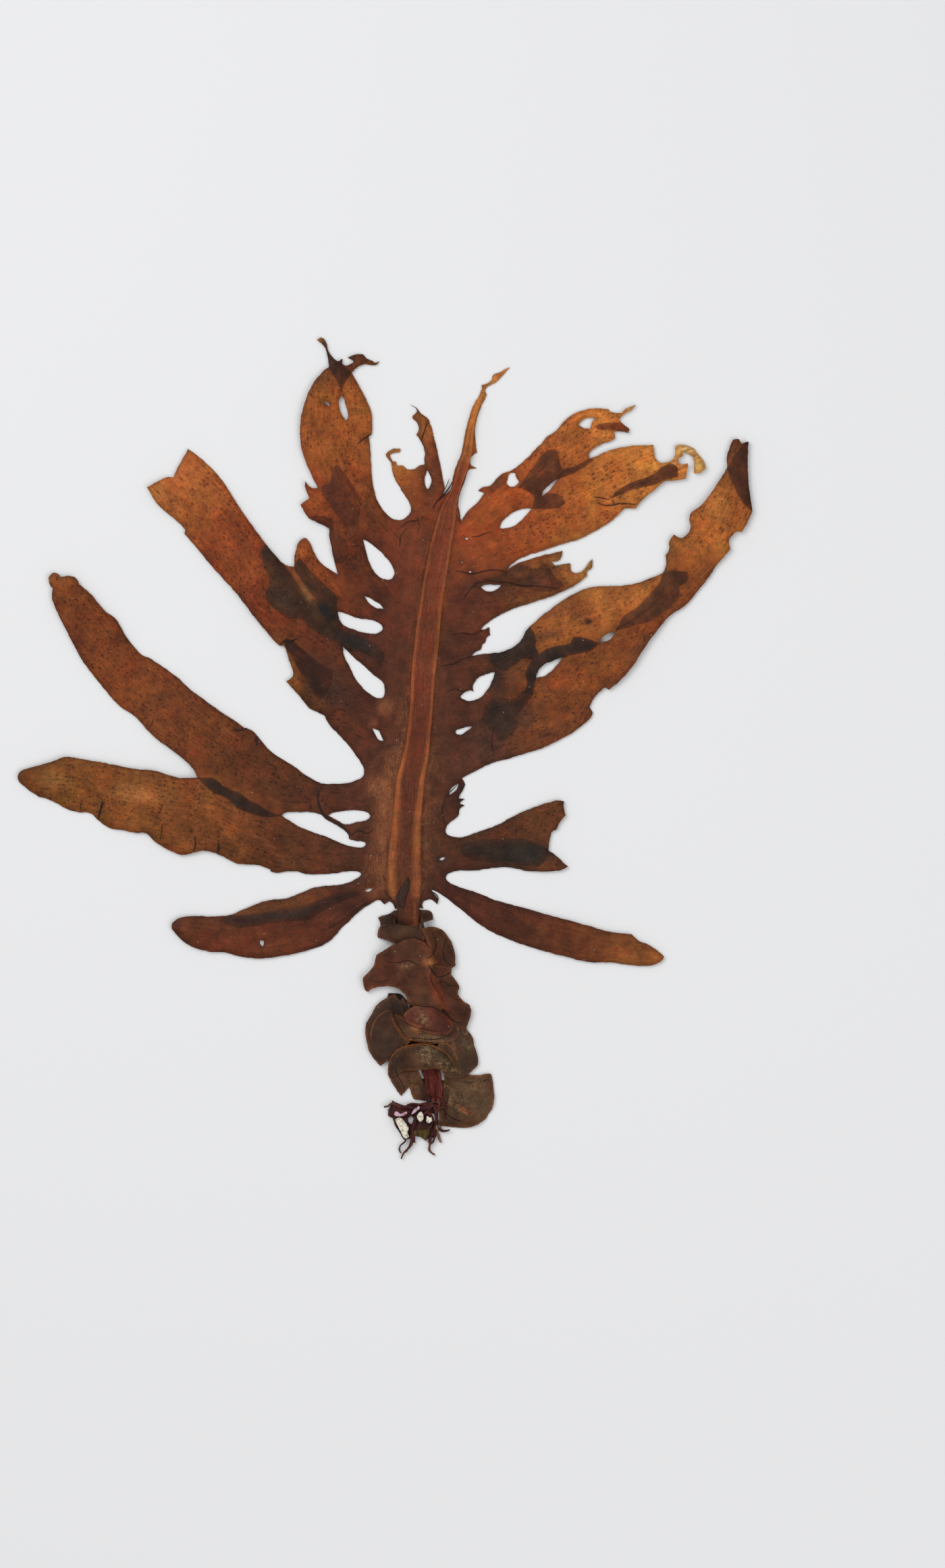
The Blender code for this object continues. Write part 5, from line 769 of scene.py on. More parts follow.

# Creases and curled rims on the sporophylls, as (width, tone, points)
# The dark creases are partly their own colour and partly painted shade in the folds
FRILL_LINES = [
    (0.5, (150, 88, 46), [(-4.0, -85.0), (-4.0, -82.8), (-3.3, -80.3), (-2.0, -78.2), (-0.4, -77.0),
                          (1.4, -76.2)]),
    (0.5, (140, 80, 42), [(1.5, -76.2), (2.3, -79.4), (3.8, -82.3), (5.4, -84.4), (7.2, -85.4)]),
    (0.3, (44, 32, 27), [(2.4, -76.6), (3.4, -79.8), (5.0, -82.6), (6.8, -84.4)]),
    (0.5, (150, 90, 48), [(2.0, -92.0), (1.8, -90.2), (3.2, -88.2), (5.4, -86.9), (8.2, -86.2), (11.4, -86.0),
                          (14.6, -86.8), (17.6, -88.6), (19.6, -91.0), (20.4, -93.2)]),
    (0.45, (150, 92, 50), [(6.2, -84.6), (9.0, -85.2), (12.6, -85.8), (16.4, -85.8), (18.8, -86.6),
                           (20.6, -89.6), (21.0, -92.2)]),
    (0.35, (112, 70, 42), [(17.2, -101.2), (20.0, -103.4), (23.0, -105.4), (24.6, -106.2), (24.0, -107.6),
                           (21.4, -108.8), (18.0, -109.2)]),
    (0.3, (52, 36, 29), [(20.0, -96.4), (23.4, -97.2), (27.4, -97.0), (30.2, -96.2)]),
    (0.6, (34, 26, 24), [(12.4, -62.8), (14.0, -65.2), (15.4, -66.6), (17.4, -66.2), (18.9, -65.4)]),
    (0.35, (50, 32, 26), [(13.4, -63.4), (15.8, -63.0), (18.4, -63.8)]),
    (0.35, (46, 30, 26), [(15.0, -68.4), (17.0, -68.0), (18.6, -69.2), (20.6, -69.0)]),
    (0.35, (48, 32, 26), [(16.4, -71.6), (18.4, -71.4), (20.2, -73.2), (22.0, -73.2)]),
    (0.35, (44, 30, 26), [(17.6, -76.2), (18.8, -78.4), (20.6, -79.8), (22.6, -80.0)]),
    (0.4, (118, 60, 34), [(14.2, -66.8), (15.0, -69.8), (16.6, -72.6), (17.6, -75.4)]),
    (0.3, (50, 34, 28), [(-4.4, -67.4), (-2.2, -68.2), (0.4, -67.6), (3.4, -67.8)]),
    (0.35, (46, 32, 27), [(4.6, -74.2), (5.6, -76.2), (5.2, -78.0), (6.4, -79.6)]),
    (0.3, (52, 36, 28), [(6.6, -84.0), (10.0, -84.4), (14.4, -84.6), (18.6, -83.6), (20.8, -82.0)]),
    (0.35, (50, 34, 28), [(3.0, -92.4), (3.6, -95.2), (5.0, -97.6), (5.8, -99.6)]),
    (0.3, (112, 70, 44), [(17.6, -97.4), (18.8, -100.6), (21.4, -103.6), (24.4, -105.6)]),
    (0.5, (120, 62, 34), [(13.0, -65.6), (14.0, -68.8), (15.8, -71.8), (17.4, -74.8)]),
    (0.5, (48, 32, 26), [(3.2, -56.9), (5.4, -55.8), (8.6, -55.3), (11.6, -56.6), (13.2, -58.4)]),
    (0.4, (50, 32, 26), [(-1.8, -60.6), (0.8, -62.2), (4.2, -62.4), (6.8, -61.8), (9.4, -63.0),
                         (11.4, -64.2)]),
    (0.4, (46, 30, 26), [(5.6, -72.6), (7.4, -74.4), (10.6, -74.9), (14.6, -75.6), (18.0, -77.8),
                         (19.6, -79.8)]),
    (0.35, (54, 34, 28), [(4.4, -79.0), (7.6, -80.6), (12.0, -81.8), (16.4, -82.4)]),
    (0.4, (46, 34, 29), [(-1.4, -52.6), (2.2, -51.4), (6.4, -51.6), (10.2, -52.8)]),
    (0.45, (112, 64, 38), [(19.4, -66.4), (20.2, -68.6), (20.0, -71.2), (21.8, -74.4), (22.4, -78.6)]),
    (0.4, (42, 30, 26), [(16.0, -103.6), (17.8, -106.2), (20.4, -108.0), (23.0, -108.6)]),
    (0.4, (40, 28, 24), [(13.6, -53.4), (14.8, -57.0), (13.6, -60.4), (11.8, -61.4)]),
    (0.35, (44, 32, 27), [(17.8, -55.4), (16.8, -58.6), (17.2, -61.6), (19.2, -63.6)]),
    (0.5, (150, 92, 52), [(7.4, -80.4), (8.4, -80.3), (9.8, -81.4), (10.6, -82.5), (9.0, -82.5), (7.6, -81.6),
                          (7.4, -80.4)]),
]

# The hook-shaped hole of the tall upper lobe
HOOK_HOLE = [(-17.4, 99.1), (-16.8, 98.8), (-16.1, 98.4), (-16.1, 99.4), (-16.8, 99.7), (-17.4, 99.9)]

# A pointed dark leaf that lies over the midrib where it becomes the stipe, and a greenish flap on the
# holdfast
SPEAR = [(3.0, -43.6), (4.2, -41.6), (5.6, -39.4), (6.7, -37.9), (7.2, -39.2), (6.9, -41.4), (5.9, -44.2),
         (5.4, -46.8), (4.0, -46.6)]
FLAP = [(8.1, -111.2), (10.4, -110.8), (12.8, -110.8), (12.9, -112.0), (12.2, -113.2), (11.7, -114.0),
        (10.8, -113.2), (9.6, -112.9), (8.2, -112.6)]

# Pinholes in the blade, as (X, Y, radius)
PINHOLES = [(23.6, 60.1, 0.38), (24.6, 50.5, 0.34), (22.2, 53.3, 0.24)]

# Stains and rubbed areas that lie over the overlaps too, as (X, Y, reach along X, reach along Y, turn in
# degrees, tone, strength)
STAINS = [
    (-17.6, 39.6, 1.7, 2.6, 30, (24, 22, 24), 1.0), (-15.4, 37.4, 1.6, 1.0, 0, (26, 24, 25), 0.9),
    (-8.5, 30.0, 6.5, 2.0, -22, (36, 30, 29), 0.85), (-30, 43, 3.4, 3.0, 0, (62, 46, 36), 0.5),
    (-22.4, 43.6, 3.4, 0.5, -52, (128, 92, 54), 0.6), (-27.6, 39, 4.2, 1.6, -40, (72, 50, 38), 0.3),
    (-34.5, 55.0, 1.6, 2.0, 0, (48, 32, 27), 0.6), (30.5, 19.5, 3.4, 2.6, 20, (40, 33, 30), 0.7),
    (35.5, 30.6, 4.6, 1.6, 30, (46, 36, 31), 0.7), (24.0, 31.0, 6.0, 1.2, 18, (62, 38, 31), 0.5),
    (33.5, 12.5, 2.0, 4.5, 8, (58, 38, 30), 0.5), (47.5, 32.2, 5.0, 1.3, 12, (46, 34, 29), 0.6),
    (58.8, 36.0, 1.4, 0.8, 20, (30, 25, 24), 0.9), (-44.5, -15.2, 5.5, 0.9, -38, (40, 33, 31), 0.6),
    (42.0, -31.0, 6.0, 2.4, 8, (46, 40, 36), 0.6), (-30.0, -48.8, 9.0, 1.2, 8, (52, 40, 34), 0.6),
    (44.0, 47.0, 4.0, 2.0, 0, (74, 42, 32), 0.5), (36.5, 7.0, 3.6, 3.6, 20, (84, 56, 42), 0.4),
]

# Patches of torn pale fibres on the web, as (X, Y, reach along X, reach along Y, turn, strength)
FIBROUS = [
    (-1.8, -11.8, 3.6, 3.8, 0, 1.0), (0.2, -17.5, 3.0, 3.4, -8, 0.9), (-0.6, -26.0, 3.2, 4.2, 4, 0.95),
    (-1.8, -35.0, 2.6, 4.0, 0, 0.45), (0.4, 11.5, 2.6, 2.4, 30, 0.85), (-3.4, 6.4, 1.8, 1.4, 30, 0.5),
    (10.6, -5.0, 1.6, 6.0, -8, 0.55), (11.4, -30.0, 1.6, 9.0, 2, 0.4), (13.6, -16.0, 3.2, 1.6, 20, 0.45),
    (-3.0, -42.0, 3.0, 1.6, 0, 0.6),
]

# Where the weave of a cloth is pressed into the sporophylls, as (X, Y, reach along X, reach along Y, turn,
# strength)
WEAVE = [
    (6.2, -63.6, 2.0, 1.1, 12, 0.8), (10.9, -78.8, 2.0, 2.6, 20, 1.0), (13.0, -84.9, 6.5, 0.9, -4, 0.95),
    (12.0, -88.8, 2.8, 3.2, 10, 0.95), (17.0, -91.8, 4.4, 1.6, -35, 0.75), (19.5, -93.6, 2.6, 0.8, -15, 0.9),
    (23.8, -85.5, 1.4, 3.6, 5, 0.65), (26.5, -98.0, 3.6, 2.2, 10, 0.6), (22.0, -102.5, 6.5, 4.5, -25, 0.3),
    (20.6, -103.8, 4.4, 1.1, -38, 1.0), (18.6, -99.8, 1.2, 3.6, 20, 0.6), (8.6, -97.4, 1.6, 2.6, 20, 0.5),
    (19.8, -87.0, 0.8, 2.4, 10, 0.7),
]

# Skin that joins the sporophylls to the sides of the stipe
FRILL_WEBS = [
    [(2.6, -47.6), (4.2, -47.4), (5.0, -49.0), (4.6, -51.6), (2.6, -51.8), (1.8, -49.6)],
    [(8.2, -47.0), (10.4, -47.4), (11.0, -49.4), (10.4, -51.2), (8.6, -50.6), (7.8, -48.8)],
    [(9.6, -96.4), (12.6, -96.4), (13.2, -99.4), (12.4, -102.2), (10.6, -102.4), (9.8, -99.4)],
    [(15.8, -96.6), (19.6, -97.2), (20.0, -100.6), (18.6, -103.6), (16.4, -103.0), (15.2, -99.6)],
    [(1.0, -71.4), (4.6, -71.8), (6.4, -74.4), (5.6, -77.6), (2.2, -77.2), (0.4, -74.0)],
    [(15.4, -73.4), (18.8, -74.0), (20.2, -77.0), (18.6, -79.8), (15.6, -78.8)],
    [(5.0, -82.6), (10.0, -83.2), (15.0, -83.0), (18.0, -84.0), (14.0, -87.0), (8.0, -87.0), (4.4, -85.6)],
    [(10.6, -60.4), (15.6, -60.6), (18.4, -63.6), (15.8, -67.2), (11.8, -65.6)],
]

# Thin branches that tangle over the holdfast, as rows of (X, Y, Z, radius)
TANGLE = [
    [(13.0, -101.2, 1.5, 0.75), (12.0, -103.4, 1.4, 0.6), (9.6, -105.0, 1.3, 0.5), (6.8, -105.6, 1.1, 0.4),
     (4.4, -106.8, 0.7, 0.25)],
    [(14.0, -101.6, 1.6, 0.8), (13.2, -104.4, 1.5, 0.6), (11.4, -106.4, 1.4, 0.5), (10.2, -108.8, 1.3, 0.4),
     (9.6, -111.4, 1.0, 0.3)],
    [(15.4, -101.6, 1.6, 0.8), (15.6, -104.4, 1.5, 0.6), (14.6, -106.6, 1.4, 0.5), (15.6, -109.0, 1.2, 0.4),
     (16.4, -111.4, 0.9, 0.3)],
    [(16.2, -101.8, 1.4, 0.6), (17.6, -104.2, 1.3, 0.5), (17.2, -106.6, 1.2, 0.4), (18.0, -109.0, 0.9, 0.3)],
    [(11.8, -103.2, 1.5, 0.5), (9.8, -103.6, 1.3, 0.4), (7.4, -103.4, 1.1, 0.35), (5.6, -104.4, 0.8, 0.25)],
    [(12.2, -105.8, 1.5, 0.45), (13.8, -107.4, 1.4, 0.4), (13.4, -109.6, 1.3, 0.35),
     (12.2, -111.0, 1.0, 0.3)],
    [(8.6, -105.2, 1.4, 0.45), (7.2, -106.8, 1.3, 0.4), (5.8, -107.6, 1.1, 0.3), (4.8, -109.0, 0.8, 0.25)],
    [(10.4, -104.8, 1.5, 0.4), (11.2, -103.8, 1.6, 0.4), (13.4, -103.6, 1.7, 0.4), (16.6, -104.6, 1.4, 0.3)],
]


def srgb(tone):
    """Linear values of an sRGB tone out of 255."""
    value = np.array(tone, float) / 255
    return np.where(value <= 0.04045, value / 12.92, ((value + 0.055) / 1.055) ** 2.4)


def blended(colour, other, share):
    """Two colours mixed, with all of the other at a share of 1."""
    return colour * (1 - share) + other * share


def smooth_run(points, spacing):
    """Points along a centripetal curve through the given ones, no further apart than the spacing."""
    nodes = [np.array(p, float) for p in points]
    if len(points) == 2:
        count = max(1, math.ceil(np.linalg.norm(nodes[1] - nodes[0]) / spacing))
        return [tuple(nodes[0] + (nodes[1] - nodes[0]) * k / count) for k in range(count)]
    nodes = [2 * nodes[0] - nodes[1]] + nodes + [2 * nodes[-1] - nodes[-2]]
    found = []
    for a, b, c, d in zip(nodes, nodes[1:], nodes[2:], nodes[3:]):
        t1 = math.sqrt(np.linalg.norm(b - a))
        t2 = t1 + math.sqrt(np.linalg.norm(c - b))
        t3 = t2 + math.sqrt(np.linalg.norm(d - c))
        count = max(1, math.ceil(np.linalg.norm(c - b) / spacing))
        for k in range(count):
            t = t1 + (t2 - t1) * k / count
            ab = a + (b - a) * t / t1
            bc = b + (c - b) * (t - t1) / (t2 - t1)
            cd = c + (d - c) * (t - t2) / (t3 - t2)
            abc = ab + (bc - ab) * t / t2
            bcd = bc + (cd - bc) * (t - t1) / (t3 - t1)
            point = abc + (bcd - abc) * (t - t1) / (t2 - t1)
            found.append((float(point[0]), float(point[1])))
    return found


def ragged(x, y):
    """A point of an edge moved a little, so that edges look torn and worn and still meet."""
    coarse = noise.noise_vector(Vector((x * 0.55, y * 0.55, 3.1)))
    fine = noise.noise_vector(Vector((x * 1.9, y * 1.9, 7.7)))
    return x + COARSE_RAG * coarse.x + FINE_RAG * fine.x, y + COARSE_RAG * coarse.y + FINE_RAG * fine.y


def closed_loop(runs, spacing):
    """One closed loop of points from smooth runs that meet in corners."""
    loop = []
    start = runs[-1][-1]
    for run in runs:
        loop += smooth_run([start] + run, spacing)
        start = run[-1]
    return [ragged(x, y) for x, y in loop]


def inside(loop, points):
    """True for each of the points that lies inside the closed loop."""
    order = np.argsort(points[:, 1])
    ys = points[order, 1]
    found = np.zeros(len(points), bool)
    for (ax, ay), (bx, by) in zip(loop, loop[1:] + loop[:1]):
        if ay == by:
            continue
        first = np.searchsorted(ys, min(ay, by), side="left")
        last = np.searchsorted(ys, max(ay, by), side="left")
        these = order[first:last]
        found[these] ^= points[these, 0] < (bx - ax) * (points[these, 1] - ay) / (by - ay) + ax
    return found


def edge_arrays(loop):
    """The edges of a loop as arrays, for within()."""
    ends = np.array(loop)
    following = np.roll(ends, -1, axis=0)
    return ends[:, 0], ends[:, 1], following[:, 0], following[:, 1]


def within(edges, x, y):
    """True if the one point lies inside the loop."""
    ax, ay, bx, by = edges
    crossed = (ay > y) != (by > y)
    ax, ay, bx, by = ax[crossed], ay[crossed], bx[crossed], by[crossed]
    return int(np.count_nonzero(x < (bx - ax) * (y - ay) / (by - ay) + ax)) % 2 == 1


def grid_points(loops, spacing):
    """A triangular grid over the loops, clear of their points."""
    corners = np.concatenate([np.array(loop) for loop in loops])
    low, high = corners.min(axis=0), corners.max(axis=0)
    cell = spacing * 0.5
    taken = set()
    for x, y in corners:
        i, j = int((x - low[0]) / cell), int((y - low[1]) / cell)
        taken.update((i + a, j + b) for a in (-1, 0, 1) for b in (-1, 0, 1))
    found = []
    row_height = spacing * math.sqrt(0.75)
    for row in range(int((high[1] - low[1]) / row_height) + 1):
        y = low[1] + row * row_height
        for column in range(int((high[0] - low[0]) / spacing) + 1):
            x = low[0] + (spacing / 2 if row % 2 else 0.0) + column * spacing
            if (int((x - low[0]) / cell), int((y - low[1]) / cell)) not in taken:
                found.append((x, y))
    return found


def smoothstep(low, high, value):
    """An eased step from 0 at the low value to 1 at the high one, which may also be the smaller."""
    t = min(max((value - low) / (high - low), 0.0), 1.0)
    return t * t * (3 - 2 * t)


def off_midrib(x, y):
    """How far a point lies outside the midrib or stipe, at its height along the plant."""
    left = float(np.interp(y, MIDRIB_Y, MIDRIB_LEFT))
    right = float(np.interp(y, MIDRIB_Y, MIDRIB_RIGHT))
    return max(left - x, x - right, 0.0)


def blade_floor(x, y):
    """Height of the blade's underside, as in the CAD."""
    amount = smoothstep(FLAT_HALF_WIDTH, WAVE_FULL_AT, off_midrib(x, y))
    wave = math.sin(0.085 * x + 0.03 * y + 0.6) * math.cos(0.07 * y - 0.02 * x)
    wave += 0.4 * math.sin(0.15 * y + 0.05 * x)
    return BLADE_WAVE * amount * (0.5 + wave / 2.8)


def cluster_floor(x, y):
    """Height of the sporophylls' underside, as in the CAD."""
    over = smoothstep(CLUSTER_SHOULDER, 1.6, off_midrib(x, y))
    over *= smoothstep(CLUSTER_OPENS_AT, CLUSTER_CLOSES_AT, y) * smoothstep(NECK_OPENS_AT, NECK_CLOSES_AT, y)
    ripple = 0.35 * (1 + math.sin(0.55 * x + 0.2 * y) * math.cos(0.4 * y - 0.15 * x))
    rim = smoothstep(5.0, 12.0, off_midrib(x, y))
    return (STIPE_HEIGHT + CLUSTER_CLEARANCE) * over + ripple * rim


def cluster_top(x, y, level):
    """Height of a leaf of the sporophylls, whose steps get lower away from the stipe, as in the CAD."""
    fall = 1.0 - 0.55 * smoothstep(2.0, 13.0, off_midrib(x, y))
    return cluster_floor(x, y) + FRILL_THICKNESS + FRILL_STEP * level * fall


def relief(x, y, size, seed):
    """Rough noise with bumps of a size in millimetres."""
    return noise.fractal(Vector((x / size, y / size, seed)), 0.8, 2.1, 3)


def smooth_noise(points, scale, seed):
    """Smooth noise at each of the points."""
    return np.array([noise.noise(Vector((x * scale, y * scale, seed))) for x, y in points.tolist()])


class Builder:
    """Gathers vertices with their colour and masks, and faces, into one mesh."""

    def __init__(self):
        self.points, self.faces, self.tints, self.masks, self.flows = [], [], [], [], []

    def vertex(self, point, tint, spots=0.0, gold=0.0, fibre=0.0, flow=(0.0, 0.0, 0.0)):
        self.points.append((point[0] * MM, point[1] * MM, point[2] * MM))
        self.tints.append((*tint, 1.0))
        self.masks.append((spots, gold, fibre))
        self.flows.append(flow)
        return len(self.points) - 1

    def join(self, rings):
        """Faces all round between each closed ring of vertices and the next."""
        for first, second in zip(rings, rings[1:]):
            for i in range(len(first)):
                j = (i + 1) % len(first)
                self.faces.append((first[i], first[j], second[j], second[i]))

    def attribute(self, data, name, kind, field, values):
        made = data.attributes.new(name, kind, "POINT")
        made.data.foreach_set(field, np.array(values, np.float32).ravel())

    def made(self, name, material, slot, *nodes):
        """The finished piece, which replaces nodes of the part."""
        data = bpy.data.meshes.new(name)
        data.from_pydata(self.points, [], self.faces)
        data.update()
        self.attribute(data, "tint", "FLOAT_COLOR", "color", self.tints)
        self.attribute(data, "masks", "FLOAT_VECTOR", "vector", self.masks)
        self.attribute(data, "flow", "FLOAT_VECTOR", "vector", self.flows)
        data.shade_smooth()
        data.materials.append(material)
        piece = bpy.data.objects.new(name, data)
        bpy.context.scene.collection.objects.link(piece)
        piece.data.transform(Matrix.Translation(Vector(SHIFT) * MM))
        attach(piece, "root")
        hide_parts(*nodes)
        return piece


def edge_distance(loop, points):
    """Distance from each point to the nearest point of the loop."""
    tree = kdtree.KDTree(len(loop))
    for i, (x, y) in enumerate(loop):
        tree.insert((x, y, 0.0), i)
    tree.balance()
    return np.array([tree.find((float(x), float(y), 0.0))[2] for x, y in points])


def soft_spot(points, x, y, reach_x, reach_y, turn):
    """How much each point lies in a soft oval, from 0 to 1."""
    angle = math.radians(turn)
    dx, dy = points[:, 0] - x, points[:, 1] - y
    u = (dx * math.cos(angle) + dy * math.sin(angle)) / reach_x
    v = (dy * math.cos(angle) - dx * math.sin(angle)) / reach_y
    return np.exp(-((u * u + v * v) ** 1.4))


def with_spots(tint, points, spots):
    """The colours with soft ovals of other tones over them."""
    for *oval, tone, strength in spots:
        tint = blended(tint, srgb(tone), (soft_spot(points, *oval) * strength)[:, None])
    return tint


def along_lobe(lobe, points, start):
    """Distance from each point to a lobe's axis, and the tone and the flow at the nearest place on it."""
    nearest = np.full(len(points), FAR)
    tint = np.zeros((len(points), 3))
    flow = np.zeros((len(points), 3))
    for (ax, ay, a_tone), (bx, by, b_tone) in zip(lobe, lobe[1:]):
        along = np.array((bx - ax, by - ay))
        length = np.linalg.norm(along)
        along = along / length
        offset = points - (ax, ay)
        u = np.clip(offset @ along, 0, length)
        d = np.linalg.norm(offset - u[:, None] * along, axis=1)
        across = offset[:, 0] * along[1] - offset[:, 1] * along[0]
        tone = blended(srgb(a_tone), srgb(b_tone), (u / length)[:, None])
        closer = d < nearest
        nearest = np.where(closer, d, nearest)
        tint[closer] = tone[closer]
        flow[closer] = np.stack([start + u, across, np.ones(len(u))], axis=1)[closer]
        start += length
    return nearest, tint, flow


def lobe_tones(points):
    """Colour of the blade at each point, blended from the lobes' axes, and the flow of the nearest lobe."""
    total = np.zeros(len(points))
    tint = np.zeros((len(points), 3))
    nearest = np.full(len(points), FAR)
    second = np.full(len(points), FAR)
    flow = np.zeros((len(points), 3))
    for number, lobe in enumerate(LOBES):
        distance, lobe_tint, lobe_flow = along_lobe(lobe, points, number * LOBE_OFFSET)
        weight = 1 / (distance * distance + 6.0) ** 2
        total += weight
        tint += lobe_tint * weight[:, None]
        first = distance < nearest
        flow[first] = lobe_flow[first]
        second = np.where(first, nearest, np.minimum(second, distance))
        nearest = np.where(first, distance, nearest)
    flow[:, 2] = np.clip((second - nearest - 1.2) / 4.0, 0, 1)
    return tint / total[:, None] * BLADE_WARMTH, flow


def cut_sheet(outline, holes, layers, spacing):
    """Points and triangles of a sheet in the plane, with the number and level of each triangle's layer."""
    loops = ([outline] if outline else []) + holes + [loop for _, loop in layers]
    points = [p for loop in loops for p in loop]
    edges = []
    for loop in loops:
        start = len(edges)
        edges += [(start + i, start + (i + 1) % len(loop)) for i in range(len(loop))]
    points += grid_points(loops, spacing)
    flat, _, triangles, _, _, _ = delaunay_2d_cdt([Vector(p) for p in points], edges, [], 0, 1e-4)
    flat = np.array([(v.x, v.y) for v in flat])
    triangles = np.array([list(t) for t in triangles])
    centres = flat[triangles].mean(axis=1)
    owner = np.where(inside(outline, centres), 0, -1) if outline else np.full(len(centres), -1)
    height = np.where(owner >= 0, 0, -1).astype(float)
    for number, (level, loop) in enumerate(layers, 1):
        covered = inside(loop, centres) & (level >= height)
        if outline:
            covered &= owner >= 0
        owner[covered] = number
        height[covered] = level
    for hole in holes:
        owner[inside(hole, centres)] = -1
    kept = owner >= 0
    return flat, triangles[kept], owner[kept], height[kept]


def borders(triangles, height):
    """The sheet's own edges as (a, b, triangle), and its steps as (a, b, upper triangle, lower triangle)."""
    beside = {}
    for i, (a, b, c) in enumerate(triangles.tolist()):
        beside[a, b] = beside[b, c] = beside[c, a] = i
    rim = [(a, b, i) for (a, b), i in beside.items() if (b, a) not in beside]
    steps = [(a, b, i, beside[b, a]) for (a, b), i in beside.items()
             if (b, a) in beside and height[i] > height[beside[b, a]]]
    return rim, steps


def sheet(builder, outline, holes, layers, spacing, floor, top, thin, paint):
    """A sheet with raised layers, cut alike on both faces.

    layers are (level, loop), and a layer's number is its place in them from 1, with 0 for the sheet itself.
    floor(x, y) is the underside. top(x, y, level, layer number, distance to the layer's edge) is the upper
    side, and thin is how much it drops at the sheet's edge. paint(points, layer numbers, distances to the
    layer's edge, distances to the sheet's edge) gives the colours, masks and flow.
    """
    flat, triangles, owner, height = cut_sheet(outline, holes, layers, spacing)
    rim, steps = borders(triangles, height)
    rim_points = flat[sorted({v for a, b, _ in rim for v in (a, b)})]

    # A corner is a point together with the number of a layer that it is in
    owners = owner.tolist()
    corners = {}
    faces = []
    for triangle, own in zip(triangles.tolist(), owners):
        faces.append([corners.setdefault((v, own), len(corners)) for v in triangle])
    index, own = np.array(list(corners)).T
    xy = flat[index]
    level = np.array([0.0] + [float(h) for h, _ in layers])[own]
    inner = np.full(len(corners), NO_LAYER)
    for number, (_, loop) in enumerate(layers, 1):
        these = own == number
        if these.any():
            inner[these] = edge_distance(loop, xy[these])
    edge = edge_distance(rim_points, flat)[index]
    tints, masks, flows = paint(xy, own, inner, edge)

    base = len(builder.points)
    tops = {}
    for k, (corner, (x, y)) in enumerate(zip(corners, xy.tolist())):
        drop = thin * (1 - smoothstep(0.0, 1.6, float(edge[k])))
        tops[corner] = top(x, y, float(level[k]), int(own[k]), float(inner[k])) - drop
        builder.vertex((x, y, tops[corner]), tints[k], *masks[k], flow=tuple(flows[k]))
    builder.faces += [(base + a, base + b, base + c) for a, b, c in faces]
    # The underside, darkened as painted shade
    under = {}
    for (v, _), k in corners.items():
        if v not in under:
            x, y = flat[v].tolist()
            shade = tints[k] * UNDER_SHADE
            under[v] = builder.vertex((x, y, floor(x, y)), shade, *masks[k], flow=tuple(flows[k]))
    builder.faces += [(under[c], under[b], under[a]) for a, b, c in triangles.tolist()]

    def wall(posts, shade):
        """An upright face. Posts are (point, layer number, whether it is on the floor)."""
        face = []
        for v, number, low in posts:
            x, y = flat[v].tolist()
            k = corners[v, number]
            z = floor(x, y) if low else tops[v, number]
            face.append(builder.vertex((x, y, z), tints[k] * shade, flow=tuple(flows[k])))
        builder.faces.append(tuple(face))

    # The walls at the sheet's edge and at its steps, darkened as painted shade
    for a, b, i in rim:
        number = owners[i]
        wall([(a, number, True), (b, number, True), (b, number, False), (a, number, False)], RIM_SHADE)
    for a, b, i, j in steps:
        upper, lower = owners[i], owners[j]
        wall([(a, lower, False), (b, lower, False), (b, upper, False), (a, upper, False)], STEP_SHADE)


def ribbon(builder, width, tone, points, ground, height):
    """A crease or thread: a low rounded ridge along a line, tapering at both ends."""
    path = np.array(smooth_run(points, 0.35) + [points[-1]])
    ahead = np.gradient(path, axis=0)
    ahead /= np.maximum(np.linalg.norm(ahead, axis=1), 1e-9)[:, None]
    tint = srgb(tone)
    rings = []
    for i, ((x, y), (u, v)) in enumerate(zip(path.tolist(), ahead.tolist())):
        t = i / (len(path) - 1)
        swell = 0.35 + 0.65 * math.sin(math.pi * min(max(t, 0.0), 1.0)) ** 0.6
        swell *= 1 + 0.35 * noise.noise(Vector((x * 0.9, y * 0.9, 5.0)))
        ring = []
        for s, lift in RIDGE_PROFILE:
            px, py = x - v * s * width * swell / 2, y + u * s * width * swell / 2
            z = ground(px, py) + height * swell * lift - RIDGE_SUNK
            # Painted shade: darker at the ridge's foot, lighter towards its crest
            ring.append(builder.vertex((px, py, z), tint * (0.85 + 0.15 * lift)))
        rings.append(ring)
    for first, second in zip(rings, rings[1:]):
        for k in range(len(RIDGE_PROFILE) - 1):
            builder.faces.append((first[k], second[k], second[k + 1], first[k + 1]))


def paint_overlap(tint, points, inner, number, tone):
    """The colours of one overlap's points, where they are tint without it."""
    x_y = points.tolist()
    uneven = np.array([noise.fractal(Vector((x * 0.22, y * 0.22, 8.0)), 0.8, 2.1, 4) for x, y in x_y])
    amount = 0.97 - 0.30 * np.clip(uneven - 0.1, 0, 1)
    fading = (points[:, 1] < SOFT_BELOW) & (number in SOFT_OVERLAPS)
    soft = inner / np.where(fading, SOFT_OVERLAPS.get(number, 1.0), 0.7)
    least = np.where(fading, 0.35, 0.80)
    amount = (amount * (least + (1 - least) * np.clip(soft, 0, 1)))[:, None]
    deep = srgb(tone) * OVERLAP_DEPTH * (1 + 0.45 * uneven)[:, None]
    return blended(tint * 0.7, deep, amount)


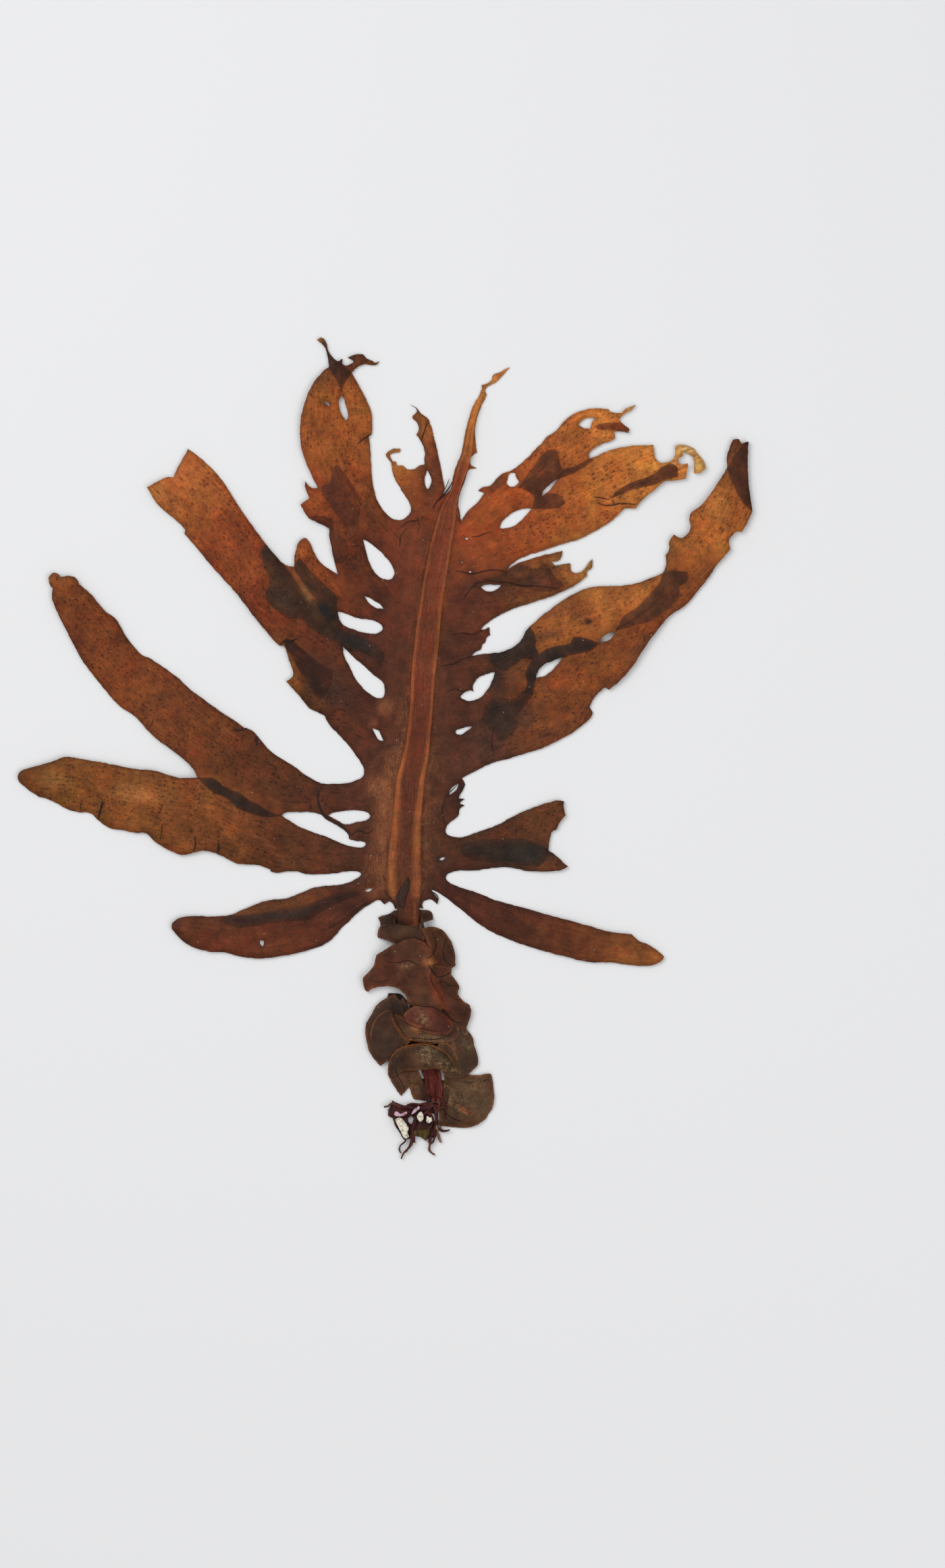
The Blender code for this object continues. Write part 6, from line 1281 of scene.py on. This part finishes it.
def paint_blade(points, own, inner, edge):
    tint, flow = lobe_tones(points)
    tint = with_spots(tint, points, VEILS)
    off = np.array([off_midrib(x, y) for x, y in points.tolist()])
    for number, tone in enumerate(OVERLAP_TONES, 1):
        these = own == number
        tint[these] = paint_overlap(tint[these], points[these], inner[these], number, tone)
    tint = with_spots(tint, points, STAINS)
    # Darker along the sheet's edge: partly the thicker margin's own colour, partly painted shade of a curled
    # margin
    tint = tint * (1 - 0.36 * np.exp(-edge / 0.7))[:, None]
    low = np.clip((20 - points[:, 1]) / 25, 0, 1) * np.clip((points[:, 1] + 44) / 6, 0, 1)
    fibre = np.exp(-off / 4.0) * (0.22 + 1.1 * low)
    on_left = points[:, 0] < 8
    fibre = np.where(on_left, fibre, fibre * 0.5)
    for *oval, strength in FIBROUS:
        patch = soft_spot(points, *oval) * strength
        fibre = np.maximum(fibre, patch)
        tint = blended(tint, srgb(FRAYED_TONE), 0.42 * patch[:, None])
    spots = np.clip((off - 6) / 14, 0, 1) * np.where(own > 0, 0.5, 1.0)
    spots *= 1 - 0.75 * np.clip((-44 - points[:, 1]) / 5, 0, 1)
    masks = np.stack([spots, np.zeros(len(points)), np.clip(fibre, 0, 1)], axis=1)
    return tint, masks, flow


def paint_frills(points, own, inner, edge):
    none = np.zeros(len(points))
    tint = np.zeros((len(points), 3))
    for number, tone in enumerate(FRILL_TONES, 1):
        tint[own == number] = srgb(tone)
    tint *= (1 + 0.45 * smooth_noise(points, 0.28, 1.0))[:, None] * FRILL_WARMTH
    tint = with_spots(tint, points, FRILL_PATCHES)
    rim = 0.34 * np.exp(-((inner - 0.3) / 0.26) ** 2)
    rim *= np.clip(0.75 + smooth_noise(points, 0.5, 4.0), 0, 1)
    tint = blended(tint, srgb(MARGIN_TONE), rim[:, None])
    gold = none
    for *oval, strength in WEAVE:
        gold = np.maximum(gold, soft_spot(points, *oval) * strength)
    flow = np.stack([points[:, 1] * 0.7, points[:, 0] * 0.7, none], axis=1)
    return tint, np.stack([none, gold, none], axis=1), flow


def paint_holdfast(points, own, inner, edge):
    wide = smooth_noise(points, 0.8, 1.0)
    tint = srgb(HOLDFAST_TONE) * 0.75 * (1 + 0.7 * wide)[:, None]
    flow = np.stack([points[:, 0], points[:, 1], np.zeros(len(points))], axis=1)
    return tint, np.zeros((len(points), 3)), flow


class Recipe:
    """A material, with short calls for the nodes that it is made of."""

    def __init__(self, name):
        self.material = bpy.data.materials.new(name)
        self.material.use_nodes = True
        self.tree = self.material.node_tree
        self.shader = self.tree.nodes["Principled BSDF"]
        self.place = self.node("ShaderNodeTexCoord", {}).outputs["Object"]

    def feed(self, socket, value):
        """Links a socket to another node's output, or sets its value."""
        if isinstance(value, bpy.types.NodeSocket):
            self.tree.links.new(value, socket)
        else:
            socket.default_value = value

    def node(self, kind, inputs, **settings):
        made = self.tree.nodes.new(kind)
        for key, value in settings.items():
            setattr(made, key, value)
        for key, value in inputs.items():
            self.feed(made.inputs[key], value)
        return made

    def attribute(self, name, output):
        return self.node("ShaderNodeAttribute", {}, attribute_name=name).outputs[output]

    def parts(self, vector):
        return self.node("ShaderNodeSeparateXYZ", {0: vector}).outputs

    def noise(self, scale, detail, roughness, vector=None, distortion=0.0):
        inputs = {"Vector": vector or self.place, "Scale": scale, "Detail": detail, "Roughness": roughness,
                  "Distortion": distortion}
        return self.node("ShaderNodeTexNoise", inputs).outputs["Fac"]

    def remap(self, value, low, high, to_low, to_high):
        inputs = {"Value": value, "From Min": low, "From Max": high, "To Min": to_low, "To Max": to_high}
        return self.node("ShaderNodeMapRange", inputs).outputs["Result"]

    def maths(self, operation, a, b):
        return self.node("ShaderNodeMath", {0: a, 1: b}, operation=operation).outputs[0]

    def product(self, *values):
        total = values[0]
        for value in values[1:]:
            total = self.maths("MULTIPLY", total, value)
        return total

    def stretched(self, vector, factors):
        """A vector or colour with each part multiplied."""
        made = self.node("ShaderNodeVectorMath", {0: vector, 1: factors}, operation="MULTIPLY")
        return made.outputs["Vector"]

    def scaled(self, colour, factor):
        inputs = {0: colour, "Scale": factor}
        return self.node("ShaderNodeVectorMath", inputs, operation="SCALE").outputs["Vector"]

    def turned(self, degrees):
        """The place on the piece, turned about the upright axis."""
        inputs = {"Vector": self.place, "Angle": math.radians(degrees)}
        return self.node("ShaderNodeVectorRotate", inputs, rotation_type="Z_AXIS").outputs["Vector"]

    def cells(self, scale, vector):
        """Distance to the middle of the cell that a place is in, and three random numbers of that cell."""
        made = self.node("ShaderNodeTexVoronoi", {"Scale": scale, "Vector": vector}, voronoi_dimensions="2D")
        chance = self.node("ShaderNodeSeparateColor", {0: made.outputs["Color"]})
        return made.outputs["Distance"], chance.outputs

    def mixed(self, colour, other, factor):
        inputs = {"Factor": factor, "A": colour, "B": other}
        return self.node("ShaderNodeMix", inputs, data_type="RGBA").outputs["Result"]

    def toned(self, colour, tone, amount):
        """The colour with an amount of an sRGB tone over it."""
        return self.mixed(colour, (*srgb(tone), 1.0), amount)

    def tinted(self, colour, factors, amount):
        """The colour with its parts multiplied, by an amount from 0 to 1."""
        return self.mixed(colour, self.stretched(colour, factors), amount)

    def finish(self, colour, roughness, height, bump, depth):
        bumped = self.node("ShaderNodeBump", {"Strength": bump, "Distance": depth, "Height": height})
        self.feed(self.shader.inputs["Base Color"], colour)
        self.feed(self.shader.inputs["Roughness"], roughness)
        self.feed(self.shader.inputs["Normal"], bumped.outputs["Normal"])
        return self.material


def mottled(recipe, colour, patterns, grain):
    """Patches and streaks, lighter and darker, with redder and greener areas."""
    mottle, streak, fine = patterns
    blotch = recipe.noise(130.0, 4.0, 0.6, distortion=0.6)
    broad = recipe.noise(48.0, 3.0, 0.55)
    for pattern, darkest, palest in ((mottle, 1 - 0.36 * grain, 1 + 0.34 * grain),
                                     (blotch, 1 - 0.30 * grain, 1 + 0.26 * grain),
                                     (broad, 0.84, 1.16),
                                     (streak, 1 - 0.22 * grain, 1 + 0.24 * grain),
                                     (fine, 0.78, 1.22)):
        colour = recipe.scaled(colour, recipe.remap(pattern, 0.3, 0.7, darkest, palest))
    redder = recipe.remap(recipe.noise(170.0, 4.0, 0.65), 0.46, 0.66, 0.0, 0.6)
    colour = recipe.tinted(colour, (1.16, 0.80, 0.72), redder)
    greener = recipe.remap(recipe.noise(95.0, 3.0, 0.6), 0.5, 0.66, 0.0, 0.8)
    return recipe.tinted(colour, (0.92, 1.06, 0.90), greener)


def speck_pattern(recipe, flow, clear):
    """Small dark specks, longer along a lobe than across it, in two sizes."""
    jitter = recipe.node("ShaderNodeTexNoise", {"Scale": 1100.0, "Detail": 3.0, "Vector": recipe.place})
    lengthways = recipe.stretched(flow, (0.62, 1.0, 0.0))
    inputs = {0: jitter.outputs["Color"], 1: (0.75, 0.75, 0.0), 2: lengthways}
    wobble = recipe.node("ShaderNodeVectorMath", inputs, operation="MULTIPLY_ADD").outputs["Vector"]
    sizes = []
    for scale, share, size in ((0.78, 0.20, 0.31), (1.45, 0.30, 0.29)):
        distance, chance = recipe.cells(scale, wobble)
        radius = recipe.remap(chance["Red"], 0.0, 1.0, size * 0.45, size * 1.25)
        dot = recipe.maths("SUBTRACT", 1.0, recipe.maths("DIVIDE", distance, radius))
        dot = recipe.remap(dot, 0.0, 0.8, 0.0, 1.0)
        sizes.append(recipe.product(dot, recipe.maths("GREATER_THAN", chance["Green"], share)))
    return recipe.product(recipe.maths("MAXIMUM", *sizes), clear)


def with_fibres(recipe, colour, mask):
    """Pale torn fibres up the plant, with others slanting over them."""
    upright = recipe.noise(1.0, 6.0, 0.85, recipe.stretched(recipe.place, (1700.0, 330.0, 1.0)), 2.6)
    slanted = recipe.noise(1.0, 5.0, 0.8, recipe.stretched(recipe.turned(24), (2300.0, 360.0, 1.0)), 1.5)
    thread = recipe.maths("MAXIMUM", upright, recipe.maths("SUBTRACT", slanted, 0.05))
    patches = recipe.remap(recipe.noise(300.0, 4.0, 0.7), 0.38, 0.56, 0.2, 1.0)
    amount = recipe.product(recipe.remap(thread, 0.48, 0.64, 0.0, 1.0), recipe.product(mask, patches))
    return recipe.toned(colour, FIBRE_TONE, amount)


def with_weave(recipe, colour, mask):
    """The pattern of a cloth that was pressed into the leaves."""
    place = recipe.parts(recipe.turned(-8))
    across = recipe.maths("SINE", recipe.product(place["X"], 2 * math.pi / THREAD_SPACING), 0.0)
    along = recipe.maths("SINE", recipe.product(place["Y"], 2 * math.pi / THREAD_SPACING), 0.0)
    crossing = recipe.remap(recipe.maths("ADD", across, along), -0.1, 1.2, 0.0, 1.0)
    patchy = recipe.remap(recipe.noise(760.0, 5.0, 0.8), 0.45, 0.62, 0.0, 0.95)
    return recipe.toned(colour, GOLD_TONE, recipe.product(crossing, patchy, mask))


def with_dust(recipe, colour):
    """A few pale grains."""
    distance, chance = recipe.cells(260.0, recipe.place)
    size = recipe.remap(chance["Red"], 0.0, 1.0, 0.012, 0.036)
    grains = recipe.product(recipe.maths("LESS_THAN", distance, size),
                            recipe.maths("GREATER_THAN", chance["Blue"], 0.86))
    return recipe.toned(colour, DUST_TONE, recipe.product(grains, 0.8))


def skin(name, roughness, bump, weave=False, grain=1.0):
    """Dried seaweed: the painted tint with mottling, streaks, dark specks, pale fibres and a weave."""
    recipe = Recipe(name)
    flow = recipe.attribute("flow", "Vector")
    clear = recipe.parts(flow)["Z"]
    mask = recipe.parts(recipe.attribute("masks", "Vector"))
    streak = recipe.noise(1.0, 5.0, 0.62, recipe.stretched(flow, (0.13, 1.3, 0.0)), 0.45)
    streak = recipe.maths("ADD", 0.5, recipe.product(recipe.maths("SUBTRACT", streak, 0.5), clear))
    mottle = recipe.noise(330.0, 5.0, 0.68)
    fine = recipe.noise(1500.0, 4.0, 0.75)
    colour = mottled(recipe, recipe.attribute("tint", "Color"), (mottle, streak, fine), grain)

    specks = speck_pattern(recipe, flow, clear)
    patchy = recipe.remap(recipe.noise(150.0, 3.0, 0.6), 0.34, 0.56, 0.35, 1.0)
    colour = recipe.tinted(colour, (0.36, 0.30, 0.34), recipe.product(specks, mask["X"], patchy))
    colour = with_fibres(recipe, colour, mask["Z"])
    if weave:
        colour = with_weave(recipe, colour, mask["Y"])
    colour = with_dust(recipe, colour)

    height = recipe.maths("ADD", recipe.product(streak, 0.55), recipe.product(mottle, 0.8))
    height = recipe.maths("ADD", height, recipe.product(fine, 0.25))
    height = recipe.maths("SUBTRACT", height, recipe.product(specks, 0.12))
    recipe.shader.inputs["Specular IOR Level"].default_value = 0.14
    rough = recipe.remap(mottle, 0.3, 0.7, roughness - 0.07, roughness + 0.09)
    return recipe.finish(colour, rough, height, bump, 0.0004)


def chalk(name, tone, dark):
    """Chalky crust with pits, darker in the deepest of them."""
    recipe = Recipe(name)
    pits = recipe.node("ShaderNodeTexNoise", {"Scale": 1500.0, "Detail": 5.0, "Vector": recipe.place})
    ramp = recipe.node("ShaderNodeValToRGB", {0: pits.outputs["Fac"]})
    for element, position, colour in zip(ramp.color_ramp.elements, (0.34, 0.52), (dark, tone)):
        element.position = position
        element.color = (*srgb(colour), 1.0)
    return recipe.finish(ramp.outputs["Color"], 0.92, pits.outputs["Fac"], 0.6, 0.0003)


def blade_holes():
    """The gaps of the CAD, the hook-shaped hole of the tall lobe, and the pinholes."""
    holes = [closed_loop(runs, BLADE_HOLE_SPACING) for runs in BLADE_HOLES]
    holes.append(HOOK_HOLE)
    for x, y, radius in PINHOLES:
        turns = [math.radians(60 * k + 20) for k in range(6)]
        holes.append([(x + radius * math.cos(a) * 1.25, y + radius * math.sin(a)) for a in turns])
    return holes


def build_blade():
    outline = closed_loop(BLADE_EDGE, BLADE_EDGE_SPACING)
    layers = [(level, closed_loop(runs, BLADE_EDGE_SPACING)) for level, runs in BLADE_OVERLAPS]
    edges = [edge_arrays(loop) for _, loop in layers]

    def top(x, y, level, own, inner):
        still = smoothstep(1.0, 4.0, off_midrib(x, y))
        wrinkle = 0.11 * relief(x, y, 5.5, 2.0) + 0.05 * relief(x, y, 1.8, 6.0)
        lift = OVERLAP_STEP * level * (0.6 + 0.4 * smoothstep(0.0, 1.6, inner)) if level else 0.0
        return blade_floor(x, y) + BLADE_THICKNESS - 0.08 + lift + still * min(wrinkle, 0.1)

    def ground(x, y):
        over = any(within(each, x, y) for each in edges)
        return blade_floor(x, y) + BLADE_THICKNESS + (OVERLAP_STEP if over else 0.0)

    builder = Builder()
    sheet(builder, outline, blade_holes(), layers, BLADE_SPACING, blade_floor, top, 0.3, paint_blade)
    for width, tone, points in CREASES:
        ribbon(builder, width * 0.85, tone, points, ground, 0.17)
    builder.made("wakame_blade", skin("dried_blade", 0.46, 0.55), "blade", "blade")


def build_frills():
    layers = [(level, closed_loop(runs, FRILL_EDGE_SPACING)) for level, runs in SPOROPHYLLS]
    edges = [(level, edge_arrays(loop)) for level, loop in layers]

    def top(x, y, level, own, inner):
        crown = 0.22 * smoothstep(0.0, 1.8, inner) if inner < NO_LAYER else 0.0
        folds = 0.10 * relief(x, y, 2.6, 9.0 + own) + 0.05 * relief(x, y, 0.9, 3.0)
        return cluster_top(x, y, level) - 0.16 + crown + folds

    def ground(x, y):
        level = max([level for level, each in edges if within(each, x, y)], default=0)
        return cluster_top(x, y, level) + 0.05

    builder = Builder()
    sheet(builder, [], [], layers, FRILL_SPACING, cluster_floor, top, 0.25, paint_frills)
    for width, tone, points in FRILL_LINES:
        ribbon(builder, width * 0.72, tuple(0.86 * c for c in tone), points, ground, 0.18)
    for patch in FRILL_WEBS:
        flat_patch(builder, patch, 0.15, 0.6, FRILL_WEB_TONE)
    material = skin("dried_frills", 0.5, 0.7, weave=True, grain=1.05)
    builder.made("wakame_sporophylls", material, "sporophylls", "sporophylls")


def midrib_profile():
    """The strap's cross-section as (across, up), from 1 to -1 across and up to 1 in height."""
    found = []
    for (u0, v0), (u1, v1) in zip(MIDRIB_PROFILE, MIDRIB_PROFILE[1:]):
        for k in range(PROFILE_STEPS):
            t = k / PROFILE_STEPS
            found.append((u0 + (u1 - u0) * t, v0 + (v1 - v0) * smoothstep(0, 1, t)))
    return found + [MIDRIB_PROFILE[-1]]


def web_tone(y, tones):
    """The colour beside the midrib at a height along the plant."""
    return np.array([np.interp(y, WEB_Y, part) for part in np.array([srgb(tone) for tone in tones]).T])


class MidribStation:
    """The strap's shape and tones at one height along the plant."""

    def __init__(self, y, left):
        right = float(np.interp(y, MIDRIB_Y, MIDRIB_RIGHT))
        landed = smoothstep(MIDRIB_LEAVES_AT, MIDRIB_LANDS_AT, y)
        top_y = MIDRIB_STATIONS[0][0]
        self.y = y
        self.base = MIDRIB_SEAT * (1 - landed)
        self.height = MIDRIB_HEIGHT + (STIPE_HEIGHT - MIDRIB_HEIGHT) * landed
        self.height *= 1 - 0.5 * smoothstep(top_y - MIDRIB_TIP_TAPER, top_y, y)
        uneven = 0.10 + 0.30 * noise.noise(Vector((3.0, y * 0.8, 1.0)))
        self.centre, self.half = (left + right) / 2, (right - left) / 2
        self.half *= 1 + smoothstep(-90, -94, y) * uneven
        self.tip = smoothstep(70, 101, y)
        self.low = smoothstep(5, -28, y)
        self.foot = smoothstep(-86, -92, y)
        self.neck = smoothstep(-43.6, -46.5, y) * (1 - self.foot)
        self.joined = smoothstep(-44.0, -41.0, y) * (1 - smoothstep(66.0, 72.0, y))
        bands = blended(srgb(BAND_TONE), srgb(BAND_LOW_TONE), smoothstep(0, -25, y))
        trough = blended(srgb(TROUGH_TONE), srgb(TROUGH_LOW_TONE), smoothstep(10, -15, y))
        self.bands = blended(bands, srgb(TIP_TONE), self.tip)
        trough = blended(trough, srgb(TIP_TONE) * 0.9, self.tip)
        self.trough = blended(trough, srgb(TROUGH_WARM_TONE), 0.6 * smoothstep(30, 60, y) * (1 - self.tip))
        self.webs = {-1: web_tone(y, WEB_LEFT_TONES), 1: web_tone(y, WEB_RIGHT_TONES)}

    def on_band(self, u):
        """How much a place across the strap is on one of its two pale bands."""
        middle = 0.84 - 0.13 * self.low + 0.04 * noise.noise(Vector((u * 0.5, self.y * 0.14, 2.0)))
        amount = math.exp(-abs((abs(u) - middle) / (0.15 + 0.10 * self.low)) ** 2.4)
        amount *= 1 - smoothstep(-43.0, -44.4, self.y)
        return amount * (0.86 + 0.3 * noise.noise(Vector((u, self.y * 0.22, 6.0))))

    def tint(self, u, on_band):
        """The colour at a place across the strap."""
        y = self.y
        tint = blended(self.trough, self.bands, on_band)
        edge = 0.8 * smoothstep(0.90, 1.0, abs(u)) * (1 - self.tip)
        tint = blended(tint, self.webs[-1 if u < 0 else 1], edge)
        tint = blended(tint, srgb(MIDRIB_MIDDLE_TONE), 0.25 * math.exp(-((u + 0.05) / 0.10) ** 2))
        tint = blended(tint, srgb(NECK_TONE), self.neck)
        tint = blended(tint, srgb(NECK_LIGHT_TONE), 0.6 * self.neck * math.exp(-((u - 0.62) / 0.16) ** 2))
        shaded = smoothstep(-0.2, -0.75, u + 0.3 * noise.noise(Vector((1.0, y * 0.5, 3.0))))
        tint = blended(tint, srgb(NECK_DARK_TONE), 0.7 * self.neck * shaded)
        tint = blended(tint, srgb(STIPE_TONE) * (1 + 0.5 * smoothstep(0.5, 0.85, u)), self.foot)
        return tint * (1 + self.foot * 0.9 * noise.noise(Vector((u * 2.6, y * 0.7, 12.0))))

    def surface(self, builder, u, v):
        """A vertex on the upper side."""
        y = self.y
        on_band = self.on_band(u)
        x = self.centre + u * self.half
        rough = 0.05 * relief(x, y, 1.2, 4.0) * (1 - 0.5 * smoothstep(0.90, 1.0, abs(u)))
        rough += self.foot * 0.34 * relief(u * 3, y, 1.2, 8.0)
        z = self.base + v * self.height - 0.06 + rough
        fibre = (0.14 + 0.2 * smoothstep(5, -25, y)) * (1 - on_band * 0.5) * (1 - self.foot)
        fibre *= 1 - 0.6 * self.neck
        flow = (y * 0.9, u * self.half * 2.4, 11.0)
        return builder.vertex((x, y, z), self.tint(u, on_band), fibre=fibre, flow=flow)

    def side(self, builder, side):
        """The sloping foot that meets the blade, and the hidden underside, as vertices from the top down."""
        y, half, joined = self.y, self.half, self.joined
        web = self.webs[side]
        skirt = (self.centre + side * (half + 0.55 * joined), y, self.base + 0.15 - 0.47 * joined)
        sunk = (self.centre + side * (half + 1.1 * joined), y, self.base - 0.6 * joined)
        # The hidden underside takes the trough's colour darkened, as painted shade
        hidden = (self.centre + side * 0.94 * half, y, self.base)
        foot = [(skirt, web), (sunk, web), (hidden, self.trough * 0.6)]
        flow = (y * 0.9, side * half * 2.4, 11.0)
        return [builder.vertex(point, colour, fibre=0.6, flow=flow) for point, colour in foot[::-side]]


def build_midrib():
    """The strap with a ridge down each side, coloured across and along."""
    curve = smooth_run([(row[0], row[1]) for row in MIDRIB_STATIONS], 1.1) + [MIDRIB_STATIONS[-1][:2]]
    profile = midrib_profile()
    builder = Builder()
    rings = []
    for y, left in curve:
        station = MidribStation(y, left)
        ring = [station.surface(builder, u, v) for u, v in profile]
        rings.append(ring + station.side(builder, -1) + station.side(builder, 1))
    builder.join(rings)
    builder.faces.append(tuple(rings[0][::-1]))
    builder.faces.append(tuple(rings[-1]))
    flat_patch(builder, SPEAR, MIDRIB_SEAT + MIDRIB_HEIGHT * 0.78, 0.32, SPEAR_TONE)
    builder.made("wakame_midrib", skin("dried_midrib", 0.44, 0.5, grain=0.6), "midrib", "midrib_stipe")


def shrunk(loop, scale):
    """The points of a loop drawn in towards its middle."""
    middle = loop.mean(axis=0)
    return (middle + (loop - middle) * scale).tolist()


def flat_patch(builder, outline, z, height, tone):
    """A small leaf-like patch with rounded edges that lies on a piece, with painted shade round its foot."""
    loop = np.array(smooth_run(outline + [outline[0]], 0.3))
    rings = []
    # Each ring's shade is painted: darker at the foot, a little lighter on the crown
    for scale, lift, shade in ((1.0, 0.0, 0.75), (0.93, 0.8, 1.0), (0.7, 1.0, 1.0), (0.3, 1.0, 1.05)):
        ring = []
        for x, y in shrunk(loop, scale):
            point = (x, y, z + height * lift + 0.12 * relief(x, y, 1.1, 2.2))
            ring.append(builder.vertex(point, srgb(tone) * shade, flow=(y, x, 3.0)))
        rings.append(ring)
    builder.join(rings)
    builder.faces.append(tuple(rings[-1]))


def branch_path(rows):
    """Rows of (X, Y, Z, radius) close together along a smooth curve through the given ones."""
    path = np.array(rows)
    nodes = [2 * path[0] - path[1]] + list(path) + [2 * path[-1] - path[-2]]
    fine = []
    for a, b, c, d in zip(nodes, nodes[1:], nodes[2:], nodes[3:]):
        steps = max(2, math.ceil(np.linalg.norm((c - b)[:2]) / 0.3))
        for k in range(steps):
            t = k / steps
            fine.append(0.5 * (2 * b + (c - a) * t + (2 * a - 5 * b + 4 * c - d) * t * t
                               + (3 * b - a - 3 * c + d) * t ** 3))
    return fine + [path[-1]]


def branch(builder, rows, tone, pale, slim=0.8):
    """A tapering, knotted branch of the holdfast, paler towards its tip."""
    fine = branch_path(rows)
    rings = []
    for i, (x, y, z, radius) in enumerate(fine):
        ahead = Vector((fine[min(i + 1, len(fine) - 1)] - fine[max(i - 1, 0)])[:3]).normalized()
        side = ahead.cross(Vector((0, 0, 1))).normalized()
        up = side.cross(ahead)
        light = blended(srgb(tone), srgb(BRANCH_TIP_TONE), smoothstep(0.55, 1.0, i / len(fine)) * pale)
        ring = []
        for k in range(BRANCH_SIDES):
            angle = 2 * math.pi * k / BRANCH_SIDES
            around = Vector((x * 1.1 + math.cos(angle) * 0.7, y * 1.1, math.sin(angle) + radius))
            knot = 1 + 0.6 * noise.noise(around)
            offset = (side * math.cos(angle) + up * math.sin(angle)) * radius * knot
            point = Vector((x, y, max(z, radius * 1.05))) + offset * slim
            flow = (i * 0.3, k * 0.5, 2.0)
            ring.append(builder.vertex((point.x, point.y, max(point.z, 0.0)), light, flow=flow))
        rings.append(ring)
    builder.join(rings)
    builder.faces.append(tuple(rings[0]))
    builder.faces.append(tuple(rings[-1][::-1]))


def build_holdfast():
    outline = closed_loop(HOLDFAST_EDGE, HOLDFAST_EDGE_SPACING)
    holes = [closed_loop(runs, HOLDFAST_EDGE_SPACING) for runs in HOLDFAST_HOLES]

    def top(x, y, level, own, inner):
        return HOLDFAST_THICKNESS - 0.2 + 0.3 * relief(x, y, 1.3, 5.0)

    def floor(x, y):
        return 0.0

    builder = Builder()
    sheet(builder, outline, holes, [], HOLDFAST_SPACING, floor, top, 0.45, paint_holdfast)
    for i, rows in enumerate(HAPTERA):
        if i == PALE_BRANCH:
            branch(builder, rows, PALE_BRANCH_TONE, 0.75)
        else:
            branch(builder, rows, HOLDFAST_TONE, 0.3)
    for i, rows in enumerate(TANGLE):
        branch(builder, rows, TANGLE_TONES[i % len(TANGLE_TONES)], 0.3, 0.7)
    flat_patch(builder, FLAP, HOLDFAST_THICKNESS + 0.1, 0.3, FLAP_TONE)
    builder.made("wakame_holdfast", skin("dried_holdfast", 0.42, 0.8, grain=1.2), "holdfast", "holdfast")


def build_crust(name, runs, height, material, slot, seed):
    """A lumpy crust, crowned and pitted."""
    loop = np.array(closed_loop(runs, CRUST_EDGE_SPACING))
    builder = Builder()
    rings = []
    for scale, lift in CRUST_STEPS:
        ring = []
        for x, y in shrunk(loop, scale):
            lump = 0.24 * relief(x, y, 0.8, seed) if lift > 0.3 else 0.0
            z = CRUST_SEAT + lift * height * 0.92 + lump
            ring.append(builder.vertex((x, y, z), (0.8, 0.8, 0.8)))
        rings.append(ring)
    builder.join(rings)
    builder.faces.append(tuple(rings[0][::-1]))
    builder.faces.append(tuple(rings[-1]))
    builder.made("wakame_" + name, material, slot, name)


def lay_surface():
    """A plain pale surface under the plant."""
    bpy.ops.mesh.primitive_plane_add(size=SURFACE_SIZE, location=(0, 0, -SURFACE_BELOW))
    floor = bpy.context.object
    floor.name = "surface"
    paper = bpy.data.materials.new("pale_surface")
    paper.use_nodes = True
    shader = paper.node_tree.nodes["Principled BSDF"]
    shader.inputs["Base Color"].default_value = (0.845, 0.85, 0.865, 1.0)
    shader.inputs["Roughness"].default_value = 0.95
    shader.inputs["Specular IOR Level"].default_value = 0.1
    floor.data.materials.append(paper)


def set_lights():
    """Soft light from above on all sides."""
    for name, place, power in LIGHTS:
        data = bpy.data.lights.new(name, "AREA")
        data.energy = power
        data.size = LIGHT_SIZE
        light = bpy.data.objects.new(name, data)
        light.location = place
        light.rotation_euler = (-Vector(place)).to_track_quat("-Z", "Y").to_euler()
        bpy.context.scene.collection.objects.link(light)
    world = bpy.data.worlds.new("studio")
    world.use_nodes = True
    background = world.node_tree.nodes["Background"]
    background.inputs["Color"].default_value = (1.0, 0.995, 0.985, 1.0)
    background.inputs["Strength"].default_value = 0.44
    bpy.context.scene.world = world


def set_camera():
    """The camera straight overhead, with the photo's frame."""
    data = bpy.data.cameras.new("camera")
    data.sensor_fit = "VERTICAL"
    data.sensor_height = SENSOR_HEIGHT
    data.lens = SENSOR_HEIGHT * CAMERA_DISTANCE / FRAME_HEIGHT
    camera = bpy.data.objects.new("camera", data)
    x, y = FRAME_MIDDLE
    camera.location = (x + SHIFT[0] * MM, y + SHIFT[1] * MM, CAMERA_DISTANCE)
    bpy.context.scene.collection.objects.link(camera)
    bpy.context.scene.camera = camera
    bpy.context.scene.view_settings.view_transform = "Standard"


def main():
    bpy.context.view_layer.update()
    noise.seed_set(RAG_SEED)
    build_blade()
    build_midrib()
    build_frills()
    build_holdfast()
    white = chalk("white_chalk", WHITE_TONE, WHITE_PIT_TONE)
    pink = chalk("pink_chalk", PINK_TONE, PINK_PIT_TONE)
    for i, (name, runs) in enumerate(WHITE_CRUSTS):
        build_crust(name, runs, CRUST_HEIGHT, white, "white_crust", 1.0 + i)
    for i, (name, runs) in enumerate(PINK_CRUSTS):
        build_crust(name, runs, PINK_HEIGHT, pink, "pink_crust", 5.0 + i)
    lay_surface()
    set_lights()
    set_camera()


main()
